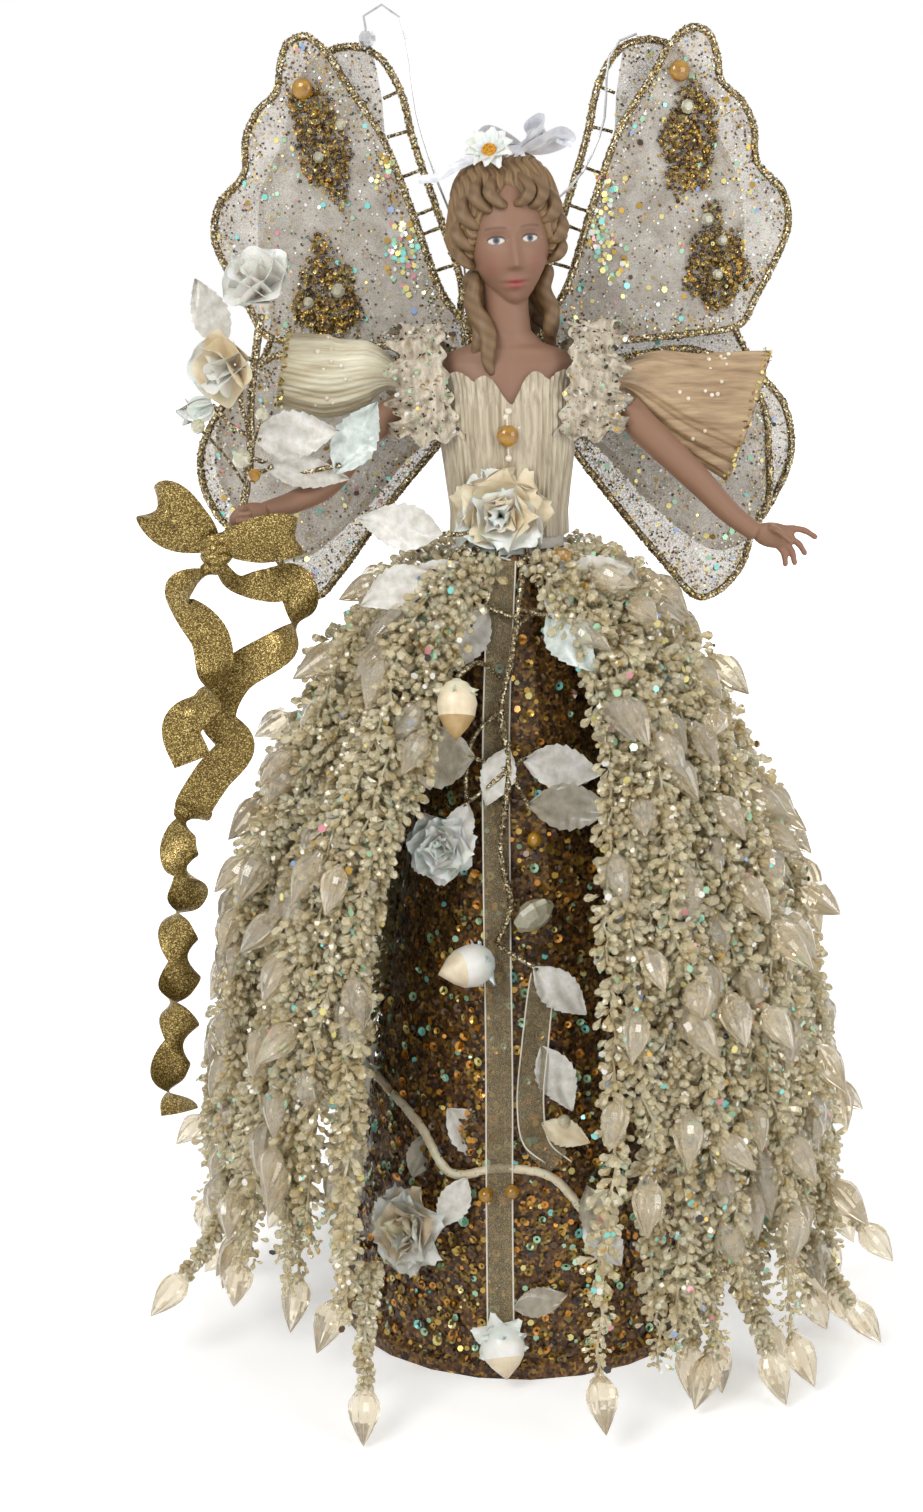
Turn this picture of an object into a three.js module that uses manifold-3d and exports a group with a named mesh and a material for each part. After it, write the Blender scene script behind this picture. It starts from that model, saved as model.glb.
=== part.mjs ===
// Angel tree topper: a porcelain half doll on a glittered cone, with lace wings, a skirt of
// beaded sprays, a bouquet, a garland and ribbons. Millimetres, +Z up, the front towards -Y.
// The origin is on the cone's axis, on the plane of its rim. Right and left are the doll's own.
import * as THREE from 'three';
import { mergeVertices } from 'three/addons/utils/BufferGeometryUtils.js';
import Module from 'manifold-3d';

const wasm = await Module();
wasm.setup();

// Clearances
const seat = 0.3;

// Cone that the tree's top shoot goes into
const cone = {
  rimRadius: 78, baseRadius: 76, topRadius: 24, height: 316, wall: 2.8, lipHeight: 5, sides: 24,
};
const post = { radius: 4, below: 11 };

// The doll's body above the cone, and the heights over the cone's top that pieces start or end at,
// as shares of the body's height
const body = { height: 100, halfWidth: 28 };
const headHeight = 46;
const riseShares = {
  bustBase: 0.553, bodiceBase: 0.05, neckline: 0.65, gem: 0.448, shoulder: 0.676, ringletFoot: 0.689,
  laceCapTop: 0.85, laceCapHem: 0.42, wingRoot: 0.69, wingPadTop: 0.77, wingPadBase: 0.4,
};
const waistDrop = 4;

function risen(name) {
  return cone.height + riseShares[name] * body.height;
}

// The figure as shares of the body: height, half width, half depth and how far forward
const figureShares = [
  [0.003, 0.75, 0.5, 0],
  [0.14, 0.736, 0.471, 0],
  [0.46, 0.879, 0.586, 0.071],
  [0.55, 0.9, 0.571, 0.071],
  [0.604, 0.914, 0.536, 0.05],
  [0.674, 0.936, 0.471, 0.014],
  [0.714, 0.993, 0.429, 0],
  [0.75, 0.839, 0.386, -0.014],
  [0.784, 0.479, 0.336, -0.021],
  [0.83, 0.293, 0.293, -0.014],
  [0.91, 0.257, 0.271, 0.007],
  [1.04, 0.286, 0.3, 0.036],
];
const figure = figureShares.map(([up, wide, deep, forward]) => ({
  height: cone.height + up * body.height,
  halfWidth: wide * body.halfWidth,
  halfDepth: deep * body.halfWidth,
  forward: forward * body.halfWidth,
}));
const bustBase = risen('bustBase');
const bodice = {
  base: risen('bodiceBase'), neckline: risen('neckline'),
  cloth: 1.2, pleat: 0.9, pleats: 12, scallop: 4.4,
};
const gem = { radius: 4.2, rise: 2.4, height: risen('gem'), sideways: -0.7 };

// Masses of the head as shares of its height: middles across, back and up from its own middle,
// with half sizes in the same order, and how far that middle is above the neck's top
const headSeatShare = 0.4913;
const headShares = {
  face: { centre: [0.026, -0.096, -0.178], half: [0.317, 0.352, 0.509] },
  nose: { centre: [0.026, -0.439, -0.217], half: [0.041, 0.057, 0.1] },
  hair: { centre: [0.026, 0.065, 0], half: [0.465, 0.426, 0.491] },
  bun: { centre: [0.013, 0.283, 0.226], half: [0.283, 0.228, 0.248] },
  nape: { centre: [0.017, 0.217, -0.404], half: [0.315, 0.217, 0.37] },
};
const head = {};
for (const [name, { centre: [across, back, up], half }] of Object.entries(headShares)) {
  head[name] = {
    centre: [
      across * headHeight, back * headHeight, figure.at(-1).height + (headSeatShare + up) * headHeight,
    ],
    half: half.map((share) => share * headHeight),
  };
}
const ringlet = { radius: 4.6, turnDepthShare: 0.24, turns: 4 };
const daisy = { radius: 8.4, thickness: 2.2, petals: 9, eyeRadius: 3, eyeRise: 1.4 };
const bow = { span: 36, drop: 12, loopWidth: 9, thickness: 1.2, knotRadius: 3.4, tailLength: 24 };

// Arms hang from soft wire that bends at the shoulder
const shoulder = { height: risen('shoulder'), forward: 2, ballRadius: 2.6, wireRadius: 1.5 };
const arm = { reach: 74, upperRadius: 6.6, elbowRadius: 5.8, wristRadius: 3.7, socketDepth: 7 };
const palm = { halfLength: 8.4, halfWidth: 5.2, halfThickness: 3.2, fingerRadius: 1.7, tipRadius: 1.15 };
const sleeve = {
  length: 56, neckRadius: 5.6, deepening: 4, folds: 7, foldShare: 0.1, hollow: 9,
  halfHeight: { right: 15.4, left: 25 },
};
const laceCap = {
  outside: 44, inside: 17.5, thickness: 1.1, frontReach: 14.8, backReach: 16.2, topInset: 7,
  top: risen('laceCapTop'), hem: risen('laceCapHem'), ruffle: 1.4, ruffles: 4, steps: 13,
};

// Wings: two wires of lace a side in front, and one bare ladder of wire with lace behind
const wing = {
  rootOffset: 14, rootBack: 24, rootHeight: risen('wingRoot'), yawDeg: 14,
  span: 105, rise: 127, lowerSpan: { right: 116, left: 99 }, drop: 98,
  wireRadius: 1.7, laceThickness: 0.9, lowerLayer: 4.4, rearLayer: 10,
  stemRadius: 3, stemAbove: 19, stemBelow: 30,
  bound: { upper: { from: 14, to: 5 }, lower: { from: -1, to: -21 }, rear: { from: 17.5, to: -27 } },
  ladderWidth: 11, rungRadius: 0.7, rungs: 6,
};
const wingPad = {
  halfWidth: 18, frontDepth: 8, base: risen('wingPadBase'), top: risen('wingPadTop'),
};
const tie = { radius: 0.5, beadRadius: 3.4 };

// Bouquet in the right hand, and the ribbon tied on its stem
const bouquet = { height: 112, stemRadius: 1.5, twigRadius: 0.9, leafThickness: 0.9 };
const bouquetLeaf = { length: 34, width: 21 };
const flower = { large: 15, middle: 14.5, bud: 9 };
const ribbon = { width: 15, gatherShare: 0.25, thickness: 0.9, drop: 245, curlRadius: 5.5, curls: 4 };
// The knot, from the right hand's wrist out, forward and down
const knot = { out: 18.34, forward: 9.32, below: 12.13, radius: 6 };

// Skirt of sprays wired on round the waist
const skirt = {
  sprays: 12, hemRadius: 134, rise: cone.height - waistDrop,
  rootRadius: 1.5, neckRadius: 1.6, strandRadius: 7.6,
  backShare: 0.9, gapDeg: 50, waistGapDeg: 22, lobeShare: 0.24,
};
const bulb = { length: 20, radius: 5.2, widestShare: 0.42 };

// Garland down the front
const garland = { stemRadius: 1.3, twigRadius: 0.9, standoff: 9, leafLength: 33, leafWidth: 19 };
const sprigStandoff = 2.6;
const rose = { waist: 18.5, low: 16, blossom: 11, bud: 7.4 };
const sheerRibbon = { width: 9.6, thickness: 0.8, standoff: 5.4 };

// Colours, roughness and metalness of each finish
const finish = {
  glitter: new THREE.MeshStandardMaterial({ color: 0x8a6a2c, roughness: 0.55, metalness: 0.6 }),
  porcelain: new THREE.MeshStandardMaterial({ color: 0xb98f7c, roughness: 0.6, metalness: 0 }),
  pearlCloth: new THREE.MeshStandardMaterial({ color: 0xe6d9bd, roughness: 0.5, metalness: 0.05 }),
  satin: new THREE.MeshStandardMaterial({ color: 0xecd9b4, roughness: 0.45, metalness: 0 }),
  lace: new THREE.MeshStandardMaterial({ color: 0xf1ebe0, roughness: 0.8, metalness: 0 }),
  goldWire: new THREE.MeshStandardMaterial({ color: 0x8d7440, roughness: 0.5, metalness: 0.7 }),
  silverWire: new THREE.MeshStandardMaterial({ color: 0xc9c9c6, roughness: 0.3, metalness: 0.9 }),
  goldRibbon: new THREE.MeshStandardMaterial({ color: 0xa5833a, roughness: 0.4, metalness: 0.7 }),
  bead: new THREE.MeshStandardMaterial({ color: 0xe9e0c4, roughness: 0.15, metalness: 0 }),
  petal: new THREE.MeshStandardMaterial({ color: 0xf6f1e4, roughness: 0.5, metalness: 0 }),
  amber: new THREE.MeshStandardMaterial({ color: 0xd08a1e, roughness: 0.1, metalness: 0 }),
  foam: new THREE.MeshStandardMaterial({ color: 0xe8e4da, roughness: 0.9, metalness: 0 }),
  wood: new THREE.MeshStandardMaterial({ color: 0xb08d5e, roughness: 0.8, metalness: 0 }),
};

const topper = new THREE.Group();
const vector = (x, y, z) => new THREE.Vector3(x, y, z);
const degrees = (angle) => THREE.MathUtils.degToRad(angle);
const sideSign = { right: -1, left: 1 };

// Closed bodies: shared vertices, no empty triangles, faces outward
function tidy(geometry) {
  const bare = geometry.index ? geometry.toNonIndexed() : geometry.clone();
  for (const name of Object.keys(bare.attributes)) {
    if (name !== 'position') bare.deleteAttribute(name);
  }
  const merged = mergeVertices(bare, 1e-4);
  const place = merged.attributes.position;
  const kept = [];
  let volume = 0;
  const a = new THREE.Vector3();
  const b = new THREE.Vector3();
  const c = new THREE.Vector3();
  for (let i = 0; i < merged.index.count; i += 3) {
    const [p, q, r] = [0, 1, 2].map((k) => merged.index.getX(i + k));
    if (p === q || q === r || r === p) continue;
    kept.push(p, q, r);
    a.fromBufferAttribute(place, p);
    b.fromBufferAttribute(place, q);
    c.fromBufferAttribute(place, r);
    volume += a.dot(b.cross(c));
  }
  if (volume < 0) kept.reverse();
  merged.setIndex(kept);
  return merged;
}

function toSolid(geometry) {
  const clean = tidy(geometry);
  const mesh = new wasm.Mesh({
    numProp: 3,
    vertProperties: new Float32Array(clean.attributes.position.array),
    triVerts: new Uint32Array(clean.index.array),
  });
  return new wasm.Manifold(mesh);
}

function fromSolid(solid) {
  const mesh = solid.getMesh();
  const geometry = new THREE.BufferGeometry();
  geometry.setAttribute('position', new THREE.BufferAttribute(mesh.vertProperties, 3));
  geometry.setIndex(new THREE.BufferAttribute(mesh.triVerts, 1));
  return geometry;
}

// Strands that meet can enclose a void: its faces point inward, and they are left out
function withoutVoids(geometry) {
  const clean = tidy(geometry);
  const place = clean.attributes.position;
  const owner = Array.from({ length: place.count }, (_, i) => i);
  const find = (i) => {
    let top = i;
    while (owner[top] !== top) top = owner[top];
    owner[i] = top;
    return top;
  };
  const faces = [];
  for (let i = 0; i < clean.index.count; i += 3) {
    const corners = [0, 1, 2].map((k) => clean.index.getX(i + k));
    faces.push(corners);
    owner[find(corners[1])] = find(corners[0]);
    owner[find(corners[2])] = find(corners[0]);
  }
  const volumes = new Map();
  for (const corners of faces) {
    const [a, b, c] = corners.map((k) => new THREE.Vector3().fromBufferAttribute(place, k));
    const shell = find(corners[0]);
    volumes.set(shell, (volumes.get(shell) ?? 0) + a.dot(b.cross(c)));
  }
  clean.setIndex(faces.filter((corners) => volumes.get(find(corners[0])) > 0).flat());
  return clean;
}

function join(...pieces) {
  return withoutVoids(fromSolid(pieces.map(toSolid).reduce((whole, piece) => whole.add(piece))));
}

function cut(piece, ...cutters) {
  return fromSolid(cutters.map(toSolid).reduce((rest, cutter) => rest.subtract(cutter), toSolid(piece)));
}

function addPiece(name, geometry, material) {
  const clean = tidy(geometry);
  clean.computeVertexNormals();
  const mesh = new THREE.Mesh(clean, material);
  mesh.name = name;
  topper.add(mesh);
}

// A closed body through rings that all have the same count of points
function loft(rings) {
  const sides = rings[0].length;
  const positions = [];
  const index = [];
  for (const ring of rings) {
    for (const point of ring) positions.push(point.x, point.y, point.z);
  }
  const last = rings.length - 1;
  for (let row = 0; row < last; row += 1) {
    for (let i = 0; i < sides; i += 1) {
      const j = (i + 1) % sides;
      const [p, q] = [row * sides + i, row * sides + j];
      index.push(p, q, q + sides, p, q + sides, p + sides);
    }
  }
  for (const row of [0, last]) {
    const middle = rings[row].reduce((sum, point) => sum.add(point), vector(0, 0, 0)).divideScalar(sides);
    const hub = positions.length / 3;
    positions.push(middle.x, middle.y, middle.z);
    for (let i = 0; i < sides; i += 1) {
      const [p, q] = [row * sides + i, row * sides + ((i + 1) % sides)];
      if (row === 0) index.push(q, p, hub);
      else index.push(p, q, hub);
    }
  }
  const geometry = new THREE.BufferGeometry();
  geometry.setAttribute('position', new THREE.Float32BufferAttribute(positions, 3));
  geometry.setIndex(index);
  return geometry;
}

// A round body along a path, whose radius follows its share of the way
function strandAlong(path, ways, sides, radiusAt) {
  const fine = 200;
  const frames = path.computeFrenetFrames(fine, false);
  return loft(ways.map((way) => {
    const centre = path.getPointAt(way);
    const step = Math.round(way * fine);
    const ring = [];
    for (let i = 0; i < sides; i += 1) {
      const turn = (i / sides) * Math.PI * 2;
      const radius = radiusAt(way);
      ring.push(centre.clone()
        .addScaledVector(frames.normals[step], radius * Math.cos(turn))
        .addScaledVector(frames.binormals[step], radius * Math.sin(turn)));
    }
    return ring;
  }));
}

function strand(path, steps, sides, radiusAt) {
  return strandAlong(path, Array.from({ length: steps + 1 }, (_, i) => i / steps), sides, radiusAt);
}

// A wire of one radius along a path
function wire(path, radius, steps, sides) {
  const round = new THREE.Shape();
  for (let i = 0; i < sides; i += 1) {
    const turn = (i / sides) * Math.PI * 2;
    const [x, y] = [radius * Math.cos(turn), radius * Math.sin(turn)];
    if (i === 0) round.moveTo(x, y);
    else round.lineTo(x, y);
  }
  round.closePath();
  return new THREE.ExtrudeGeometry(round, {
    steps, curveSegments: 1, bevelEnabled: false, extrudePath: path,
  });
}

function curve(points) {
  return new THREE.CatmullRomCurve3(points, false, 'centripetal');
}

function segment(from, to) {
  return new THREE.LineCurve3(from, to);
}

// A flat band along a path: across(way) is the direction of its width, drawn in at a gathered start
function band(path, steps, width, thickness, across, gatherShare = 1) {
  const rings = [];
  for (let step = 0; step <= steps; step += 1) {
    const way = step / steps;
    const centre = path.getPointAt(way);
    const along = path.getTangentAt(way);
    const side = across(way).clone();
    side.addScaledVector(along, -side.dot(along)).normalize();
    const face = along.clone().cross(side);
    const halfWidth = width / 2 * Math.min(gatherShare + way * steps / 4, 1);
    const halfThickness = thickness / 2;
    rings.push([[1, 1], [-1, 1], [-1, -1], [1, -1]].map(([a, b]) => centre.clone()
      .addScaledVector(side, a * halfWidth)
      .addScaledVector(face, b * halfThickness)));
  }
  return loft(rings);
}

function ellipsoid(centre, half, around = 10, up = 8) {
  const geometry = new THREE.SphereGeometry(1, around, up);
  geometry.rotateX(Math.PI / 2);
  geometry.scale(...half);
  geometry.translate(...centre);
  return geometry;
}

function revolved(profile, sides) {
  const points = profile.map(([radius, height]) => new THREE.Vector2(radius, height));
  const geometry = new THREE.LatheGeometry(points, sides);
  geometry.rotateX(Math.PI / 2);
  return geometry;
}

// Turns a body made on +Z so that its axis lies along a direction, and moves it to a place
function aim(geometry, direction, place) {
  const turn = new THREE.Quaternion().setFromUnitVectors(vector(0, 0, 1), direction.clone().normalize());
  geometry.applyQuaternion(turn);
  geometry.translate(place.x, place.y, place.z);
  return geometry;
}

// Slope of the cone's side from the vertical
function coneSlope() {
  return Math.atan2(cone.baseRadius - cone.topRadius, cone.height);
}

// Radius of the cone's outer face at a height
function coneRadius(height) {
  return THREE.MathUtils.mapLinear(height, 0, cone.height, cone.baseRadius, cone.topRadius);
}

// A place in front of the cone, so far proud of its face
function before(across, height, standoff) {
  const reach = coneRadius(height) + standoff;
  return vector(across, -Math.sqrt(reach * reach - across * across), height);
}

function coneShell() {
  const slope = cone.wall * Math.hypot(1, (cone.baseRadius - cone.topRadius) / cone.height);
  const bore = post.radius + seat;
  return revolved([
    [bore, cone.height - cone.wall],
    [cone.topRadius - slope, cone.height - cone.wall],
    [coneRadius(cone.lipHeight) - slope, cone.lipHeight],
    [cone.baseRadius - slope, 0],
    [cone.rimRadius, 0],
    [cone.rimRadius, cone.lipHeight],
    [coneRadius(cone.lipHeight + cone.wall), cone.lipHeight + cone.wall],
    [cone.topRadius, cone.height],
    [bore, cone.height],
    [bore, cone.height - cone.wall],
  ], cone.sides);
}

function centreDowel() {
  const foot = cone.height - cone.wall - post.below;
  const top = bustBase - seat;
  return revolved([[0, foot], [post.radius, foot], [post.radius, top], [0, top]], 12);
}

// The figure's section at a height, grown by a margin all round
function figureAt(height) {
  const above = figure.findIndex((row) => row.height >= height);
  const [low, high] = [figure[Math.max(above - 1, 0)], figure[Math.max(above, 1)]];
  const share = (height - low.height) / (high.height - low.height);
  const mix = (key) => THREE.MathUtils.lerp(low[key], high[key], share);
  return { halfWidth: mix('halfWidth'), halfDepth: mix('halfDepth'), forward: mix('forward') };
}

function figureRing(height, margin, sides, marginAt = () => 0) {
  const row = figureAt(height);
  const ring = [];
  for (let i = 0; i < sides; i += 1) {
    const turn = (i / sides) * Math.PI * 2;
    const grown = margin + marginAt(turn);
    ring.push(vector(
      (row.halfWidth + grown) * Math.cos(turn),
      (row.halfDepth + grown) * Math.sin(turn) - row.forward,
      height,
    ));
  }
  return ring;
}

function figureBody(base, top, margin, sides) {
  const heights = [base, ...figure.map((row) => row.height).filter((z) => z > base && z < top), top];
  return loft(heights.map((height) => figureRing(height, margin, sides)));
}

function torsoForm() {
  const core = figureBody(figure[0].height, bustBase - seat, 0, 24);
  const foot = figure[0].height - cone.wall;
  const bore = post.radius + seat;
  const top = bustBase + seat;
  return cut(core, revolved([[0, foot], [bore, foot], [bore, top], [0, top]], 12));
}

function ringletPath(points) {
  return curve(points.map((point) => vector(...point)));
}

// Place on the front of the figure at a height, a little proud of it
function plateFront(across, height, proud) {
  const row = figureAt(height);
  const depth = row.halfDepth * Math.sqrt(1 - (across / row.halfWidth) ** 2);
  return [across, -depth - row.forward - proud, height];
}

// The long ringlet rests on the front of the shoulder, and the short one hangs free
function bust() {
  const plate = figureBody(bustBase, figure.at(-1).height, 0, 14);
  const curlAt = (way) => ringlet.radius * (0.55 + 0.45 * Math.sin(Math.PI * Math.min(way * 1.5 + 0.2, 1)))
    * (1 + ringlet.turnDepthShare * Math.cos(way * ringlet.turns * Math.PI * 2));
  const lobes = [head.face, head.nose, head.hair, head.bun, head.nape];
  const masses = lobes.map((lobe) => (
    ellipsoid(lobe.centre, lobe.half, ...(lobe === head.nose ? [6, 4] : []))));
  const { centre, half } = head.nape;
  const [across, back, up] = centre;
  const [wide, deep, tall] = half;
  const rests = plateFront(across - wide * 0.62, risen('ringletFoot'), ringlet.radius * 0.4);
  const hung = (share) => THREE.MathUtils.lerp(up, rests[2], share);
  const routes = [
    [[across - wide * 0.8, back - deep, up], [across - wide, back - deep * 2, hung(0.435)],
      [across - wide * 0.8, back - deep * 2.35, hung(0.74)], rests],
    [[across + wide * 0.8, back - deep, up], [across + wide * 1.1, back - deep * 1.6, up - tall * 0.8],
      [across + wide * 1.06, back - deep * 1.8, up - tall * 1.5]],
  ];
  const curls = routes.map((route) => strand(ringletPath(route), 8, 5, curlAt));
  return join(plate, ...masses, ...curls);
}

function bodiceTube() {
  const sides = bodice.pleats * 2;
  const lowest = bodice.neckline - bodice.scallop;
  const between = figure.map((row) => row.height).filter((z) => z > bodice.base && z < lowest);
  const heights = [bodice.base, ...between, null];
  const skin = (margin, pleat) => heights.map((level) => {
    const ring = [];
    for (let i = 0; i < sides; i += 1) {
      const turn = (i / sides) * Math.PI * 2;
      const wave = Math.abs(Math.cos(turn * bodice.pleats * 0.25));
      const height = level ?? bodice.neckline + bodice.scallop * (wave - 0.5);
      const fold = i % 2 ? 0 : pleat;
      ring.push(figureRing(height, margin + fold, sides)[i]);
    }
    return ring;
  });
  return ringBody([...skin(seat + bodice.cloth, bodice.pleat), ...skin(seat, 0).reverse()]);
}

// A closed body through rings that come back to the first, as a sleeve's wall does
function ringBody(rings) {
  const sides = rings[0].length;
  const positions = [];
  const index = [];
  for (const ring of rings) {
    for (const point of ring) positions.push(point.x, point.y, point.z);
  }
  for (let row = 0; row < rings.length; row += 1) {
    const next = (row + 1) % rings.length;
    for (let i = 0; i < sides; i += 1) {
      const j = (i + 1) % sides;
      const [p, q, r, s] = [row * sides + i, row * sides + j, next * sides + j, next * sides + i];
      index.push(p, q, r, p, r, s);
    }
  }
  const geometry = new THREE.BufferGeometry();
  geometry.setAttribute('position', new THREE.Float32BufferAttribute(positions, 3));
  geometry.setIndex(index);
  return geometry;
}

function bodiceGem() {
  const row = figureAt(gem.height);
  const front = row.halfDepth + row.forward + seat + bodice.cloth + bodice.pleat + seat;
  const dome = revolved([
    [0, 0], [gem.radius, 0], [gem.radius * 0.92, gem.rise * 0.45],
    [gem.radius * 0.6, gem.rise * 0.88], [0, gem.rise],
  ], 14);
  return aim(dome, vector(0, -1, 0), vector(gem.sideways, -front, gem.height));
}

// A flower of overlapping petals round +Z, its back at zero: rows are shares of its radius
const roseShares = [
  { out: 0.16, up: 0, lobe: 0, turn: 0 },
  { out: 0.62, up: 0.1, lobe: 0.05, turn: 0 },
  { out: 1, up: 0.36, lobe: 0.14, turn: 0 },
  { out: 0.8, up: 0.44, lobe: 0.1, turn: 0 },
  { out: 0.62, up: 0.3, lobe: 0.05, turn: 0.5 },
  { out: 0.7, up: 0.62, lobe: 0.12, turn: 0.5 },
  { out: 0.46, up: 0.66, lobe: 0.08, turn: 0.5 },
  { out: 0.36, up: 0.5, lobe: 0, turn: 0 },
  { out: 0.3, up: 0.8, lobe: 0.1, turn: 0 },
  { out: 0.1, up: 0.74, lobe: 0, turn: 0 },
];
const budShares = [
  { out: 0.2, up: 0, lobe: 0, turn: 0 },
  { out: 0.62, up: 0.22, lobe: 0.12, turn: 0 },
  { out: 0.84, up: 0.8, lobe: 0.06, turn: 0.2 },
  { out: 0.66, up: 1.5, lobe: 0.08, turn: 0.4 },
  { out: 0.2, up: 2.05, lobe: 0, turn: 0.5 },
];
const starShares = [
  { out: 0.16, up: 0, lobe: 0, turn: 0 },
  { out: 0.5, up: 0.08, lobe: 0.3, turn: 0 },
  { out: 1, up: 0.3, lobe: 0.42, turn: 0 },
  { out: 0.5, up: 0.2, lobe: 0.3, turn: 0 },
  { out: 0.22, up: 0.34, lobe: 0, turn: 0 },
];

function bloom(radius, rows, petals = 5) {
  const sides = petals * 3;
  return loft(rows.map((row) => {
    const ring = [];
    for (let i = 0; i < sides; i += 1) {
      const turn = (i / sides) * Math.PI * 2;
      const wave = Math.cos(petals * turn + row.turn * Math.PI * 2);
      const reach = radius * row.out * (1 + row.lobe * wave);
      const up = radius * row.up * (1 + row.lobe * 0.5 * wave);
      ring.push(vector(reach * Math.cos(turn), reach * Math.sin(turn), up));
    }
    return ring;
  }));
}

// A leaf along +X in the plane of X and Y, its stalk end at the origin, its tip turned down
const leafShares = [[0, 0.1], [0.2, 0.38], [0.32, 0.3], [0.52, 0.5], [0.7, 0.26], [1, 0]];
function leaf(length, width, thickness) {
  const outline = new THREE.Shape();
  outline.moveTo(0, -leafShares[0][1] * width);
  for (const [along, out] of leafShares.slice(1)) outline.lineTo(along * length, -out * width);
  for (const [along, out] of leafShares.slice(0, -1).reverse()) outline.lineTo(along * length, out * width);
  const geometry = new THREE.ExtrudeGeometry(outline, { depth: thickness, steps: 1, bevelEnabled: false });
  const place = geometry.attributes.position;
  for (let i = 0; i < place.count; i += 1) {
    const along = place.getX(i) / length;
    place.setZ(i, place.getZ(i) - thickness / 2 - width * 0.24 * along * along);
  }
  return geometry;
}

// A leaf laid at a place in the front view: heading is its turn from +X up towards +Z
function frontLeaf(length, width, thickness, place, headingDeg, leanDeg = 0, slope = 0) {
  const geometry = leaf(length, width, thickness);
  geometry.rotateX(degrees(leanDeg) - Math.PI / 2);
  geometry.rotateY(-degrees(headingDeg));
  geometry.rotateX(-slope);
  geometry.translate(place.x, place.y, place.z);
  return geometry;
}

// Seat of a piece on the head: the hair's body grown by the seat gap
function grownHair() {
  return [head.hair, head.bun, head.face].map(({ centre, half }) => (
    ellipsoid(centre, half.map((extent) => extent + seat))));
}

function hairDaisy() {
  const [across, , up] = head.hair.centre;
  const [wide, deep, tall] = head.hair.half;
  const place = vector(across - wide * 0.32, head.hair.centre[1] - deep * 0.66, up + tall * 0.74);
  const sides = daisy.petals * 2;
  const rowShares = [[0.3, 0, 0], [0.6, 0, 0.2], [1, 0.16, 0.3], [0.62, 0.24, 0.2], [0.36, 0.24, 0]];
  const rows = rowShares.map(([out, rise, lobe]) => {
    const ring = [];
    for (let i = 0; i < sides; i += 1) {
      const turn = (i / sides) * Math.PI * 2;
      const reach = daisy.radius * out * (1 - lobe * 0.5 + lobe * 0.5 * Math.cos(daisy.petals * turn));
      const up = daisy.radius * rise + daisy.thickness * (rise ? 0.5 : -0.5);
      ring.push(vector(reach * Math.cos(turn), reach * Math.sin(turn), up));
    }
    return ring;
  });
  const eyeBase = daisy.radius * 0.24 + daisy.thickness * 0.5;
  const eye = ellipsoid([0, 0, eyeBase], [daisy.eyeRadius, daisy.eyeRadius, daisy.eyeRise], 6, 5);
  const facing = vector(-0.22, -0.8, 0.66);
  const whole = aim(join(loft(rows), eye), facing, place);
  return cut(whole, ...grownHair());
}

function hairBow() {
  const [across, forward, up] = head.hair.centre;
  const [, deep, tall] = head.hair.half;
  const crown = up + tall;
  const middle = vector(across - bow.knotRadius, forward - deep * 0.1, crown + bow.knotRadius * 0.4);
  const half = bow.span / 2;
  const loop = (sign) => {
    const path = curve([
      middle.clone(),
      middle.clone().add(vector(sign * half * 0.55, -bow.loopWidth * 0.2, bow.drop * 0.34)),
      middle.clone().add(vector(sign * half, 0, -bow.drop * 0.1)),
      middle.clone().add(vector(sign * half * 0.6, bow.loopWidth * 0.1, -bow.drop * 0.02)),
    ]);
    return band(path, 5, bow.loopWidth, bow.thickness, () => vector(0.1 * sign, 1, 0.35));
  };
  const tail = band(curve([
    middle.clone(),
    middle.clone().add(vector(-half, bow.loopWidth * 0.3, -bow.drop * 0.34)),
    middle.clone().add(vector(-half - bow.tailLength * 0.5, bow.loopWidth * 0.3, -bow.drop)),
    middle.clone().add(vector(-half - bow.tailLength * 0.62, bow.loopWidth * 0.3, -bow.drop * 1.2)),
  ]), 5, bow.loopWidth * 0.6, bow.thickness, () => vector(0, 1, 0.4));
  const centre = ellipsoid(middle.toArray(), [bow.knotRadius, bow.knotRadius, bow.knotRadius * 0.7], 6, 4);
  return cut(join(centre, loop(1), loop(-1), tail), ...grownHair());
}

// A ball on the wire's inner end is the point where the arm bends
function shoulderPoint(side) {
  const sign = sideSign[side];
  const reach = Math.max(...figure.map((row) => row.halfWidth));
  return vector(sign * (reach + seat * 2 + shoulder.ballRadius), -shoulder.forward, shoulder.height);
}

// Arm routes from the upper arm down: shares of the arm's reach outward, forward and up from the shoulder
const armShares = {
  right: [
    [0.13, -0.02, -0.17], [0.32, -0.08, -0.29], [0.53, -0.16, -0.54], [0.7, -0.25, -0.62],
    [0.84, -0.32, -0.655],
  ],
  left: [
    [0.19, -0.06, -0.2], [0.33, -0.09, -0.345], [0.56, -0.12, -0.57], [0.72, -0.14, -0.74],
    [0.86, -0.15, -0.85],
  ],
};

function armPlace(side, share) {
  const [out, forward, up] = share;
  return shoulderPoint(side).add(vector(sideSign[side] * out, forward, up).multiplyScalar(arm.reach));
}

function knotPlace() {
  return armPlace('right', armShares.right.at(-1)).add(vector(-knot.out, -knot.forward, -knot.below));
}

function armPath(side) {
  return curve(armShares[side].map((share) => armPlace(side, share)));
}

function wirePath(side) {
  const path = armPath(side);
  const top = path.getPointAt(0);
  const inside = top.clone().addScaledVector(path.getTangentAt(0), arm.socketDepth - seat * 2);
  const start = shoulderPoint(side);
  const bend = start.clone().lerp(top, 0.5).add(vector(0, 0, shoulder.ballRadius));
  return curve([start, bend, top, inside]);
}

function armWire(side) {
  const ball = ellipsoid(shoulderPoint(side).toArray(), [1, 1, 1].map(() => shoulder.ballRadius), 6, 5);
  return join(ball, wire(wirePath(side), shoulder.wireRadius, 5, 5));
}

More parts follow.
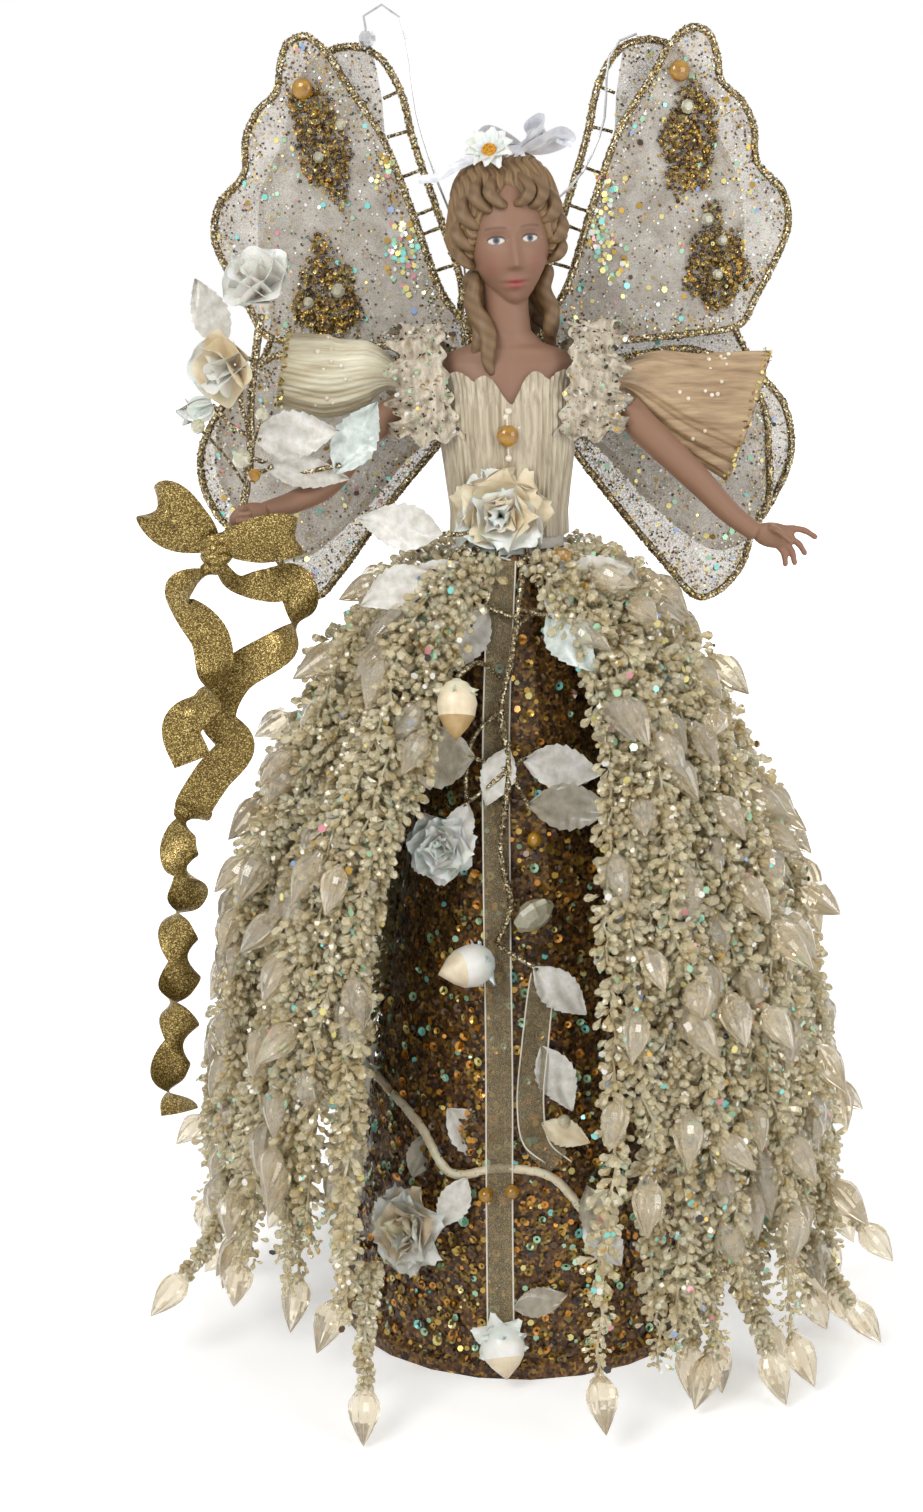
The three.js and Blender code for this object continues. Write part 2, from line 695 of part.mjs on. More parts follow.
// Fingers as shares of the palm's length: start and end, along the hand, across it and out of its face
const fingerShares = {
  open: [
    [[0.7, 0.3, 0], [1.5, 0.42, 0.02], [2.1, 0.18, 0.02]],
    [[0.75, 0.05, 0], [1.35, -0.2, 0.02], [1.75, -0.62, 0.02]],
    [[0.7, -0.15, 0], [1.1, -0.55, 0], [1.36, -1.12, 0]],
    [[0.55, -0.32, 0], [0.8, -0.75, 0], [0.95, -1.24, 0]],
    [[0, 0.35, -0.2], [0.5, 0.2, -0.62], [0.95, -0.1, -0.75]],
  ],
  grip: [
    [[0.5, 0.35, -0.2], [0.95, 0.3, -0.75], [0.55, 0.22, -1.15]],
    [[0.5, 0.05, -0.2], [1, 0, -0.75], [0.58, -0.05, -1.15]],
    [[0.5, -0.25, -0.2], [0.9, -0.3, -0.7], [0.5, -0.34, -1.1]],
  ],
};

function hand(side) {
  const path = armPath(side);
  const wrist = path.getPointAt(1);
  const along = path.getTangentAt(1);
  const out = side === 'left' ? vector(along.x, along.y, along.z * 0.2).normalize() : along.clone();
  const middle = wrist.clone().addScaledVector(out, palm.halfLength * 0.8);
  const face = vector(0, -1, 0).addScaledVector(out, out.y).normalize();
  const up = out.clone().cross(face).multiplyScalar(Math.sign(out.clone().cross(face).z));
  const basis = new THREE.Matrix4().makeBasis(out, face.clone().negate(), up);
  const pad = new THREE.SphereGeometry(1, 8, 6);
  pad.scale(palm.halfLength, palm.halfThickness, palm.halfWidth);
  pad.applyMatrix4(basis);
  pad.translate(middle.x, middle.y, middle.z);
  const spread = fingerShares[side === 'left' ? 'open' : 'grip'];
  const thickness = (way) => THREE.MathUtils.lerp(palm.fingerRadius, palm.tipRadius, way);
  const fingers = spread.map((route) => strand(curve(route.map(([a, b, c]) => middle.clone()
    .addScaledVector(out, (a - 0.2) * palm.halfLength)
    .addScaledVector(up, b * palm.halfLength)
    .addScaledVector(face, -c * palm.halfLength))), 2, 5, thickness));
  return [pad, ...fingers];
}

function armCasting(side) {
  const limb = strand(armPath(side), 6, 8, (way) => {
    if (way < 0.5) return THREE.MathUtils.lerp(arm.upperRadius, arm.elbowRadius, way * 2);
    return THREE.MathUtils.lerp(arm.elbowRadius, arm.wristRadius, (way - 0.5) * 2);
  });
  const whole = join(limb, ...hand(side));
  const holes = [wire(wirePath(side), shoulder.wireRadius + seat, 5, 5)];
  if (side === 'right') holes.push(wire(stemPath(), bouquet.stemRadius + seat, 8, 5));
  return cut(whole, ...holes);
}

// Sleeves: a pleated puff that widens outward, its mouth drawn in: places as shares of its length
const sleeveShares = {
  right: {
    path: [[0.1, 0, -0.04], [0.36, 0.05, 0.02], [0.66, 0.1, -0.01], [1, 0.12, 0.05]],
    radii: [0, 0.75, 1, 0.88],
  },
  left: {
    path: [[0.1, 0, -0.04], [0.4, 0.08, -0.08], [0.74, 0.12, -0.24], [1.12, 0.14, -0.37]],
    radii: [0, 0.5, 0.78, 1],
  },
};

function sleeveBody(side) {
  const { path, radii } = sleeveShares[side];
  const start = shoulderPoint(side);
  const route = curve(path.map(([out, back, up]) => start.clone()
    .add(vector(sideSign[side] * out, back, up).multiplyScalar(sleeve.length))));
  const rings = [];
  const rows = 5;
  const sides = sleeve.folds * 2;
  const ringAt = (way, shrink, sink) => {
    const centre = route.getPointAt(way);
    const along = route.getTangentAt(way);
    const back = vector(0, 1, 0);
    const up = along.clone().cross(back).normalize();
    const row = Math.min(way * (radii.length - 1), radii.length - 1.001);
    const swell = THREE.MathUtils.lerp(radii[Math.floor(row)], radii[Math.floor(row) + 1], row % 1);
    const height = Math.max(sleeve.neckRadius, swell * sleeve.halfHeight[side]) * shrink;
    const depth = Math.max(sleeve.neckRadius, sleeve.neckRadius + swell * sleeve.deepening) * shrink;
    const ring = [];
    for (let i = 0; i < sides; i += 1) {
      const turn = (i / sides) * Math.PI * 2;
      const fold = 1 + sleeve.foldShare * way * Math.cos(sleeve.folds * turn);
      ring.push(centre.clone()
        .addScaledVector(up, height * fold * Math.cos(turn))
        .addScaledVector(back, depth * fold * Math.sin(turn))
        .addScaledVector(along, -sink));
    }
    return ring;
  };
  for (let row = 0; row <= rows; row += 1) rings.push(ringAt(row / rows, 1, 0));
  rings.push(ringAt(1, 0.8, sleeve.hollow));
  return cut(loft(rings), wire(wirePath(side), shoulder.wireRadius + seat, 5, 5));
}

// The bodice with its pleats, as a solid grown by the seat gap
function grownBodice() {
  const margin = seat * 2 + bodice.cloth + bodice.pleat;
  return figureBody(bodice.base, bodice.neckline + bodice.scallop, margin, 24);
}

// Lace over the shoulder: a ruffled band from the front hem up and over to the back, sewn to
// the bodice along its inner edges
function laceCapBand(side) {
  const { outside, inside, frontReach, backReach, top, hem } = laceCap;
  const across = sideSign[side] * (outside + inside) / 2;
  const middle = shoulder.height - seat;
  const bend = (middle + top * 2) / 3;
  const path = curve([
    vector(across, -frontReach * 0.97, hem),
    vector(across, -frontReach * 1.05, (hem + middle) / 2),
    vector(across, -frontReach, middle),
    vector(across, -frontReach * 0.7, bend),
    vector(across, 0, top),
    vector(across, backReach * 0.62, bend),
    vector(across, backReach * 0.96, middle),
    vector(across, backReach, (hem + middle) / 2),
  ]);
  const geometry = band(path, laceCap.steps, outside - inside, laceCap.thickness, () => vector(1, 0, 0));
  const place = geometry.attributes.position;
  for (let i = 0; i < place.count; i += 1) {
    const way = Math.min(Math.floor(i / 4) / laceCap.steps, 1);
    const inner = Math.abs(place.getX(i)) < Math.abs(across);
    const inset = inner ? laceCap.topInset * Math.sin(Math.PI * way) : 0;
    const wave = laceCap.ruffle * Math.sin(way * Math.PI * 2 * laceCap.ruffles);
    place.setX(i, place.getX(i) + sideSign[side] * inset + wave);
  }
  return cut(geometry, grownBodice(), padBlock(seat));
}

// Wings. Out and up are measured from the hinge at the wing's root, and layer is how far back
function wingFrame(side) {
  const sign = sideSign[side];
  const yaw = degrees(wing.yawDeg);
  return {
    root: vector(sign * wing.rootOffset, wing.rootBack, wing.rootHeight),
    out: vector(sign * Math.cos(yaw), Math.sin(yaw), 0),
    back: vector(-sign * Math.sin(yaw), Math.cos(yaw), 0),
    up: vector(0, 0, 1),
  };
}

function wingPlace(side, [out, up], layer) {
  const frame = wingFrame(side);
  return frame.root
    .addScaledVector(frame.out, out)
    .addScaledVector(frame.up, up)
    .addScaledVector(frame.back, layer);
}

// Outlines from the root up and round: shares of the wing's span and of its rise or drop
const upperShares = [
  [0.1, 0.22], [0.2, 0.45], [0.32, 0.7], [0.45, 0.86], [0.52, 0.95], [0.6, 1], [0.67, 0.98], [0.7, 0.92],
  [0.72, 0.84], [0.8, 0.78], [0.85, 0.7], [0.86, 0.6], [0.97, 0.5], [0.99, 0.4], [0.93, 0.28],
  [0.86, 0.18], [0.8, 0.1], [0.6, 0.075], [0.3, 0.06],
];
const lowerShares = {
  right: [[0.32, 0.03], [0.62, 0.06], [0.76, 0.01], [0.92, -0.18], [1, -0.36], [0.99, -0.52], [0.91, -0.67],
    [0.76, -0.76], [0.67, -0.9], [0.59, -0.96], [0.5, -0.86], [0.32, -0.58], [0.14, -0.34]],
  left: [[0.36, 0.01], [0.66, 0.03], [0.87, -0.08], [0.97, -0.22], [0.99, -0.4], [0.99, -0.6], [0.92, -0.74],
    [0.87, -0.88], [0.77, -0.98], [0.68, -1], [0.52, -0.83], [0.3, -0.56], [0.12, -0.32]],
};
const rearShares = [
  [0.05, 0.25], [0.14, 0.48], [0.22, 0.68], [0.27, 0.84], [0.35, 0.94], [0.45, 0.97], [0.56, 0.95],
  [0.66, 0.86], [0.72, 0.7], [0.82, 0.52], [0.83, 0.3], [0.8, 0.12], [0.9, -0.06], [1.02, -0.22],
  [1.05, -0.42], [0.98, -0.6], [0.86, -0.76], [0.74, -0.8], [0.5, -0.62], [0.22, -0.32],
];

function outline(side, layerName) {
  if (layerName === 'upper') return upperShares.map(([a, b]) => [a * wing.span, b * wing.rise]);
  if (layerName === 'lower') {
    return lowerShares[side].map(([a, b]) => [a * wing.lowerSpan[side], b * wing.drop]);
  }
  return rearShares.map(([a, b]) => [a * wing.span, b * (b > 0 ? wing.rise : wing.drop)]);
}

// How far behind the stem the plane of each loop is
const layers = { upper: 0, lower: wing.lowerLayer, rear: wing.rearLayer };

function loopPath(side, layerName) {
  const { from, to } = wing.bound[layerName];
  const layer = layers[layerName];
  const onStem = layer > 0 ? wing.stemRadius + wing.wireRadius + seat : 0;
  const stub = wing.stemRadius + wing.wireRadius;
  const points = outline(side, layerName).map((place) => wingPlace(side, place, layer));
  const first = [wingPlace(side, [0, from], onStem)];
  const last = [wingPlace(side, [0, to], onStem)];
  if (layer > 0) {
    first.push(wingPlace(side, [stub, from], (onStem + layer) / 2));
    last.unshift(wingPlace(side, [stub, to], (onStem + layer) / 2));
  }
  return curve([...first, ...points, ...last]);
}

// The outline as the lace is cut: sampled, then drawn in by a margin that may change along it
function drawnIn(side, layerName, count, marginAt) {
  const points = outline(side, layerName);
  const { from, to } = wing.bound[layerName];
  const stub = wing.stemRadius + wing.wireRadius;
  const flat = [[stub, from - wing.wireRadius], ...points, [stub, to]].map(([a, b]) => vector(a, b, 0));
  const sampled = new THREE.CatmullRomCurve3(flat, true, 'centripetal').getSpacedPoints(count).slice(0, -1);
  return sampled.map((point, i) => {
    const previous = sampled[(i + sampled.length - 1) % sampled.length];
    const after = sampled[(i + 1) % sampled.length];
    const along = after.clone().sub(previous).normalize();
    return new THREE.Vector2(point.x, point.y)
      .addScaledVector(new THREE.Vector2(along.y, -along.x), marginAt(i / sampled.length));
  });
}

// The ladder's strip along the rear wing's inner edge: widest midway along its share of the outline
const ladderShare = 0.22;
function ladderReach(way) {
  return wing.ladderWidth * Math.sin(Math.PI * Math.min(way / ladderShare, 1)) ** 0.5;
}

function lacePanel(side, layerName) {
  const margin = wing.wireRadius + seat;
  const marginAt = (way) => {
    if (layerName !== 'rear' || way > ladderShare) return margin * 1.8;
    return margin + ladderReach(way);
  };
  const shape = new THREE.Shape(drawnIn(side, layerName, 33, marginAt));
  const geometry = new THREE.ExtrudeGeometry(shape, {
    depth: wing.laceThickness, steps: 1, bevelEnabled: false,
  });
  geometry.translate(0, 0, layers[layerName] - wing.laceThickness / 2);
  const frame = wingFrame(side);
  const placed = new THREE.Matrix4().makeBasis(frame.out, frame.up, frame.back).setPosition(frame.root);
  return geometry.applyMatrix4(placed);
}

function wingStem(side) {
  const foot = wingPlace(side, [0, -wing.stemBelow], 0);
  return wire(segment(foot, wingPlace(side, [0, wing.stemAbove], 0)), wing.stemRadius, 1, 8);
}

function upperWire(side) {
  return join(wingStem(side), wire(loopPath(side, 'upper'), wing.wireRadius, 28, 5));
}

// Rungs across the strip between the rear wire's inner edge and its lace
function rearWire(side) {
  const loop = wire(loopPath(side, 'rear'), wing.wireRadius, 31, 5);
  const rows = 64;
  const edge = drawnIn(side, 'rear', rows, () => 0);
  const inner = drawnIn(side, 'rear', rows, ladderReach);
  const rungs = [];
  for (let i = 1; i <= wing.rungs; i += 1) {
    const at = 1 + Math.round((i / (wing.rungs + 1)) * rows * ladderShare * 0.9);
    const [from, to] = [edge[at], inner[at]].map((p) => wingPlace(side, [p.x, p.y], wing.rearLayer));
    rungs.push(wire(segment(from, to), wing.rungRadius, 1, 4));
  }
  return join(loop, ...rungs);
}

// Thin wire from the rear wing's tip, up over in a loop and down behind the neck to the stem
const tieShares = {
  right: [
    [0.38, 0.99], [0.4, 1.03], [0.37, 1.08], [0.31, 1.085], [0.255, 1.05], [0.22, 0.92], [0.2, 0.77],
    [0.13, 0.57], [0.045, 0.38],
  ],
  left: [
    [0.41, 0.985], [0.36, 0.975], [0.31, 0.93], [0.29, 0.85], [0.285, 0.75], [0.25, 0.66], [0.17, 0.55],
    [0.095, 0.5], [0.03, 0.38],
  ],
};

function tieWire(side) {
  const layer = wing.rearLayer - wing.wireRadius - seat - tie.radius * 2;
  const route = tieShares[side].map(([a, b]) => wingPlace(side, [a * wing.span, b * wing.rise], layer));
  route.push(wingPlace(side, [0, wing.stemAbove + seat + tie.radius], 0));
  const cord = wire(curve(route), tie.radius, 16, 4);
  if (side === 'left') return cord;
  const bead = ellipsoid(route[0].toArray(), [1, 1, 1].map(() => tie.beadRadius), 6, 5);
  return cut(join(cord, bead), wire(loopPath(side, 'rear'), wing.wireRadius + seat, 31, 5));
}

// Pad glued on the doll's back, which both stems are bound to
function padBlock(margin) {
  const depth = wing.rootBack - wing.stemRadius - seat - wingPad.frontDepth;
  const tall = wingPad.top - wingPad.base;
  const sizes = [wingPad.halfWidth * 2, depth, tall].map((extent) => extent + margin * 2);
  const block = new THREE.BoxGeometry(...sizes);
  block.translate(0, wingPad.frontDepth + depth / 2, wingPad.base + tall / 2);
  return block;
}

function wingMount() {
  const margin = seat * 2 + bodice.cloth + bodice.pleat;
  return cut(padBlock(0), figureBody(wingPad.base - seat, wingPad.top + seat, margin, 20));
}

// Bouquet: places as shares of its height, from the knot: across, forward and up
const stemShares = [
  [0, 0.06, -0.03], [0.07, 0.06, 0.07], [0.115, 0.1, 0.26], [0.13, 0.13, 0.5], [0.17, 0.17, 0.76],
];
const bouquetShares = {
  top: [0.175, 0.2, 0.84], middle: [0.085, 0.02, 0.6], bud: [0, 0.1, 0.47], leafHigh: [0.02, 0.15, 0.72],
  leafWide: [0.22, 0.12, 0.36], leafLow: [0.25, 0.06, 0.25], leafFar: [0.45, 0.1, 0.3],
};

function bouquetPlace([across, back, up]) {
  return knotPlace().add(vector(across, back, up).multiplyScalar(bouquet.height));
}

function stemPath() {
  return curve(stemShares.map(bouquetPlace));
}

function twig(from, to) {
  const sag = from.clone().lerp(to, 0.5).add(vector(0, 0, -from.distanceTo(to) * 0.12));
  return wire(curve([from, sag, to]), bouquet.twigRadius, 2, 4);
}

// Each leaf's place on the stem, its size as a share, and its turn in the front view
const bouquetLeaves = [
  { fromShare: 0.82, to: 'leafHigh', sizeShare: 0.94, heading: 118, lean: 10 },
  { fromShare: 0.5, to: 'leafWide', sizeShare: 1.1, heading: 6, lean: -6 },
  { fromShare: 0.38, to: 'leafLow', sizeShare: 0.94, heading: -4, lean: 12 },
  { fromShare: 0.44, to: 'leafFar', sizeShare: 1, heading: 62, lean: 4 },
];

function bouquetStem() {
  const path = stemPath();
  const pieces = [wire(path, bouquet.stemRadius, 8, 5)];
  for (const { fromShare, to, sizeShare, heading, lean } of bouquetLeaves) {
    const [length, width] = [bouquetLeaf.length * sizeShare, bouquetLeaf.width * sizeShare];
    const end = bouquetPlace(bouquetShares[to]);
    const towards = vector(Math.cos(degrees(heading)), 0, Math.sin(degrees(heading)));
    const base = end.clone().addScaledVector(towards, -length * 0.3);
    pieces.push(twig(path.getPointAt(fromShare), base.clone().addScaledVector(towards, length * 0.12)));
    pieces.push(frontLeaf(length, width, bouquet.leafThickness, base, heading, lean));
  }
  for (const name of ['middle', 'bud']) {
    pieces.push(twig(path.getPointAt(0.5), bouquetPlace(bouquetShares[name])));
  }
  return join(...pieces);
}

function seatedFlower(geometry, direction, place, ...cutters) {
  return cut(aim(geometry, direction, place), ...cutters);
}

function stemCutter() {
  return wire(stemPath(), bouquet.stemRadius + seat, 8, 5);
}

function knotBody(margin) {
  const half = [0.9, 0.8, 1.1].map((share) => knot.radius * share + margin);
  return ellipsoid(knotPlace().toArray(), half, 6, 5);
}

function ribbonBow() {
  const middle = knotPlace();
  const loop = (points, lean) => band(
    curve(points.map(([a, b, c]) => middle.clone().add(vector(a, b, c).multiplyScalar(ribbon.width)))),
    8, ribbon.width * 0.84, ribbon.thickness, () => lean,
  );
  const high = loop([[-0.12, -0.1, 0.2], [-0.5, -0.3, 0.75], [-1.05, -0.4, 1.3], [-1.5, -0.1, 1],
    [-1.2, 0.15, 0.4], [-0.2, 0.12, 0.12]], vector(0.5, -0.2, 0.85));
  const right = loop([[0.15, -0.16, 0.06], [0.7, -0.42, 0.26], [1.5, -0.4, 0.44], [1.95, 0, 0.2],
    [1.2, 0.1, -0.02], [0.2, 0.08, 0.04]], vector(-0.1, -0.25, 1));
  return cut(join(knotBody(0), high, right), stemCutter());
}

// Tails hang from the knot: places as shares of their drop, across, back and down
const tailShares = {
  short: [
    [-0.005, -0.012, -0.016], [-0.011, -0.014, -0.034], [-0.062, 0.006, -0.072], [-0.016, 0.014, -0.148],
    [-0.024, 0.018, -0.24], [-0.07, 0.018, -0.285], [-0.055, 0.016, -0.34],
  ],
  curled: [
    [0.004, 0, -0.016], [0.008, 0.008, -0.034], [0.026, 0.029, -0.06], [0.075, 0.04, -0.066],
    [0.112, 0.046, -0.065], [0.124, 0.046, -0.095], [0.1, 0.048, -0.155], [0.012, 0.056, -0.215],
    [-0.017, 0.06, -0.28], [0.01, 0.06, -0.325], [-0.03, 0.056, -0.375], [-0.06, 0.05, -0.42],
  ],
};

function tailPlace([across, back, down]) {
  return knotPlace().add(vector(across, back, down).multiplyScalar(ribbon.drop));
}

function shortTail() {
  const path = curve(tailShares.short.map(tailPlace));
  const tail = band(path, 20, ribbon.width, ribbon.thickness, (way) => vector(
    Math.cos(way * Math.PI * 2.2 + 0.4),
    Math.sin(way * Math.PI * 2.2 + 0.4) * 0.25,
    0.35,
  ), ribbon.gatherShare);
  return cut(tail, knotBody(seat * 2));
}

const curlDropShare = 0.52;
const curlLeanShare = 0.05;

// The long tail ends in curls: a helix about a line that hangs nearly straight down
function curledTail() {
  const start = tailShares.curled.map(tailPlace);
  const last = start.at(-1);
  const drop = ribbon.drop * curlDropShare;
  const lean = -ribbon.drop * curlLeanShare;
  const stepsPerCurl = 8;
  const count = ribbon.curls * stepsPerCurl;
  const helix = [];
  for (let i = 1; i <= count; i += 1) {
    const way = i / count;
    const turn = way * ribbon.curls * Math.PI * 2;
    helix.push(vector(
      last.x + ribbon.curlRadius * (1 - Math.cos(turn)) * -0.5 + lean * way,
      last.y + ribbon.curlRadius * Math.sin(turn) * 0.5,
      last.z - drop * way,
    ));
  }
  const path = curve([...start, ...helix]);
  const straightShare = curve(start).getLength() / path.getLength();
  const tail = band(path, 44, ribbon.width, ribbon.thickness, (way) => {
    const loose = Math.max(way - straightShare, 0) / (1 - straightShare);
    const turn = way * Math.PI * 2.4 + loose * ribbon.curls * Math.PI * 1.4;
    return vector(Math.cos(turn), Math.sin(turn) * (0.25 + loose * 0.3), 0.55 * Math.min(way * 4, 1));
  }, ribbon.gatherShare);
  return cut(tail, knotBody(seat * 2));
}

// Skirt: strands of each spray, as shares of the hem's radius and of the waist's height. The
// first is the stem, and the others leave it further down
const rootShare = (coneRadius(skirt.rise) + seat) / skirt.hemRadius;
const strandShares = {
  stem: [
    [rootShare, 1], [0.34, 1.005], [0.48, 0.93], [0.6, 0.8], [0.77, 0.62], [0.9, 0.4], [0.965, 0.2],
    [0.99, 0.07],
  ],
  second: [[0.34, 1], [0.48, 0.92], [0.61, 0.79], [0.78, 0.6], [0.9, 0.38], [0.96, 0.17]],
  middle: [[0.44, 0.96], [0.56, 0.92], [0.68, 0.81], [0.84, 0.66], [0.945, 0.5], [0.975, 0.36]],
  short: [[0.36, 1], [0.5, 0.945], [0.6, 0.87], [0.7, 0.78], [0.79, 0.69]],
};
const strandPlan = [
  { route: 'stem', turnShare: -0.26, lobes: 4, sides: 5 },
  { route: 'second', turnShare: 0.28, lobes: 3, sides: 4 },
  { route: 'middle', turnShare: 0, lobes: 3, sides: 4 },
  { route: 'short', turnShare: 0, lobes: 2, sides: 4 },
];

// Sprays whose stem strand stands out past the hem, by their place in the ring
const flareShares = { 0: 1.04, 2: 1.14, 11: 1.05 };

// Azimuth of a share of the way round the skirt, with a gap left open in front
function azimuth(gapDeg, share) {
  return degrees(-90 + gapDeg / 2 + (360 - gapDeg) * share);
}

function strandRoute(index, { route, turnShare }, liftShare) {
  const flare = route === 'stem' ? flareShares[index] ?? 1 : 1;
  const share = (index + 0.5) / skirt.sprays;
  const pitch = degrees((360 - skirt.gapDeg) / skirt.sprays);
  return curve(strandShares[route].map(([out, up]) => {
    const open = THREE.MathUtils.clamp((out - 0.2) * 2.6, 0, 1);
    const [waistAzimuth, hemAzimuth] = [skirt.waistGapDeg, skirt.gapDeg].map((gap) => azimuth(gap, share));
    const middle = THREE.MathUtils.lerp(waistAzimuth, hemAzimuth, open);
    const angle = middle + pitch * turnShare * open;
    const flat = THREE.MathUtils.lerp(1, skirt.backShare, Math.max(Math.sin(angle), 0) * (out - rootShare));
    const radius = out * skirt.hemRadius * flat * THREE.MathUtils.lerp(1, flare, out * out);
    const height = skirt.rise * THREE.MathUtils.lerp(up, 1, liftShare * (1 - up));
    return vector(radius * Math.cos(angle), radius * Math.sin(angle), height);
  }));
}

// A strand swells at each whorl of its beads, once it's clear of the others, then narrows to a
// neck and ends in a faceted bulb
function spray(index) {
  const ragged = 0.05 * (1 + Math.sin(index * 2.4));
  const bodies = strandPlan.map((plan, i) => {
    const path = strandRoute(index, plan, i % 2 ? 0.1 - ragged : ragged);
    const length = path.getLength();
    const neck = 1 - bulb.length / length;
    const steps = plan.lobes * 2;
    const ways = [];
    for (let step = 0; step < steps; step += 1) ways.push((step / steps) * neck);
    ways.push(neck, THREE.MathUtils.lerp(neck, 1, bulb.widestShare), 1);
    return strandAlong(path, ways, plan.sides, (way) => {
      if (way === 1) return 0;
      if (way > neck) return bulb.radius;
      if (way === neck) return skirt.neckRadius;
      const share = way / neck;
      const swell = Math.sin(Math.PI * Math.min(share * 0.8 + (i ? 0.16 : 0.02), 1)) ** 0.5;
      const apart = THREE.MathUtils.clamp(share * 4 - 2, 0, 1);
      const lobe = 1 - skirt.lobeShare * apart * (0.5 + 0.5 * Math.cos(share * plan.lobes * Math.PI * 2));
      return Math.max(skirt.rootRadius, skirt.strandRadius * swell * lobe);
    });
  });
  return join(...bodies);
}

// Garland: places as shares of the cone's base radius across, of its height up, and of how proud
// of it they lie
const garlandShares = {
  stem: [
    [0.0582, 1, 0.4], [0.0249, 0.94], [-0.0166, 0.88], [-0.0748, 0.82], [-0.0416, 0.75], [-0.0915, 0.65],
    [-0.0499, 0.585], [-0.1247, 0.54],
  ],
  branch: [[-0.0748, 0.82], [-0.2079, 0.79], [-0.2578, 0.74], [-0.2495, 0.68]],
  right: [[0.0166, 0.92], [0.1663, 0.94], [0.2079, 0.9]],
  left: [[0.0125, 0.93], [-0.2079, 0.94], [-0.3617, 0.868]],
  sprig: [[-0.7068, 0.36], [-0.4989, 0.3], [-0.3825, 0.25], [-0.1247, 0.262], [0.1247, 0.25], [0.2994, 0.2]],
};
const garlandLeaves = [
  { on: [-0.2412, 0.762], sizeShare: 1, heading: 172, lean: 8, twig: false },
  { on: [-0.2516, 0.7], sizeShare: 0.9, heading: 262, lean: 0, twig: false },
  { on: [0, 0.745], sizeShare: 1.1, heading: 20, lean: 6 },
  { on: [0.0416, 0.72], sizeShare: 0.9, heading: -38, lean: -6 },
  { on: [0.2079, 0.9], sizeShare: 0.8, heading: -50, lean: 12, twig: false },
  { on: [-0.0748, 0.545], sizeShare: 0.8, heading: -42, lean: 6 },
];

function garlandPlace([across, up, proudShare = 1], standoff = garland.standoff) {
  return before(across * cone.baseRadius, up * cone.height, standoff * proudShare);
}

function garlandPath(name, standoff) {
  return curve(garlandShares[name].map((share) => garlandPlace(share, standoff)));
}

function leafOn({ on, sizeShare, heading, lean }, standoff) {
  const [long, wide] = [garland.leafLength * sizeShare, garland.leafWidth * sizeShare];
  return frontLeaf(long, wide, bouquet.leafThickness, garlandPlace(on, standoff), heading, lean, coneSlope());
}

function garlandStem() {
  const pieces = ['stem', 'branch', 'right', 'left'].map((name, i) => wire(
    garlandPath(name),
    i ? garland.twigRadius : garland.stemRadius,
    i ? 3 : 8,
    i ? 4 : 5,
  ));
  const twigs = garlandLeaves.filter((row) => row.twig ?? true).map(({ on }) => {
    const near = garlandShares.stem.reduce((best, share) => (
      Math.abs(share[1] - on[1]) < Math.abs(best[1] - on[1]) ? share : best));
    const end = garlandPlace(on);
    const start = garlandPlace(near);
    const inside = end.clone().add(end.clone().sub(start).setLength(garland.stemRadius));
    return wire(segment(start, inside), garland.twigRadius, 1, 4);
  });
  return join(...pieces, ...twigs, ...garlandLeaves.map((row) => leafOn(row)));
}

// A sprig low on the cone, with a starry flower at its upper end
function hemSprig() {
  const path = garlandPath('sprig', sprigStandoff);
  const starPlace = garlandPlace(garlandShares.sprig[0], sprigStandoff);
  const outward = vector(starPlace.x, starPlace.y, rose.blossom);
  const star = aim(bloom(rose.blossom, starShares, 5), outward, starPlace);
  const last = { on: garlandShares.sprig.at(-1), sizeShare: 0.8, heading: -58, lean: 10 };
  const leafy = leafOn(last, sprigStandoff);
  return cut(join(wire(path, garland.twigRadius, 10, 5), star, leafy), grownCone());
}

// The cone as a solid, grown by the seat gap
function grownCone() {
  return revolved([
    [0, -seat], [cone.rimRadius + seat, -seat], [cone.rimRadius + seat, cone.lipHeight + seat],
    [coneRadius(cone.lipHeight + cone.wall) + seat, cone.lipHeight + cone.wall],
    [cone.topRadius + seat, cone.height + seat], [0, cone.height + seat],
  ], cone.sides);
}

// A flower laid against the cone: its back just clear of the face
function coneFlower(share, radius, rows, petals = 5, standoff = seat * 3) {
  const place = garlandPlace(share, standoff);
  const outward = vector(place.x, place.y, 0).normalize().add(vector(0, 0, 0.15));
  return cut(aim(bloom(radius, rows, petals), outward, place), grownCone());
}

function sprigCutter() {
  return wire(garlandPath('sprig', sprigStandoff), garland.twigRadius + seat, 10, 5);
}

function waistRose() {
  const row = figureAt(figure[1].height);
  const margin = seat * 2 + bodice.cloth + bodice.pleat;
  const front = row.halfDepth + row.forward + margin;
  const place = vector(-rose.waist * 0.22, -front, figure[1].height);
  const whole = aim(bloom(rose.waist, roseShares), vector(-0.06, -1, 0.12), place);
  return cut(whole, grownCone(), grownBodice());
}

// Sheer ribbon from the waist down the front to the hem
function frontRibbon() {
  const shares = [
    [-0.0499, 0.995], [-0.0998, 0.8], [-0.1164, 0.6], [-0.1247, 0.4], [-0.1414, 0.2], [-0.1497, 0.055],
  ];
  const path = curve(shares.map((share) => garlandPlace(share, sheerRibbon.standoff)));
  return cut(band(path, 10, sheerRibbon.width, sheerRibbon.thickness, () => vector(1, 0, 0)), waistRose());
}

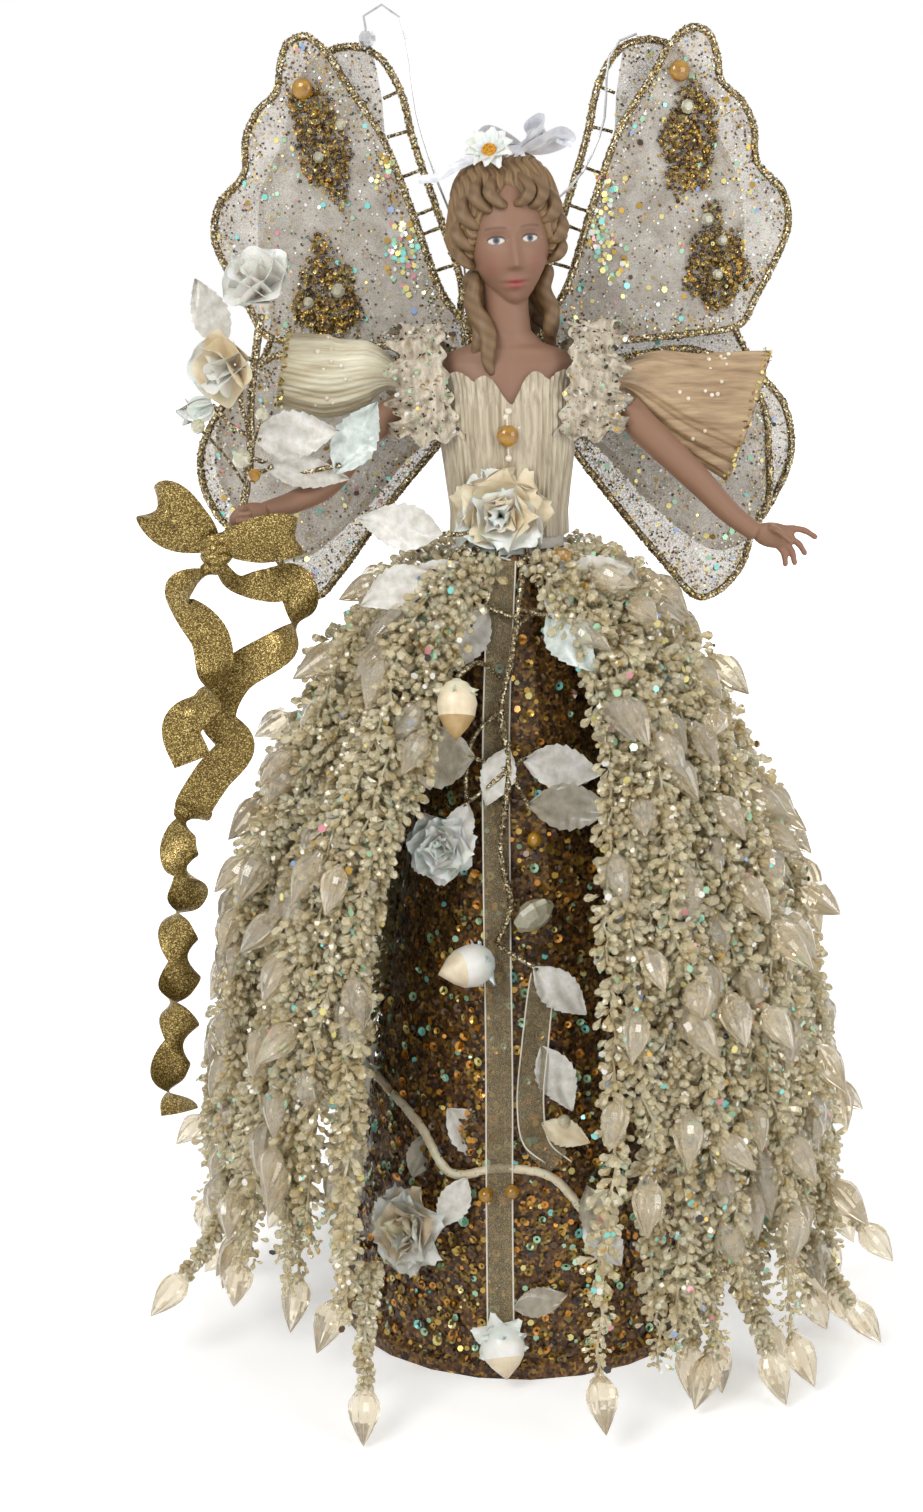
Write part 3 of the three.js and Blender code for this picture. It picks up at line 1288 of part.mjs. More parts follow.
addPiece('cone_shell', coneShell(), finish.glitter);
addPiece('centre_dowel', centreDowel(), finish.wood);
addPiece('torso_form', torsoForm(), finish.foam);
addPiece('bust', bust(), finish.porcelain);
addPiece('bodice', bodiceTube(), finish.pearlCloth);
addPiece('bodice_gem', bodiceGem(), finish.amber);
addPiece('hair_daisy', hairDaisy(), finish.petal);
addPiece('hair_bow', hairBow(), finish.satin);
for (const side of ['right', 'left']) {
  addPiece(`${side}_arm_wire`, armWire(side), finish.silverWire);
  addPiece(`${side}_arm`, armCasting(side), finish.porcelain);
  addPiece(`${side}_sleeve`, sleeveBody(side), finish.satin);
  addPiece(`${side}_lace_cap`, laceCapBand(side), finish.lace);
}
addPiece('wing_mount', wingMount(), finish.pearlCloth);
for (const side of ['right', 'left']) {
  addPiece(`${side}_upper_wing_wire`, upperWire(side), finish.goldWire);
  addPiece(`${side}_upper_wing_lace`, lacePanel(side, 'upper'), finish.lace);
  addPiece(`${side}_lower_wing_wire`, wire(loopPath(side, 'lower'), wing.wireRadius, 26, 5), finish.goldWire);
  addPiece(`${side}_lower_wing_lace`, lacePanel(side, 'lower'), finish.lace);
  addPiece(`${side}_rear_wing_wire`, rearWire(side), finish.goldWire);
  addPiece(`${side}_rear_wing_lace`, lacePanel(side, 'rear'), finish.lace);
  addPiece(`${side}_wing_tie_wire`, tieWire(side), finish.silverWire);
}
addPiece('bouquet_stem', bouquetStem(), finish.goldWire);
addPiece('bouquet_rose_top', seatedFlower(bloom(flower.large, roseShares), vector(-0.1, -0.75, 0.65),
  bouquetPlace(bouquetShares.top), stemCutter()), finish.petal);
addPiece('bouquet_rose_middle', seatedFlower(bloom(flower.middle, roseShares), vector(-0.2, -0.9, 0.35),
  bouquetPlace(bouquetShares.middle), bouquetStem()), finish.petal);
addPiece('bouquet_bud', seatedFlower(bloom(flower.bud, budShares), vector(-0.85, -0.2, -0.3),
  bouquetPlace(bouquetShares.bud), bouquetStem()), finish.petal);
addPiece('ribbon_bow', ribbonBow(), finish.goldRibbon);
addPiece('ribbon_tail_short', shortTail(), finish.goldRibbon);
addPiece('ribbon_tail_curled', curledTail(), finish.goldRibbon);
for (let index = 0; index < skirt.sprays; index += 1) {
  addPiece(`skirt_spray_${String(index + 1).padStart(2, '0')}`, spray(index), finish.bead);
}

addPiece('waist_rose', waistRose(), finish.petal);
addPiece('garland_stem', cut(garlandStem(), waistRose()), finish.goldWire);
addPiece('garland_bud', cut(aim(bloom(rose.bud, budShares, 4), vector(0.15, -0.3, -1),
  garlandPlace([-0.3659, 0.875])), garlandStem()), finish.petal);
addPiece('calyx_bud', cut(aim(bloom(rose.bud, budShares, 4), vector(-1, -0.2, -0.1),
  garlandPlace([-0.1871, 0.535])), garlandStem()), finish.petal);
addPiece('hem_sprig', hemSprig(), finish.goldWire);
addPiece('low_rose', cut(coneFlower([-0.5904, 0.2], rose.low, roseShares), sprigCutter()), finish.petal);
addPiece('hem_blossom', coneFlower([-0.1497, 0.05], rose.blossom, starShares, 6,
  sheerRibbon.standoff + sheerRibbon.thickness + seat), finish.petal);
addPiece('front_ribbon', frontRibbon(), finish.lace);

export default topper;
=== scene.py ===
import math
import bpy
import numpy as np
from mathutils import Matrix, Vector
from mathutils.geometry import delaunay_2d_cdt

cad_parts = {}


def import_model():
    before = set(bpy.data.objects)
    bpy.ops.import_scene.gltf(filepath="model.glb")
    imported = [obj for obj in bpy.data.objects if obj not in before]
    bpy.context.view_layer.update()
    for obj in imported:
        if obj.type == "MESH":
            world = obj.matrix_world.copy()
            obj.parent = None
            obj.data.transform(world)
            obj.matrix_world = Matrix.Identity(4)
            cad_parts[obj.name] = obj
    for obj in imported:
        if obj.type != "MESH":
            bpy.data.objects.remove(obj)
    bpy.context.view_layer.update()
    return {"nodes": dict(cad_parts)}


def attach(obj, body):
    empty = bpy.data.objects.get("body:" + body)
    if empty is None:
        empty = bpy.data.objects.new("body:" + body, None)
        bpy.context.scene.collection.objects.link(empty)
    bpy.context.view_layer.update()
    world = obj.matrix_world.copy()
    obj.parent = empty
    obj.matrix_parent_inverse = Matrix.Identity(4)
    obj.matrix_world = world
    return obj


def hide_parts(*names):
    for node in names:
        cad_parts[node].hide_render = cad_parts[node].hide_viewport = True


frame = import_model()

# Angel tree topper. Metres, +Z up, the front towards -Y. Right and left are the doll's own.
# Sizes that part.mjs has too keep its values.

# Camera
camera_place = (-0.0211, -0.9, 0.4404)
camera_aim = (-0.0211, 0.0, 0.23216)
camera_roll_deg = 1.4
camera_lens_mm = 54.99
camera_sensor_mm = 36.0

# Cone
cone_base_radius = 0.076
cone_top_radius = 0.024
cone_height = 0.316

# Figure: height, half width, half depth and how far forward
figure_rows = (
    (0.3163, 0.0210, 0.0140, 0.0000),
    (0.3300, 0.0206, 0.0132, 0.0000),
    (0.3620, 0.0246, 0.0164, 0.0020),
    (0.3710, 0.0252, 0.0160, 0.0020),
    (0.3764, 0.0256, 0.0150, 0.0014),
    (0.3834, 0.0262, 0.0132, 0.0004),
    (0.3874, 0.0278, 0.0120, 0.0000),
    (0.3910, 0.0235, 0.0108, -0.0004),
    (0.3944, 0.0140, 0.0094, -0.0006),
    (0.3990, 0.0096, 0.0086, -0.0004),
    (0.4070, 0.0087, 0.0082, 0.0002),
    (0.4240, 0.0090, 0.0086, 0.0010),
)
bust_base = 0.3713
bodice_base = 0.321
bodice_neckline = 0.381
bodice_scallop = 0.0044
bodice_dip = 0.009
bodice_cloth = 0.0012
pleat_depth = 0.0009
gem_height = 0.3608
gem_radius = 0.0042

# Head: the skull's middle and half sizes, then a plain face by the canon of halves and thirds
skull_middle = (0.0012, -0.0016, 0.4364)
skull_half = (0.0156, 0.0172, 0.0242)
head_top = 0.466
head_growth_shares = (1.03, 1.0, 1.08)
head_tilt_deg = 3.5
head_turn_deg = 6.0
eye_line = 0.4362
brow_line = 0.4396
nose_base = 0.4262
mouth_line = 0.4212
chin_line = 0.4146
eye_apart = 0.0062
eye_half_width = 0.0029
hair_middle = (0.0012, 0.0022, 0.4420)
hair_half = (0.0208, 0.0196, 0.0236)
hair_groove = 0.0007
ringlet_radius = 0.0024
daisy_radius = 0.0090
daisy_place = (-0.0052, -0.0100, 0.4655)
bow_place = (0.0080, -0.0030, 0.4660)
bow_ribbon_width = 0.0104

# Arms, hands and sleeves
shoulder_height = 0.3836
shoulder_out = 0.0310
shoulder_forward = 0.002
arm_reach = 0.074
arm_radii = (0.0064, 0.0060, 0.0056, 0.0046, 0.0037)
palm_half = (0.0084, 0.0030, 0.0050)
finger_radius = 0.0016
fingertip_radius = 0.0011
sleeve_length = 0.056
sleeve_neck_radius = 0.0056
sleeve_deepening = 0.004
sleeve_half_height = {"right": 0.0154, "left": 0.025}
sleeve_hollow = 0.009
cap_inside = 0.0175
cap_outside = 0.044
cap_front = 0.0148
cap_back = 0.0162
cap_top = 0.401
cap_hem = 0.358
cap_rag = 0.0016

# Wings
wing_root_offset = 0.014
wing_root_back = 0.024
wing_root_height = 0.385
wing_yaw_deg = 14
wing_span = 0.105
wing_rise = 0.127
wing_lower_span = {"right": 0.116, "left": 0.099}
wing_drop = 0.098
wing_wire_radius = 0.0017
wire_shown_share = 0.82
wing_stem_radius = 0.003
wing_stem_above = 0.019
wing_stem_below = 0.030
wing_layers = {"upper": 0.0, "lower": 0.0044, "rear": 0.010}
wing_bound = {"upper": (0.014, 0.005), "lower": (-0.001, -0.021), "rear": (0.0175, -0.027)}
ladder_width = 0.011
rung_radius = 0.0007
lace_wave = 0.0004
seat = 0.0003

# Bouquet and its ribbon
knot_place = (-0.1115, -0.035, 0.323)
bouquet_height = 0.112
bouquet_stem_radius = 0.0015
twig_radius = 0.0009
bouquet_leaf = (0.034, 0.021)
flower_large = 0.015
flower_middle = 0.0145
flower_bud = 0.009
ribbon_width = 0.015
ribbon_drop = 0.245
curl_radius = 0.0055
curl_count = 4

# Skirt
skirt_hem_radius = 0.134
skirt_rise = 0.312
skirt_gap_deg = 50
skirt_waist_gap_deg = 22
skirt_back_share = 0.9
skirt_lean_deg = 7
spray_count = 12
strands_a_spray = 14
drops_a_whorl = 8
drop_length = 0.0052
drop_width = 0.0031
whorl_step = 0.0041
bulb_length = 0.0215
bulb_radius = 0.0057
skirt_clear = 0.003
flake_radius = 0.0013
strand_reach = 0.0040
spray_lobe = 0.0105
strand_depths = (0.0, 0.004, 0.009)
floret_stray = 0.0042
loose_drops = 11

# Lamps: place, size and power
lamp_aim = (0.0, 0.0, 0.26)
lamps = {
    "key_lamp": ((-0.8, -1.2, 1.3), 0.7, 13.0),
    "fill_lamp": ((1.1, -1.1, 0.7), 0.8, 7.0),
    "back_lamp": ((0.3, 1.3, 1.1), 0.8, 8.0),
}
world_glow = 0.5
world_white = 1.0

# Floor: its glow near the object, and the distances where the glow starts to grow and is white
floor_reach = 6.0
floor_glow = 0.4
floor_near = 0.25
floor_far = 1.2

# Garland on the cone
garland_stem_radius = 0.0013
garland_standoff = 0.009
garland_leaf = (0.033, 0.019)
sprig_standoff = 0.0026
rose_waist = 0.0185
rose_low = 0.016
blossom_radius = 0.011
bud_radius = 0.0078
bud_length = 0.0235
bud_tip_share = 0.66
bud_standoff_share = 3.7
leaf_standoff_shares = (1.12, 1.0, 2.0)
cone_leaf_standoff = 0.0034
sprig_radius = 0.0017
low_rose_standoff = 0.008
sheer_width = 0.0102
sheer_standoff = 0.0054

side_sign = {"right": -1.0, "left": 1.0}
tiny = 1e-12
tiny_step = 1e-9

# Finishes: how deep their grain goes, and how far light goes into petals and porcelain
faint_grain = 0.0001
soft_grain = 0.0002
plain_grain = 0.0003
leaf_grain = 0.0004
crease_grain = 0.0005
glitter_grain = 0.0006
glow_depth = 0.004
leaf_glow_depth = 0.002


# Numbers and shapes

def chance(seed):
    return np.random.default_rng(seed)


def unit(v):
    v = np.asarray(v, float)
    return v / np.maximum(np.linalg.norm(v, axis=-1, keepdims=True), tiny)


def mixed(a, b, share):
    return a + (b - a) * share


def bell(*shares):
    """1 at the middle, falling to 0 as any share grows past 1."""
    return np.exp(-sum(np.square(s) for s in shares))


def ramp(x, low, high):
    t = np.clip((x - low) / (high - low), 0, 1)
    return t * t * (3 - 2 * t)


def through(points, count, closed=False):
    """A smooth path through the points, cut into equal steps."""
    p = np.asarray(points, float)
    p = np.vstack([p[-1:], p, p[:2]]) if closed else np.vstack([2 * p[0] - p[1], p, 2 * p[-1] - p[-2]])
    gaps = np.sqrt(np.maximum(np.linalg.norm(np.diff(p, axis=0), axis=1), tiny_step))
    knots = np.concatenate([[0], np.cumsum(gaps)])
    dense = []
    for i in range(1, len(p) - 2):
        t0, t1, t2, t3 = knots[i - 1:i + 3]
        t = np.linspace(t1, t2, 24, endpoint=False)[:, None]
        a1 = ((t1 - t) * p[i - 1] + (t - t0) * p[i]) / (t1 - t0)
        a2 = ((t2 - t) * p[i] + (t - t1) * p[i + 1]) / (t2 - t1)
        a3 = ((t3 - t) * p[i + 1] + (t - t2) * p[i + 2]) / (t3 - t2)
        b1 = ((t2 - t) * a1 + (t - t0) * a2) / (t2 - t0)
        b2 = ((t3 - t) * a2 + (t - t1) * a3) / (t3 - t1)
        dense.append(((t2 - t) * b1 + (t - t1) * b2) / (t2 - t1))
    dense.append(p[-2:-1])
    return stepped(np.vstack(dense), count)


def stepped(path, count):
    """The same path with count points, equally far apart."""
    run = np.concatenate([[0], np.cumsum(np.linalg.norm(np.diff(path, axis=0), axis=1))])
    at = np.linspace(0, run[-1], count)
    return np.stack([np.interp(at, run, path[:, k]) for k in range(path.shape[1])], axis=1)


def rotation(angle, axis):
    return np.array(Matrix.Rotation(angle, 3, axis))


def turns(count):
    """Angles once round, without the last."""
    return np.linspace(0, 2 * np.pi, count, endpoint=False)


def path_length(path):
    return float(np.linalg.norm(np.diff(path, axis=0), axis=1).sum())


def carried(path):
    """Directions along a path, and two that turn with it as little as they can."""
    along = unit(np.gradient(path, axis=0))
    side = np.zeros_like(along)
    first = np.cross(along[0], (0, 0, 1) if abs(along[0][2]) < 0.9 else (1, 0, 0))
    side[0] = unit(first)
    for i in range(1, len(path)):
        side[i] = unit(side[i - 1] - along[i] * np.dot(side[i - 1], along[i]))
    return along, side, np.cross(along, side)


def spread(side, other, angle):
    """Directions at an angle about a path, between its two that turn with it."""
    return side * np.cos(angle)[:, None] + other * np.sin(angle)[:, None]


def grid_faces(rows, columns, wrap=False):
    """Quads of a grid of points, row after row."""
    across = np.arange(columns if wrap else columns - 1)
    down = np.arange(rows - 1)[:, None]
    a = down * columns + across
    b = down * columns + (across + 1) % columns
    return np.stack([a, b, b + columns, a + columns], axis=-1).reshape(-1, 4)


def bases(along, spin, size):
    """Turning matrices that point a small shape's own +Z along each direction."""
    along = unit(along)
    helper = np.where(np.abs(along[:, 2:3]) > 0.9, (1.0, 0.0, 0.0), (0.0, 0.0, 1.0))
    side = unit(np.cross(helper, along))
    other = np.cross(along, side)
    x = side * np.cos(spin)[:, None] + other * np.sin(spin)[:, None]
    turned = np.stack([x, np.cross(along, x), along], axis=2)
    size = np.asarray(size, float)
    return turned * (size[:, None, None] if size.ndim == 1 else size[:, None, :])


def tumbled(dice, count, sizes):
    """Turning matrices every way, with sizes between two."""
    return bases(dice.normal(0, 1, (count, 3)), dice.uniform(0, 6, count), dice.uniform(*sizes, count))


class Heap:
    """The points and faces of one piece, as they are gathered."""

    def __init__(self):
        self.places = []
        self.faces = []
        self.marks = []
        self.smooths = []
        self.count = 0

    def add(self, places, faces, mark=0, smooth=True):
        faces = np.asarray(faces)
        self.places.append(np.asarray(places, float))
        self.faces.append(faces + self.count)
        self.marks.append(np.broadcast_to(mark, len(faces)))
        self.smooths.append(np.full(len(faces), smooth))
        self.count += len(places)
        return self

    def scatter(self, shape, turns, places, mark=0, smooth=False):
        """A copy of one small shape at each place, turned and sized by its matrix."""
        points, face_sets = shape
        number = len(places)
        if not number:
            return self
        moved = np.einsum("nij,pj->npi", turns, points) + np.asarray(places)[:, None, :]
        marks = np.broadcast_to(mark, number)
        starts = np.arange(number)[:, None, None] * len(points)
        first = self.count
        self.places.append(moved.reshape(-1, 3))
        self.count += number * len(points)
        for faces in face_sets:
            self.faces.append((faces[None] + starts).reshape(-1, faces.shape[1]) + first)
            self.marks.append(np.repeat(marks, len(faces)))
            self.smooths.append(np.full(number * len(faces), smooth))
        return self

    def strew(self, shape, directions, size, places, marks, dice):
        """Copies of a small shape, each spun by chance about its own direction."""
        return self.scatter(shape, bases(directions, dice.uniform(0, 6, len(places)), size), places, mark=marks)

    def put(self, shape, place=(0, 0, 0), size=1.0, mark=0, smooth=True):
        """One copy of a small shape, only sized and moved."""
        turn = np.diag(np.broadcast_to(np.asarray(size, float), 3))[None]
        return self.scatter(shape, turn, np.array([place], float), mark, smooth)

    def aim(self, shape, direction, place, size=1.0, mark=0, smooth=False):
        """One copy of a small shape, pointed along a direction."""
        size = np.broadcast_to(np.asarray(size, float), 3)[None]
        turn = bases(np.array([direction], float), np.zeros(1), size)
        return self.scatter(shape, turn, np.array([place], float), mark, smooth)

    def merge(self, other):
        for places in other.places:
            self.places.append(places)
        for faces, marks, smooths in zip(other.faces, other.marks, other.smooths):
            self.faces.append(faces + self.count)
            self.marks.append(marks)
            self.smooths.append(smooths)
        self.count += other.count
        return self

    def mesh(self, name):
        places = np.vstack(self.places)
        sizes = np.concatenate([np.full(len(f), f.shape[1]) for f in self.faces])
        loops = np.concatenate([f.ravel() for f in self.faces])
        mesh = bpy.data.meshes.new(name)
        mesh.vertices.add(len(places))
        mesh.vertices.foreach_set("co", places.astype(np.float32).ravel())
        mesh.loops.add(len(loops))
        mesh.loops.foreach_set("vertex_index", loops.astype(np.int32))
        mesh.polygons.add(len(sizes))
        starts = np.concatenate([[0], np.cumsum(sizes)[:-1]])
        mesh.polygons.foreach_set("loop_start", starts.astype(np.int32))
        mesh.polygons.foreach_set("material_index", np.concatenate(self.marks).astype(np.int32))
        mesh.polygons.foreach_set("use_smooth", np.concatenate(self.smooths))
        mesh.update(calc_edges=True)
        return mesh


def dyed(heap, mark):
    """The same heap, all of one of its piece's materials."""
    heap.marks = [np.full(len(marks), mark) for marks in heap.marks]
    return heap


def piece(name, heap, materials, body, slot, *replaced):
    """A piece of the scene from what was gathered, riding on its body."""
    thing = bpy.data.objects.new(name, heap.mesh(name))
    bpy.context.scene.collection.objects.link(thing)
    for material in materials:
        thing.data.materials.append(material)
    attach(thing, body)
    if replaced:
        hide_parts(*replaced)
    return thing


def end_fans(total, sides, flip=False):
    """Triangles that close rings of points at both ends, where the two end points come last."""
    around = np.arange(sides)
    after = (around + 1) % sides
    if flip:
        around, after = after, around
    last = total - 2 - sides
    foot = np.stack([np.full(sides, total - 2), after, around], axis=1)
    tip = np.stack([np.full(sides, total - 1), last + around, last + after], axis=1)
    return [foot, tip]


def tube(path, radius, sides=12, squash=1.0, ridge=None):
    """A tube along a path, with closed ends. The radius may change along it."""
    path = np.asarray(path, float)
    radius = np.broadcast_to(radius, len(path))
    _, side, other = carried(path)
    turn = turns(sides)
    reach = radius[:, None] * np.ones(sides)
    if ridge:
        reach = radius[:, None] * (1 + ridge(turn[None], np.linspace(0, 1, len(path))[:, None]))
    rings = path[:, None] + reach[..., None] * (
        side[:, None] * np.cos(turn)[None, :, None] + other[:, None] * squash * np.sin(turn)[None, :, None])
    points = np.vstack([rings.reshape(-1, 3), path[:1], path[-1:]])
    return Heap().put((points, [grid_faces(len(path), sides, wrap=True), *end_fans(len(points), sides)]))


def strip(path, across, width, columns=7, bow=0.0):
    """A ribbon along a path: across says which way its width lies at each point."""
    path = np.asarray(path, float)
    along = unit(np.gradient(path, axis=0))
    across = np.asarray(across, float)
    across = unit(across - along * (across * along).sum(axis=1, keepdims=True))
    normal = np.cross(along, across)
    t = np.linspace(-1, 1, columns)
    width = np.broadcast_to(width, len(path))
    points = path[:, None] + across[:, None] * (t[None, :, None] * width[:, None, None] / 2)
    points = points + normal[:, None] * (bow * (1 - t * t))[None, :, None]
    return points.reshape(-1, 3), grid_faces(len(path), columns)


def ball(rows=8, columns=12):
    """A unit ball about the origin."""
    polar = np.linspace(0, np.pi, rows + 1)[1:-1]
    turn = turns(columns)
    ring = np.stack(np.broadcast_arrays(
        np.sin(polar)[:, None] * np.cos(turn), np.sin(polar)[:, None] * np.sin(turn),
        np.cos(polar)[:, None]), axis=-1).reshape(-1, 3)
    points = np.vstack([ring, (0, 0, 1), (0, 0, -1)])
    sides = grid_faces(rows - 1, columns, wrap=True)[:, ::-1]
    return points, [sides, *end_fans(len(points), columns, flip=True)]


def spindle(profile, sides):
    """A solid turned about +Z, pointed at both ends: rows of (height, radius) between them."""
    profile = np.asarray(profile, float)
    turn = turns(sides)
    middle = profile[1:-1]
    rings = np.stack(np.broadcast_arrays(
        middle[:, 1:2] * np.cos(turn), middle[:, 1:2] * np.sin(turn), middle[:, :1]), axis=-1)
    points = np.vstack([rings.reshape(-1, 3), (0, 0, profile[0, 0]), (0, 0, profile[-1, 0])])
    return points, [grid_faces(len(middle), sides, wrap=True), *end_fans(len(points), sides)]


def flat_disc(sides=6, hole=0.0, cup=0.0):
    """A flake or sequin of radius 1 facing +Z, cupped a little, with or without its hole."""
    turn = turns(sides)
    rim = np.stack([np.cos(turn), np.sin(turn), np.full(sides, cup)], axis=1)
    if not hole:
        return rim, [np.arange(sides)[None]]
    inner = np.stack([hole * np.cos(turn), hole * np.sin(turn), np.zeros(sides)], axis=1)
    return np.vstack([inner, rim]), [grid_faces(2, sides, wrap=True)]


# Materials

def tint(red, green, blue):
    """A colour as it is seen, from 0 to 255, as Blender's own linear values."""
    def linear(v):
        v = v / 255
        return v / 12.92 if v <= 0.04045 else ((v + 0.055) / 1.055) ** 2.4
    return (linear(red), linear(green), linear(blue), 1.0)


def bare(name, colour, roughness, metallic=0.0, **sockets):
    """A material with its plain values on the shader. Words in socket names are joined by _."""
    material = bpy.data.materials.new(name)
    material.use_nodes = True
    shader = material.node_tree.nodes["Principled BSDF"]
    shader.inputs["Base Color"].default_value = colour
    shader.inputs["Roughness"].default_value = roughness
    shader.inputs["Metallic"].default_value = metallic
    for words, value in sockets.items():
        shader.inputs[words.replace("_", " ")].default_value = value
    return material


def node(material, kind, **settings):
    made = material.node_tree.nodes.new(kind)
    for key, value in settings.items():
        setattr(made, key, value)
    return made


def link(material, output, target):
    material.node_tree.links.new(output, target)


def shader_of(material):
    return material.node_tree.nodes["Principled BSDF"]


def object_places(material):
    return node(material, "ShaderNodeTexCoord").outputs["Object"]


def cells(material, scale, feature="F1"):
    """Small cells, each with a colour and a distance of its own."""
    made = node(material, "ShaderNodeTexVoronoi", feature=feature)
    made.inputs["Scale"].default_value = scale
    link(material, object_places(material), made.inputs["Vector"])
    return made


def mottle(material, scale, detail=4.0, roughness=0.6, stretch=None):
    """Soft noise over the surface, drawn out where stretch says."""
    made = node(material, "ShaderNodeTexNoise")
    made.inputs["Scale"].default_value = scale
    made.inputs["Detail"].default_value = detail
    made.inputs["Roughness"].default_value = roughness
    places = object_places(material)
    if stretch:
        mapping = node(material, "ShaderNodeMapping")
        mapping.inputs["Scale"].default_value = stretch
        link(material, places, mapping.inputs["Vector"])
        places = mapping.outputs["Vector"]
    link(material, places, made.inputs["Vector"])
    return made.outputs["Fac"]


def coloured(material, value, *stops):
    """Colours the surface by a value: each stop is a share and a colour."""
    made = node(material, "ShaderNodeValToRGB")
    ramp_stops = made.color_ramp.elements
    while len(ramp_stops) < len(stops):
        ramp_stops.new(0.5)
    for stop, (share, colour) in zip(ramp_stops, stops):
        stop.position = share
        stop.color = colour
    link(material, value, made.inputs["Fac"])
    return made.outputs["Color"]


def ranged(material, value, low, high, start=0.0, end=1.0):
    made = node(material, "ShaderNodeMapRange")
    made.inputs["From Min"].default_value = start
    made.inputs["From Max"].default_value = end
    made.inputs["To Min"].default_value = low
    made.inputs["To Max"].default_value = high
    link(material, value, made.inputs["Value"])
    return made.outputs["Result"]


def bumped(material, value, strength, distance):
    made = node(material, "ShaderNodeBump")
    made.inputs["Strength"].default_value = strength
    made.inputs["Distance"].default_value = distance
    link(material, value, made.inputs["Height"])
    link(material, made.outputs["Normal"], shader_of(material).inputs["Normal"])
    return material


def painted(material, colour):
    link(material, colour, shader_of(material).inputs["Base Color"])
    return material


def roughened(material, value, low, high):
    link(material, ranged(material, value, low, high), shader_of(material).inputs["Roughness"])
    return material


def clay(name, dark, light, roughness, scale, bump=plain_grain, **sockets):
    """A finish with soft patches between two colours and a fine grain."""
    material = bare(name, light, roughness, **sockets)
    patches = mottle(material, scale)
    painted(material, coloured(material, patches, (0.32, dark), (0.68, light)))
    roughened(material, patches, roughness * 0.8, min(roughness * 1.2, 1.0))
    return bumped(material, mottle(material, scale * 6), 0.35, bump) if bump else material


def glitter(name, ground, gold, dark, scale, metallic=0.55, spark=tint(250, 240, 205), **sockets):
    """Glitter glued on a ground: each grain has a colour and a slant of its own."""
    material = bare(name, gold, 0.35, metallic, **sockets)
    grains = cells(material, scale)
    shade = node(material, "ShaderNodeSeparateColor")
    link(material, grains.outputs["Color"], shade.inputs["Color"])
    painted(material, coloured(
        material, shade.outputs["Red"], (0.1, dark), (0.4, ground), (0.72, gold), (0.97, spark)))
    roughened(material, shade.outputs["Green"], 0.18, 0.6)
    return bumped(material, shade.outputs["Blue"], 0.9, glitter_grain)


def cloth(name, dark, light, roughness, weave, crinkle, stretch, **sockets):
    """Woven cloth: threads too fine to count, with creases drawn out along the cloth. Its colour is darker down
    in the creases, which is painted shade.
    """
    material = bare(name, light, roughness, **sockets)
    creases = mottle(material, crinkle, detail=5.0, stretch=stretch)
    # Darker colour where the creases sink: painted shade.
    painted(material, coloured(material, creases, (0.3, dark), (0.62, light)))
    roughened(material, creases, roughness * 0.75, roughness)
    threads = mottle(material, weave, detail=1.0)
    both = node(material, "ShaderNodeMath", operation="ADD")
    link(material, creases, both.inputs[0])
    link(material, ranged(material, threads, 0.0, 0.25), both.inputs[1])
    return bumped(material, both.outputs["Value"], 0.6, crease_grain)


def gauze(name, light, dark, film, mesh_scale):
    """Sheer cloth: a net of threads on a see-through film."""
    material = bare(name, light, 0.55, Sheen_Weight=0.4, Sheen_Roughness=0.4)
    net = cells(material, mesh_scale, "DISTANCE_TO_EDGE")
    thread = ranged(material, net.outputs["Distance"], 1.0, film, 0.03, 0.12)
    patches = mottle(material, 90.0)
    painted(material, coloured(material, patches, (0.35, dark), (0.65, light)))
    link(material, thread, shader_of(material).inputs["Alpha"])
    return bumped(material, thread, 0.4, plain_grain)


skin = bare("skin", tint(150, 112, 94), 0.55, Subsurface_Weight=0.06, Subsurface_Scale=glow_depth)
hair_paint = bare("hair_paint", tint(116, 88, 58), 0.5)
pleated = cloth("pleated_cloth", tint(150, 132, 106), tint(208, 196, 170), 0.42, 3800, 500, (1, 1, 0.06),
                Sheen_Weight=0.5, Sheen_Roughness=0.35, Coat_Weight=0.15)
sleeve_cloth = cloth("sleeve_cloth", tint(176, 156, 116), tint(222, 216, 190), 0.36, 3800, 260, (0.12, 1, 1),
                     Sheen_Weight=0.6, Sheen_Roughness=0.3, Coat_Weight=0.25)
# A darker copy of the sleeve cloth for the doll's left sleeve, on the side away from the key lamp: painted
# shade.
shaded_sleeve_cloth = cloth("shaded_sleeve_cloth", tint(136, 104, 72), tint(196, 168, 130), 0.36, 3800, 260, (0.12, 1, 1),
                   Sheen_Weight=0.5, Sheen_Roughness=0.3, Coat_Weight=0.25)
lace_cloth = cloth("lace_cloth", tint(128, 112, 88), tint(218, 206, 184), 0.6, 2500, 420, (1, 1, 0.2),
                   Sheen_Weight=0.4)
ribbon_white = cloth("ribbon_white", tint(206, 210, 222), tint(246, 246, 248), 0.35, 3000, 200, (1, 1, 1),
                     Sheen_Weight=0.5, Coat_Weight=0.3)
wing_gauze = gauze("wing_gauze", tint(208, 201, 190), tint(164, 153, 138), 0.66, 900)
sheer_ribbon = gauze("sheer_ribbon", tint(168, 154, 120), tint(140, 124, 90), 0.3, 1500)
sheer_edge = bare("sheer_edge", tint(240, 234, 220), 0.4, Sheen_Weight=0.4)
wire_glitter = glitter("wire_glitter", tint(104, 88, 60), tint(154, 134, 94), tint(58, 46, 32), 1700)
ribbon_glitter = glitter("ribbon_glitter", tint(112, 88, 38), tint(150, 124, 62), tint(76, 58, 24), 3000,
                         spark=tint(232, 210, 136))
card = glitter("glittered_card", tint(84, 56, 28), tint(118, 82, 38), tint(44, 28, 16), 800, metallic=0.25,
               spark=tint(158, 122, 60))
silver_wire = clay("silver_wire", tint(170, 170, 172), tint(214, 214, 214), 0.3, 300, faint_grain, Metallic=0.9)
foam = clay("foam", tint(214, 208, 196), tint(232, 228, 218), 0.9, 400)
wood = clay("wood", tint(150, 116, 74), tint(186, 152, 106), 0.75, 60)
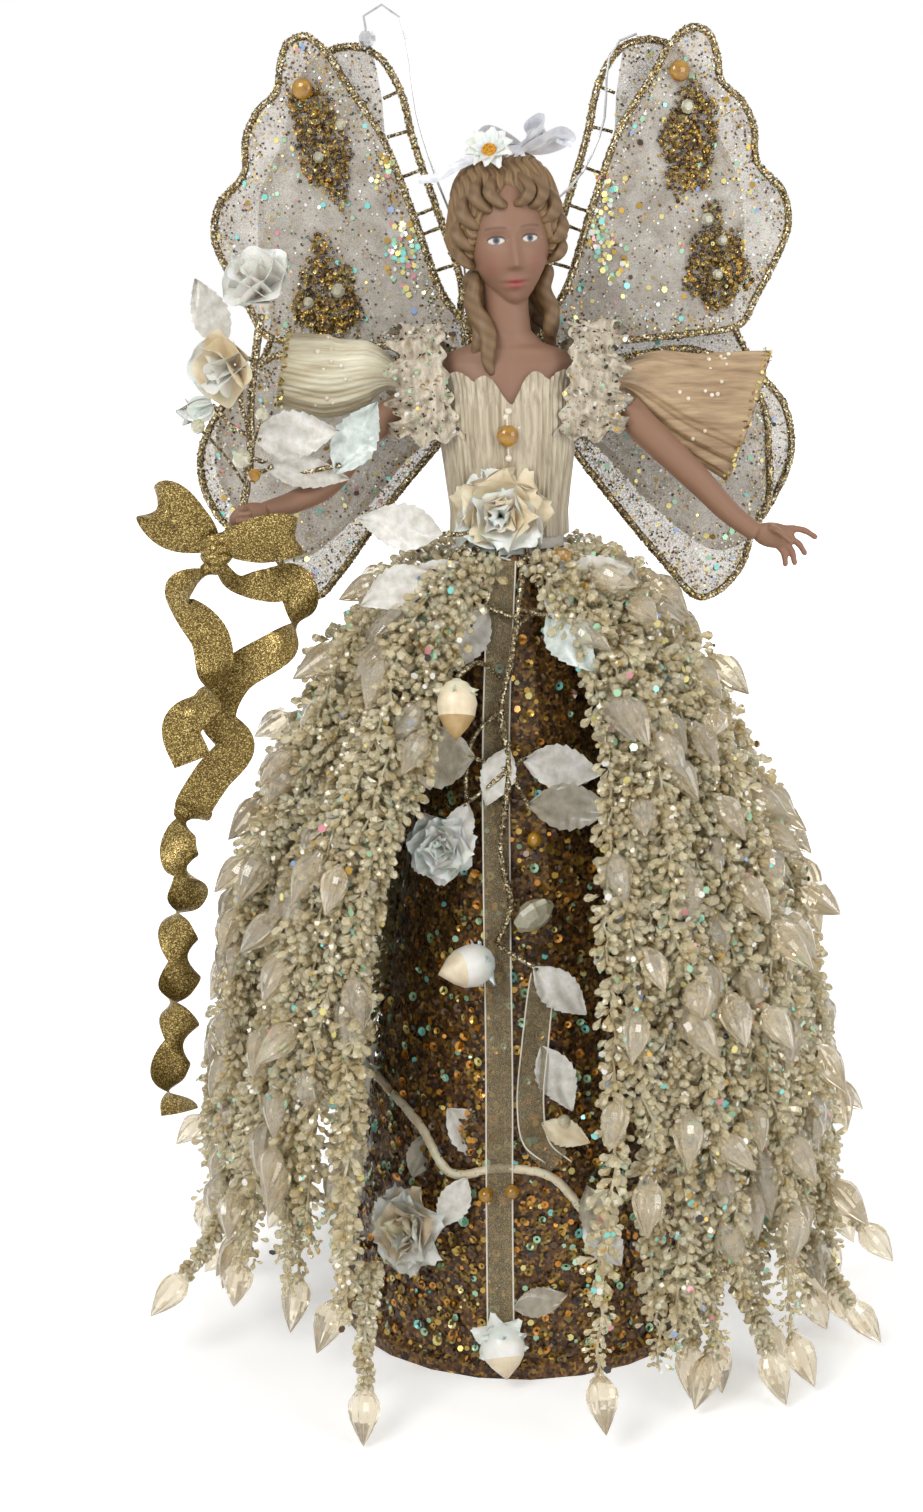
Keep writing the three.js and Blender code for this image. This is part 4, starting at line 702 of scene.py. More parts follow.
petal_cloth = clay("petal_cloth", tint(238, 236, 226), tint(254, 253, 248), 0.4, 160, plain_grain,
                   Sheen_Weight=0.3, Coat_Weight=0.2, Subsurface_Weight=0.35, Subsurface_Scale=glow_depth)
petal_warm = clay("petal_warm", tint(226, 206, 170), tint(248, 236, 208), 0.42, 160, plain_grain,
                  Sheen_Weight=0.3, Subsurface_Weight=0.3, Subsurface_Scale=glow_depth)
leaf_cloth = clay("leaf_cloth", tint(204, 198, 186), tint(238, 236, 230), 0.38, 260, leaf_grain,
                  Sheen_Weight=0.3, Coat_Weight=0.3, Subsurface_Weight=0.15, Subsurface_Scale=leaf_glow_depth)
leaf_sheer = clay("leaf_sheer", tint(166, 156, 132), tint(206, 198, 178), 0.3, 260, leaf_grain,
                  Transmission_Weight=0.35, Coat_Weight=0.4)
leaf_pearly = clay("leaf_pearly", tint(184, 178, 166), tint(222, 218, 208), 0.32, 260, leaf_grain,
                   Sheen_Weight=0.4, Coat_Weight=0.4)
leaf_aqua = clay("leaf_aqua", tint(176, 186, 178), tint(222, 230, 224), 0.34, 260, leaf_grain,
                 Sheen_Weight=0.4, Coat_Weight=0.4)
bud_tan = clay("bud_tan", tint(176, 142, 90), tint(204, 174, 124), 0.4, 160, soft_grain)
daisy_yellow = clay("daisy_yellow", tint(196, 128, 24), tint(236, 184, 60), 0.7, 900)
floret_plastic = clay("floret_plastic", tint(226, 206, 154), tint(255, 251, 226), 0.06, 120, 0.0,
                      Transmission_Weight=0.62, IOR=1.46, Coat_Weight=0.7, Coat_Roughness=0.03)
bulb_plastic = clay("bulb_plastic", tint(238, 222, 190), tint(255, 248, 230), 0.05, 90, 0.0,
                    Transmission_Weight=0.76, IOR=1.46, Coat_Weight=0.4, Coat_Roughness=0.03)
amber_glass = clay("amber_glass", tint(160, 108, 14), tint(214, 160, 36), 0.08, 220, faint_grain,
                   Transmission_Weight=0.25, Coat_Weight=0.5)
pearl = clay("pearl", tint(222, 206, 180), tint(246, 238, 222), 0.22, 300, faint_grain, Coat_Weight=0.6)
clear_gem = clay("clear_gem", tint(218, 212, 178), tint(252, 250, 228), 0.05, 300, faint_grain,
                 Transmission_Weight=0.5, Coat_Weight=0.5)

flake_colours = {
    "flake_white": (tint(236, 234, 228), 0.25, 0.1),
    "flake_cyan": (tint(132, 222, 214), 0.22, 0.25),
    "flake_green": (tint(164, 210, 172), 0.22, 0.25),
    "flake_yellow": (tint(226, 214, 132), 0.22, 0.3),
    "flake_pink": (tint(214, 138, 146), 0.22, 0.3),
    "flake_blue": (tint(150, 176, 224), 0.22, 0.25),
    "flake_gold": (tint(178, 142, 60), 0.28, 0.75),
    "flake_olive": (tint(124, 100, 40), 0.3, 0.7),
    "flake_amber": (tint(196, 132, 44), 0.25, 0.6),
    "flake_brown": (tint(84, 58, 34), 0.35, 0.5),
    "flake_dark": (tint(44, 32, 26), 0.4, 0.3),
}
flakes = {name: bare(name, colour, rough, metal, Coat_Weight=0.4)
          for name, (colour, rough, metal) in flake_colours.items()}


def flakes_of(colours):
    """The flakes of the named colours."""
    return [flakes[f"flake_{colour}"] for colour in colours.split()]


def finish_cad():
    """Gives the CAD pieces that stay the finish of their slots."""
    for name, thing in frame["nodes"].items():
        if name == "cone_shell":
            kept = card
        elif name == "centre_dowel":
            kept = wood
        elif name == "torso_form":
            kept = foam
        elif name.endswith("_wire"):
            kept = silver_wire
        else:
            continue
        thing.data.materials.clear()
        thing.data.materials.append(kept)


# Camera, light and floor

def set_scene():
    data = bpy.data.cameras.new("camera")
    data.lens = camera_lens_mm
    data.sensor_width = camera_sensor_mm
    camera = bpy.data.objects.new("camera", data)
    bpy.context.scene.collection.objects.link(camera)
    look = Vector(camera_aim) - Vector(camera_place)
    turn = look.to_track_quat("-Z", "Y").to_matrix().to_4x4()
    roll = Matrix.Rotation(-math.radians(camera_roll_deg), 4, "Z")
    camera.matrix_world = Matrix.Translation(camera_place) @ turn @ roll
    bpy.context.scene.camera = camera
    bpy.context.scene.view_settings.view_transform = "Standard"


def lamp(name, place, size, power):
    data = bpy.data.lights.new(name, "AREA")
    data.size = size
    data.energy = power
    thing = bpy.data.objects.new(name, data)
    bpy.context.scene.collection.objects.link(thing)
    turn = (Vector(lamp_aim) - Vector(place)).to_track_quat("-Z", "Y").to_matrix().to_4x4()
    thing.matrix_world = Matrix.Translation(place) @ turn


def seen_directly(tree):
    """1 where the camera sees a surface itself, in a gloss or through glass, else 0."""
    path = tree.nodes.new("ShaderNodeLightPath")
    value = path.outputs["Is Camera Ray"]
    for name in ("Is Glossy Ray", "Is Transmission Ray"):
        either = tree.nodes.new("ShaderNodeMath")
        either.operation = "MAXIMUM"
        tree.links.new(value, either.inputs[0])
        tree.links.new(path.outputs[name], either.inputs[1])
        value = either.outputs["Value"]
    return value


def set_light():
    for name, (place, size, power) in lamps.items():
        lamp(name, place, size, power)
    world = bpy.data.worlds.new("studio")
    bpy.context.scene.world = world
    world.use_nodes = True
    tree = world.node_tree
    background = tree.nodes["Background"]
    background.inputs["Color"].default_value = (1.0, 1.0, 1.0, 1.0)
    strength = tree.nodes.new("ShaderNodeMapRange")
    strength.inputs["To Min"].default_value = world_glow
    strength.inputs["To Max"].default_value = world_white
    tree.links.new(seen_directly(tree), strength.inputs["Value"])
    tree.links.new(strength.outputs["Result"], background.inputs["Strength"])


def lay_floor():
    corners = np.array([(-1, -1, 0), (1, -1, 0), (1, 1, 0), (-1, 1, 0)]) * floor_reach
    heap = Heap().add(corners, [[0, 1, 2, 3]])
    floor = bpy.data.objects.new("floor", heap.mesh("floor"))
    bpy.context.scene.collection.objects.link(floor)
    material = bpy.data.materials.new("floor_paper")
    material.use_nodes = True
    shader = shader_of(material)
    shader.inputs["Roughness"].default_value = 0.9
    shader.inputs["Specular IOR Level"].default_value = 0.1
    stops = ((0.3, tint(240, 240, 240)), (0.7, tint(244, 244, 244)))
    painted(material, coloured(material, mottle(material, 30.0), *stops))
    distance = node(material, "ShaderNodeVectorMath", operation="LENGTH")
    link(material, object_places(material), distance.inputs[0])
    whiter = ranged(material, distance.outputs["Value"], floor_glow, 1.0, floor_near, floor_far)
    glow = node(material, "ShaderNodeMath", operation="MULTIPLY")
    link(material, whiter, glow.inputs[0])
    link(material, seen_directly(material.node_tree), glow.inputs[1])
    link(material, glow.outputs["Value"], shader.inputs["Emission Strength"])
    shader.inputs["Emission Color"].default_value = (1.0, 1.0, 1.0, 1.0)
    floor.data.materials.append(material)


# The figure

skull_centre = np.array(skull_middle)
head_crown = np.array((skull_middle[0], skull_middle[1], head_top))

# Bust: rings from one height to another, and how many
bust_rows = ((bust_base, 0.400, 40), (0.401, 0.424, 18))
# Its relief: rise, height, half height, place across and half width, of the chest and of the collar bones
bust_relief = ((0.0012, 0.378, 0.010, 0.010, 0.007), (0.0007, 0.3925, 0.0012, 0.010, 0.008))
bust_voxel = 0.00042
arm_voxel = 0.00055

# Plain face: how far each feature stands out, its place across and up, its half width and half height
face_features = {
    "eye_socket": (-0.0021, eye_apart, eye_line, 0.0036, 0.0026),
    "eye": (0.0011, eye_apart, eye_line - 0.0003, 0.0023, 0.0015),
    "brow": (0.0007, 0.006, brow_line, 0.005, 0.0016),
    "cheek": (0.0011, 0.0078, nose_base + 0.0016, 0.0042, 0.0044),
    "upper_lip": (0.0014, 0, mouth_line + 0.0010, 0.0037, 0.0010),
    "lower_lip": (0.0015, 0, mouth_line - 0.0013, 0.0031, 0.0011),
    "lip_parting": (-0.0009, 0, mouth_line, 0.0042, 0.0004),
    "chin": (0.0017, 0, chin_line, 0.0044, 0.0030),
}
nose_rises = (0.0006, 0.0038)
nose_widths = (0.0014, 0.0010)
nose_ends = (nose_base - 0.0012, nose_base + 0.0010)
nose_bridge = (brow_line + 0.003, brow_line - 0.002)

# Its paint: where the front of the head begins, soft patches as above, and the eye's own sizes
face_front = (0.004, 0.010)
blush_patch = (0.0084, nose_base + 0.001, 0.0040, 0.0036)
lid_patch = (eye_apart, eye_line + 0.0016, 0.0038, 0.0016)
lip_patch = (0, mouth_line - 0.0002, 0.0036, 0.0018)
lip_line_patch = (0, mouth_line, 0.0034, 0.00028)
eye_half_height = 0.00125
eye_drop = 0.0004
iris_lift = 0.0001
iris_radius = 0.00125
pupil_radius = 0.0006
lid_half_thickness = 0.00045
brow_lift = 0.0006
brow_bend_radius = 0.030
brow_half_thickness = 0.0005
brow_half_length = 0.0042
brow_end = 0.001
fine_edge = (-0.0001, 0.0002)
crisp_edge = (-0.0001, 0.0003)
soft_edge = (-0.0002, 0.0003)


def figure_at(height):
    """Half width, half depth and how far forward the figure is at a height."""
    table = np.array(figure_rows)
    return np.array([np.interp(height, table[:, 0], table[:, k]) for k in (1, 2, 3)])


def round_figure(heights, margin, turn):
    """Places round the figure, with turn 0 on the doll's left and the front at a quarter."""
    half_width, half_depth, forward = figure_at(heights)
    x = (half_width + margin) * np.cos(turn)
    y = -(half_depth + margin) * np.sin(turn) - forward
    return np.stack(np.broadcast_arrays(x, y, heights), axis=-1)


def merged(thing, voxel, smoothing):
    """The same piece with its overlapping parts grown into one skin."""
    remesh = thing.modifiers.new("grown", "REMESH")
    remesh.mode = "VOXEL"
    remesh.voxel_size = voxel
    remesh.use_smooth_shade = True
    soften = thing.modifiers.new("soft", "SMOOTH")
    soften.factor = 0.5
    soften.iterations = smoothing
    bpy.context.view_layer.update()
    made = bpy.data.meshes.new_from_object(thing.evaluated_get(bpy.context.evaluated_depsgraph_get()))
    thing.modifiers.clear()
    old = thing.data
    name = old.name
    thing.data = made
    bpy.data.meshes.remove(old)
    made.name = name


def points_of(thing):
    co = np.zeros(len(thing.data.vertices) * 3, np.float32)
    thing.data.vertices.foreach_get("co", co)
    return co.reshape(-1, 3).astype(float)


def head_turn():
    return rotation(math.radians(head_turn_deg), "Z") @ rotation(-math.radians(head_tilt_deg), "Y")


def head_places(points):
    """From the upright head to the tilted one, grown from its top."""
    grown = (np.asarray(points) - head_crown) * head_growth_shares + head_crown
    return (grown - skull_centre) @ head_turn().T + skull_centre


def upright_places(points):
    upright = (np.asarray(points) - skull_centre) @ head_turn() + skull_centre
    return (upright - head_crown) / head_growth_shares + head_crown


def patch(wide, z, across, up, half_width, half_height):
    return bell((wide - across) / half_width, (z - up) / half_height)


def face_rise(x, z):
    """How far the plain face stands forward of the skull, at places across and up."""
    nose_way = np.clip((brow_line - z) / (brow_line - nose_base), 0, 1)
    rise = nose_rises[0] + nose_rises[1] * nose_way ** 1.6
    rise = rise * bell(x / (nose_widths[0] + nose_widths[1] * nose_way))
    rise = rise * ramp(z, *nose_ends) * ramp(z, *nose_bridge)
    for height, *place in face_features.values():
        rise = rise + height * patch(np.abs(x), z, *place)
    return rise


def skull_surface(rows=150, columns=180):
    points, face_sets = ball(rows, columns)
    low = ramp(-points[:, 2], 0.1, 1.0)
    places = points * np.array(skull_half)
    places[:, 0] *= 1 - 0.26 * low
    places[:, 1] *= 1 - 0.10 * low * (points[:, 1] > 0)
    front = ramp(-points[:, 1], 0.1, 0.5)
    places[:, 1] -= face_rise(places[:, 0], places[:, 2] + skull_centre[2]) * front
    return places + skull_centre, face_sets


def face_paint(points):
    """Colours of the painted face, for places on the upright head."""
    x, y, z = (points - (skull_middle[0], 0, 0)).T
    front = ramp(-y, *face_front)[:, None]
    wide = np.abs(x)
    apart = wide - eye_apart
    across = apart / eye_half_width
    level = z - eye_line + eye_drop
    opening = eye_half_height * np.sqrt(np.clip(1 - across * across, 0, 1)) - np.abs(level)
    inside = ramp(opening, *fine_edge)
    off_iris = np.hypot(apart, level - iris_lift)
    off_lid = np.abs(level - eye_half_height * np.sqrt(np.clip(1.15 - across * across, 0, 2)))
    arch = brow_line + brow_lift - np.square(apart) / brow_bend_radius
    brow = ramp(brow_half_thickness - np.abs(z - arch), *soft_edge)
    layers = (
        ((156, 100, 84), 0.55 * patch(wide, z, *blush_patch)),
        ((132, 92, 76), 0.5 * patch(wide, z, *lid_patch)),
        ((224, 216, 208), ramp(opening, *crisp_edge)),
        ((74, 84, 102), ramp(iris_radius - off_iris, *soft_edge) * inside),
        ((20, 18, 24), ramp(pupil_radius - off_iris, *fine_edge) * inside),
        ((62, 44, 40), ramp(lid_half_thickness - off_lid, *crisp_edge) * ramp(1.25 - np.abs(across), 0, 0.2)),
        ((108, 76, 54), 0.7 * brow * ramp(brow_half_length - np.abs(apart), 0, brow_end)),
        ((166, 80, 76), 1.3 * patch(wide, z, *lip_patch) ** 1.5),
        ((120, 56, 54), 0.8 * patch(wide, z, *lip_line_patch)),
    )
    colours = np.tile(np.array(tint(146, 110, 88)), (len(points), 1))
    for shade, amount in layers:
        colours = mixed(colours, np.array(tint(*shade)), np.clip(amount, 0, 1)[:, None] * front)
    return colours


def paint_on(thing, colours):
    layer = thing.data.color_attributes.new("paint", "FLOAT_COLOR", "POINT")
    layer.data.foreach_set("color", np.asarray(colours, np.float32).ravel())


def painted_by_points(material, dark_share):
    """Takes the colour painted on the points, a little darker in soft patches."""
    paint = node(material, "ShaderNodeVertexColor", layer_name="paint")
    soft = node(material, "ShaderNodeMix", data_type="RGBA", blend_type="MULTIPLY")
    link(material, ranged(material, mottle(material, 260.0), 0.0, dark_share), soft.inputs["Factor"])
    link(material, paint.outputs["Color"], soft.inputs["A"])
    soft.inputs["B"].default_value = (0.72, 0.66, 0.62, 1.0)
    painted(material, soft.outputs["Result"])
    return bumped(material, mottle(material, 1800.0), 0.15, soft_grain)


def build_bust():
    heap = Heap()
    points, face_sets = skull_surface()
    heap.put((head_places(points), face_sets))
    sides = 72
    heights = np.concatenate([np.linspace(*row) for row in bust_rows])
    rings = round_figure(heights[:, None], 0.0, turns(sides))
    for rise, *place in bust_relief:
        height, half_height, across, half_width = place
        relief = patch(np.abs(rings[..., 0]), rings[..., 2], across, height, half_width, half_height)
        rings[..., 1] -= rise * relief * (rings[..., 1] < 0)
    points = np.vstack([rings.reshape(-1, 3), rings[0].mean(axis=0), rings[-1].mean(axis=0)])
    body = grid_faces(len(heights), sides, wrap=True)[:, ::-1]
    heap.put((points, [body, *end_fans(len(points), sides, flip=True)]))
    bust = piece("bust_skin", heap, [], "doll", "porcelain", "bust")
    merged(bust, bust_voxel, 3)
    bust.data.materials.append(skin)
    paint_on(bust, face_paint(upright_places(points_of(bust))))


# Hair: how far the side puffs, the crown and the nape stand out, and the opening for the face
side_puff = 0.0022
crown_lift = 0.0010
nape_lift = 0.002
parting_height = 0.0035
parting_half_width = 0.004
opening_height = 0.4300
opening_half = (0.0138, 0.0195)

# Front locks on each side of the face: across, up and size share
front_locks = (
    (0.0035, 0.4490, 1.0), (0.0080, 0.4478, 1.1), (0.0126, 0.4425, 1.15), (0.0152, 0.4355, 1.1),
    (0.0156, 0.4290, 0.9),
)
front_lock_back = -0.0166
front_lock_step = 0.0015
front_lock_swing = 0.0036
front_lock_radius = 0.0022
# A front lock's way: across and up as shares of its swing, and how far back
front_lock_way = (
    (-0.5, -0.4, -0.0004), (0.3, -0.1, -0.0022), (1.0, 0.7, -0.0016), (0.8, 1.6, 0.0010), (0.2, 2.4, 0.0040),
)
# Ringlets beside the neck: start, how far out and down, turns, half width, lean and share of the radius
ringlets = (
    ((-0.0140, -0.0030, 0.4250), 0.0045, 0.0350, 1.7, 0.0015, -0.0100, 1.35),
    ((-0.0120, -0.0010, 0.4240), -0.0015, 0.0290, 1.6, 0.0014, -0.0050, 1.3),
    ((0.0142, 0.0010, 0.4250), 0.0010, 0.0240, 1.6, 0.0014, 0.0, 1.35),
    ((0.0125, 0.0050, 0.4240), 0.0040, 0.0280, 1.7, 0.0015, 0.0, 1.3),
)
# Ringlets at the back: the first one's place, the step between them, and one's fall, half width and lean
back_ringlet_place = (-0.012, 0.0150, 0.4280)
back_ringlet_step = 0.004
back_ringlet_fall = (0.0260, 0.0022, -0.0030)


def hair_cap():
    """Moulded hair swept up from the face to a crown behind the top of the head."""
    points, face_sets = ball(150, 300)
    directions = points @ rotation(math.radians(-28), "X").T
    side, ahead, up = directions.T
    turn = np.arctan2(points[:, 1], points[:, 0])
    polar = np.arccos(np.clip(points[:, 2], -1, 1))
    locks = turn + 0.10 * np.sin(polar * 7.0) + 0.05 * np.sin(polar * 13.0 + 1.0)
    broad = np.abs(np.sin(locks * 17)) ** 0.7
    grooves = 0.6 * broad + 0.4 * np.abs(np.sin(locks * 41 + 2 * np.sin(polar * 5)))
    places = directions * np.array(hair_half)
    depth = (grooves - 0.6) * hair_groove * 2 * ramp(polar, 0.15, 0.5)
    places += unit(directions) * depth[:, None]
    puff = side_puff * bell((np.abs(side) - 0.95) / 0.35, (up + 0.28) / 0.3)
    places[:, 0] += np.sign(places[:, 0]) * puff
    places[:, 0] *= 1 + 0.10 * bell((up - 0.75) / 0.3)
    places[:, 2] += crown_lift * bell((np.abs(side) - 0.45) / 0.22, (up - 0.85) / 0.25)
    nape = ramp(-up, 0.45, 1.0)
    places[:, 0] *= 1 - 0.30 * nape
    places[:, 2] += nape_lift * nape
    middle = np.array(hair_middle)
    x = places[:, 0] + middle[0] - skull_middle[0]
    z = places[:, 2] + middle[2] - opening_height
    tall = opening_half[1] + parting_height * bell(x / parting_half_width)
    around = np.hypot(x / opening_half[0], z / tall)
    opening = ramp(1.14 - around, 0, 0.26) * ramp(-ahead, 0.05, 0.3)
    wave = 0.10 * np.sin(np.arctan2(z, x) * 9)
    opening = np.clip(opening + wave * opening * (1 - opening) * 4, 0, 1)
    return places * (1 - 0.42 * opening)[:, None] + middle, face_sets, grooves


def lock(points, radius, grooves=9, sides=20, steps=46):
    """One moulded lock: a tapered tube with grooves that wind along it."""
    way = np.linspace(0, 1, steps)
    reach = radius * (0.35 + 0.75 * np.sin(np.pi * np.clip(way * 0.9 + 0.08, 0, 1)) ** 0.7)

    def ridge(turn, along):
        return 0.10 * np.sin(turn * grooves / 3 + along * 6) - 0.04

    return tube(head_places(through(points, steps)), reach, sides, ridge=ridge)


def curl_points(start, out, down, count_of_turns, width, lean=0.0):
    """Points of a curl that winds as it falls."""
    way = np.linspace(0, 1, int(count_of_turns * 8) + 1)
    angle = way * count_of_turns * 2 * np.pi
    x = start[0] + out * way + width * np.cos(angle) * (1 - 0.3 * way)
    y = start[1] - width * np.sin(angle) * (1 - 0.3 * way) + lean * way
    return np.stack([x, y, start[2] - down * way], axis=1)


def build_hair():
    heap = Heap()
    points, face_sets, grooves = hair_cap()
    heap.put((head_places(points), face_sets))
    cx = skull_middle[0]
    for sign in (-1.0, 1.0):
        for k, (x, z, size) in enumerate(front_locks):
            y = front_lock_back + 0.30 * x + front_lock_step * k
            swing = front_lock_swing * size
            way = [(cx + sign * (x + swing * out), y + back, z + swing * up)
                   for out, up, back in front_lock_way]
            heap.merge(lock(way, front_lock_radius * size))
    for *curl, wide in ringlets:
        heap.merge(lock(curl_points(*curl), ringlet_radius * wide))
    x, y, z = back_ringlet_place
    down, width, lean = back_ringlet_fall
    for k in range(7):
        curl = curl_points((cx + x + back_ringlet_step * k, y, z), 0.0, down, 2.0, width, lean)
        heap.merge(lock(curl, ringlet_radius * 1.2))
    hair = piece("hair_moulded", heap, [hair_paint], "doll", "porcelain")
    places = points_of(hair)
    # Paint darker deep in the cap's grooves and lighter on its ridges, and in light and dark stripes along the
    # locks: partly the doll's own paint, partly painted shade.
    shade = 0.45 + 0.16 * np.sin(places[:, 2] * 1400 + places[:, 0] * 900)
    shade[:len(grooves)] = np.clip(grooves, 0, 1)
    dark, light = np.array(tint(86, 62, 38)), np.array(tint(152, 122, 84))
    paint_on(hair, mixed(dark, light, shade[:, None]))


# Flowers, leaves and petals

# Rows of petals: how many, tilt in degrees, then length, width and foot as shares of the radius
rose_row_shares = (
    (3, 4, 0.66, 0.62, 0.03), (4, 16, 0.76, 0.78, 0.06), (5, 34, 0.86, 0.92, 0.09),
    (6, 54, 0.96, 1.02, 0.12), (7, 74, 1.0, 1.06, 0.14),
)
full_row_shares = ((3, 3, 1.0, 1.25, 0.02), (3, 20, 1.2, 1.45, 0.03), (4, 52, 1.12, 1.35, 0.06))
blossom_row_shares = ((3, 12, 0.5, 0.42, 0.04), (6, 66, 1.0, 0.66, 0.1))
star_row_shares = ((5, 40, 0.7, 0.34, 0.04), (6, 72, 1.05, 0.42, 0.08))
bud_row_shares = ((3, 2, 1.3, 0.9, 0.02), (4, 8, 1.5, 1.1, 0.05), (4, 20, 1.2, 1.0, 0.08))
calyx_row_shares = ((6, 48, 0.9, 0.5, 0.12),)

# A leaf's half width along it, and its teeth
leaf_shares = (
    (0, 0.03), (0.06, 0.16), (0.16, 0.34), (0.3, 0.48), (0.44, 0.5), (0.6, 0.42), (0.76, 0.28), (0.9, 0.12),
    (1, 0.01),
)
leaf_teeth = 9
tooth_share = 0.13


def petal(length, width, cup, roll, ruffle=0.0, phase=0.0, point=0.0):
    """A petal standing on its foot: across X, up Z, hollow towards +Y."""
    rows, columns = 8, 7
    s = np.linspace(0, 1, rows)[:, None]
    t = np.linspace(-1, 1, columns)[None]
    blunt = np.sin(np.pi * np.clip(0.10 + 0.80 * s ** 0.85, 0, 1)) ** (0.75 + point)
    x = t * width / 2 * blunt
    y = cup * t * t * np.sin(np.pi * s * 0.7) - roll * s ** 3 + ruffle * np.sin(t * 5.5 + phase) * s ** 2
    z = length * s * (1 - 0.12 * t * t * s ** 3) + ruffle * 0.5 * np.sin(t * 7 + phase * 2) * s ** 3
    return np.stack([x, y, z], axis=-1).reshape(-1, 3), grid_faces(rows, columns)


def bloom(radius, rows, seed, ruffle=0.07, point=0.0, warm=False):
    """A flower on its back: rows of petals that open outward, about +Z."""
    dice = chance(seed)
    heap = Heap()
    for number, tilt_deg, length_share, width_share, foot_share in rows:
        start = dice.uniform(0, 2 * np.pi)
        for k in range(number):
            angle = start + 2 * np.pi * k / number + dice.normal(0, 0.08)
            tilt = math.radians(tilt_deg + dice.normal(0, 4))
            size = radius * length_share * dice.uniform(0.92, 1.06)
            points, faces = petal(size, radius * width_share * 1.15, radius * 0.22, radius * 0.16,
                                  radius * ruffle, dice.uniform(0, 6), point)
            points = points @ rotation(tilt, "X").T + (0, -radius * foot_share, 0)
            heap.add(points @ rotation(angle, "Z").T, faces, mark=int(warm and dice.random() < 0.5))
    return heap


def aimed(heap, direction, place):
    """A heap turned from +Z to a direction, and moved to its place."""
    turn = bases(np.array([direction], float), np.zeros(1), np.ones(1))[0]
    heap.places = [p @ turn.T + np.asarray(place) for p in heap.places]
    return heap


def leaf(length, width, seed=0):
    """A serrated leaf along +X with its face to +Z, creased at its veins."""
    table = np.array(leaf_shares)
    rows, columns = 4 * leaf_teeth + 1, 11
    s = np.linspace(0, 1, rows)[:, None]
    t = np.linspace(-1, 1, columns)[None]
    tooth = 1 - (s * leaf_teeth) % 1
    half = np.interp(s, table[:, 0], table[:, 1]) * width * (1 - tooth_share + tooth_share * tooth)
    bend = chance(seed).uniform(-0.06, 0.10)
    x = length * (s + 0.05 * np.abs(t) * np.sin(np.pi * s))
    veins = 0.014 * length * np.abs(np.sin((s * 6 - np.abs(t) * 1.3) * np.pi))
    z = 0.10 * width * np.abs(t) ** 1.4 + veins * np.abs(t) * 0.6 + bend * length * np.sin(np.pi * s)
    z = z + 0.03 * width * np.sin(t * 6 + s * 9 + seed)
    return np.stack([x, t * half, z], axis=-1).reshape(-1, 3), grid_faces(rows, columns)


def cone_slope():
    return math.atan((cone_base_radius - cone_top_radius) / cone_height)


def cone_radius(height):
    return mixed(cone_base_radius, cone_top_radius, np.clip(height / cone_height, 0, 1))


def before(across, height, standoff):
    """A place in front of the cone, off its face by the standoff."""
    reach = cone_radius(height) + standoff
    depth = math.sqrt(max(reach * reach - across * across, 0.0))
    return np.array([across, -depth, height])


def front_leaf(size, place, heading_deg, lean_deg, slope=0.0, seed=0):
    """A leaf that faces the front, its length turned in the front view."""
    points, faces = leaf(*size, seed)
    upright = np.stack([points[:, 0], -points[:, 2], points[:, 1]], axis=1)
    heading = rotation(-math.radians(heading_deg), "Y") @ rotation(math.radians(lean_deg), "Z")
    return upright @ (rotation(-slope, "X") @ heading).T + np.asarray(place), faces


def cone_leaf(size_share, place, heading_deg, lean_deg, seed):
    """A leaf of the garland's kind that lies along the cone's face."""
    return front_leaf(np.array(garland_leaf) * size_share, place, heading_deg, lean_deg, cone_slope(), seed)


def twig(ends, count, seed, sag=0.0, radius=twig_radius):
    """A thin glittered twig through its ends, hanging lower by its sag half way."""
    start, end = ends
    middle = (start + end) / 2 - (0, 0, np.linalg.norm(end - start) * sag)
    return rough(through([start, middle, end], count), radius, seed, 8)


# The dress

bodice_flare = 0.0010
# The gem on the chest, then the pearls beside it: across, up and radius
chest_depth = 0.0184
gem_across = -0.0007
gem_lift = 0.0006
gem_rise = 0.0028
bodice_pearls = ((0.0006, 0.0093, 0.0015), (-0.0006, 0.0070, 0.0012), (0.0002, -0.0085, 0.0014),
                 (0.0045, 0.0030, 0.0008))
pearl_lift = 0.0012
pearl_thread = ((0, 0.001, 0.010), (0, 0.0006, 0), (0.0004, 0.001, -0.009))
thread_radius = 0.0004

arm_shares = {
    "right": ((0.13, -0.02, -0.17), (0.32, -0.08, -0.29), (0.53, -0.16, -0.54), (0.7, -0.25, -0.62),
              (0.84, -0.32, -0.655)),
    "left": ((0.19, -0.06, -0.2), (0.33, -0.09, -0.345), (0.56, -0.12, -0.57), (0.72, -0.14, -0.74),
             (0.86, -0.15, -0.85)),
}
finger_shares = {
    "left": (
        ((0.5, 0.36, 0), (1.5, 0.42, 0.02), (2.1, 0.18, 0.02)),
        ((0.55, 0.05, 0), (1.35, -0.2, 0.02), (1.75, -0.62, 0.02)),
        ((0.5, -0.15, 0), (1.1, -0.55, 0), (1.36, -1.12, 0)),
        ((0.4, -0.32, 0), (0.8, -0.75, 0), (0.95, -1.24, 0)),
        ((0, 0.35, -0.2), (0.5, 0.2, -0.62), (0.95, -0.1, -0.75)),
    ),
    "right": (
        ((0.4, 0.35, -0.2), (0.95, 0.3, -0.75), (0.55, 0.22, -1.15)),
        ((0.4, 0.05, -0.2), (1, 0, -0.75), (0.58, -0.05, -1.15)),
        ((0.4, -0.25, -0.2), (0.9, -0.3, -0.7), (0.5, -0.34, -1.1)),
    ),
}
sleeve_path_shares = {
    "right": ((0.1, 0, -0.04), (0.36, 0.05, 0.02), (0.66, 0.1, -0.01), (1, 0.12, 0.05)),
    "left": ((0.1, 0, -0.04), (0.4, 0.08, -0.08), (0.74, 0.12, -0.24), (1.12, 0.14, -0.37)),
}
sleeve_swell_shares = {"right": (0, 0.75, 1, 0.88), "left": (0, 0.5, 0.78, 1)}
sleeve_glitter_sizes = (0.0005, 0.0010)
sleeve_glitter_stray = 0.0007
sleeve_bead_sizes = (0.0006, 0.0011)

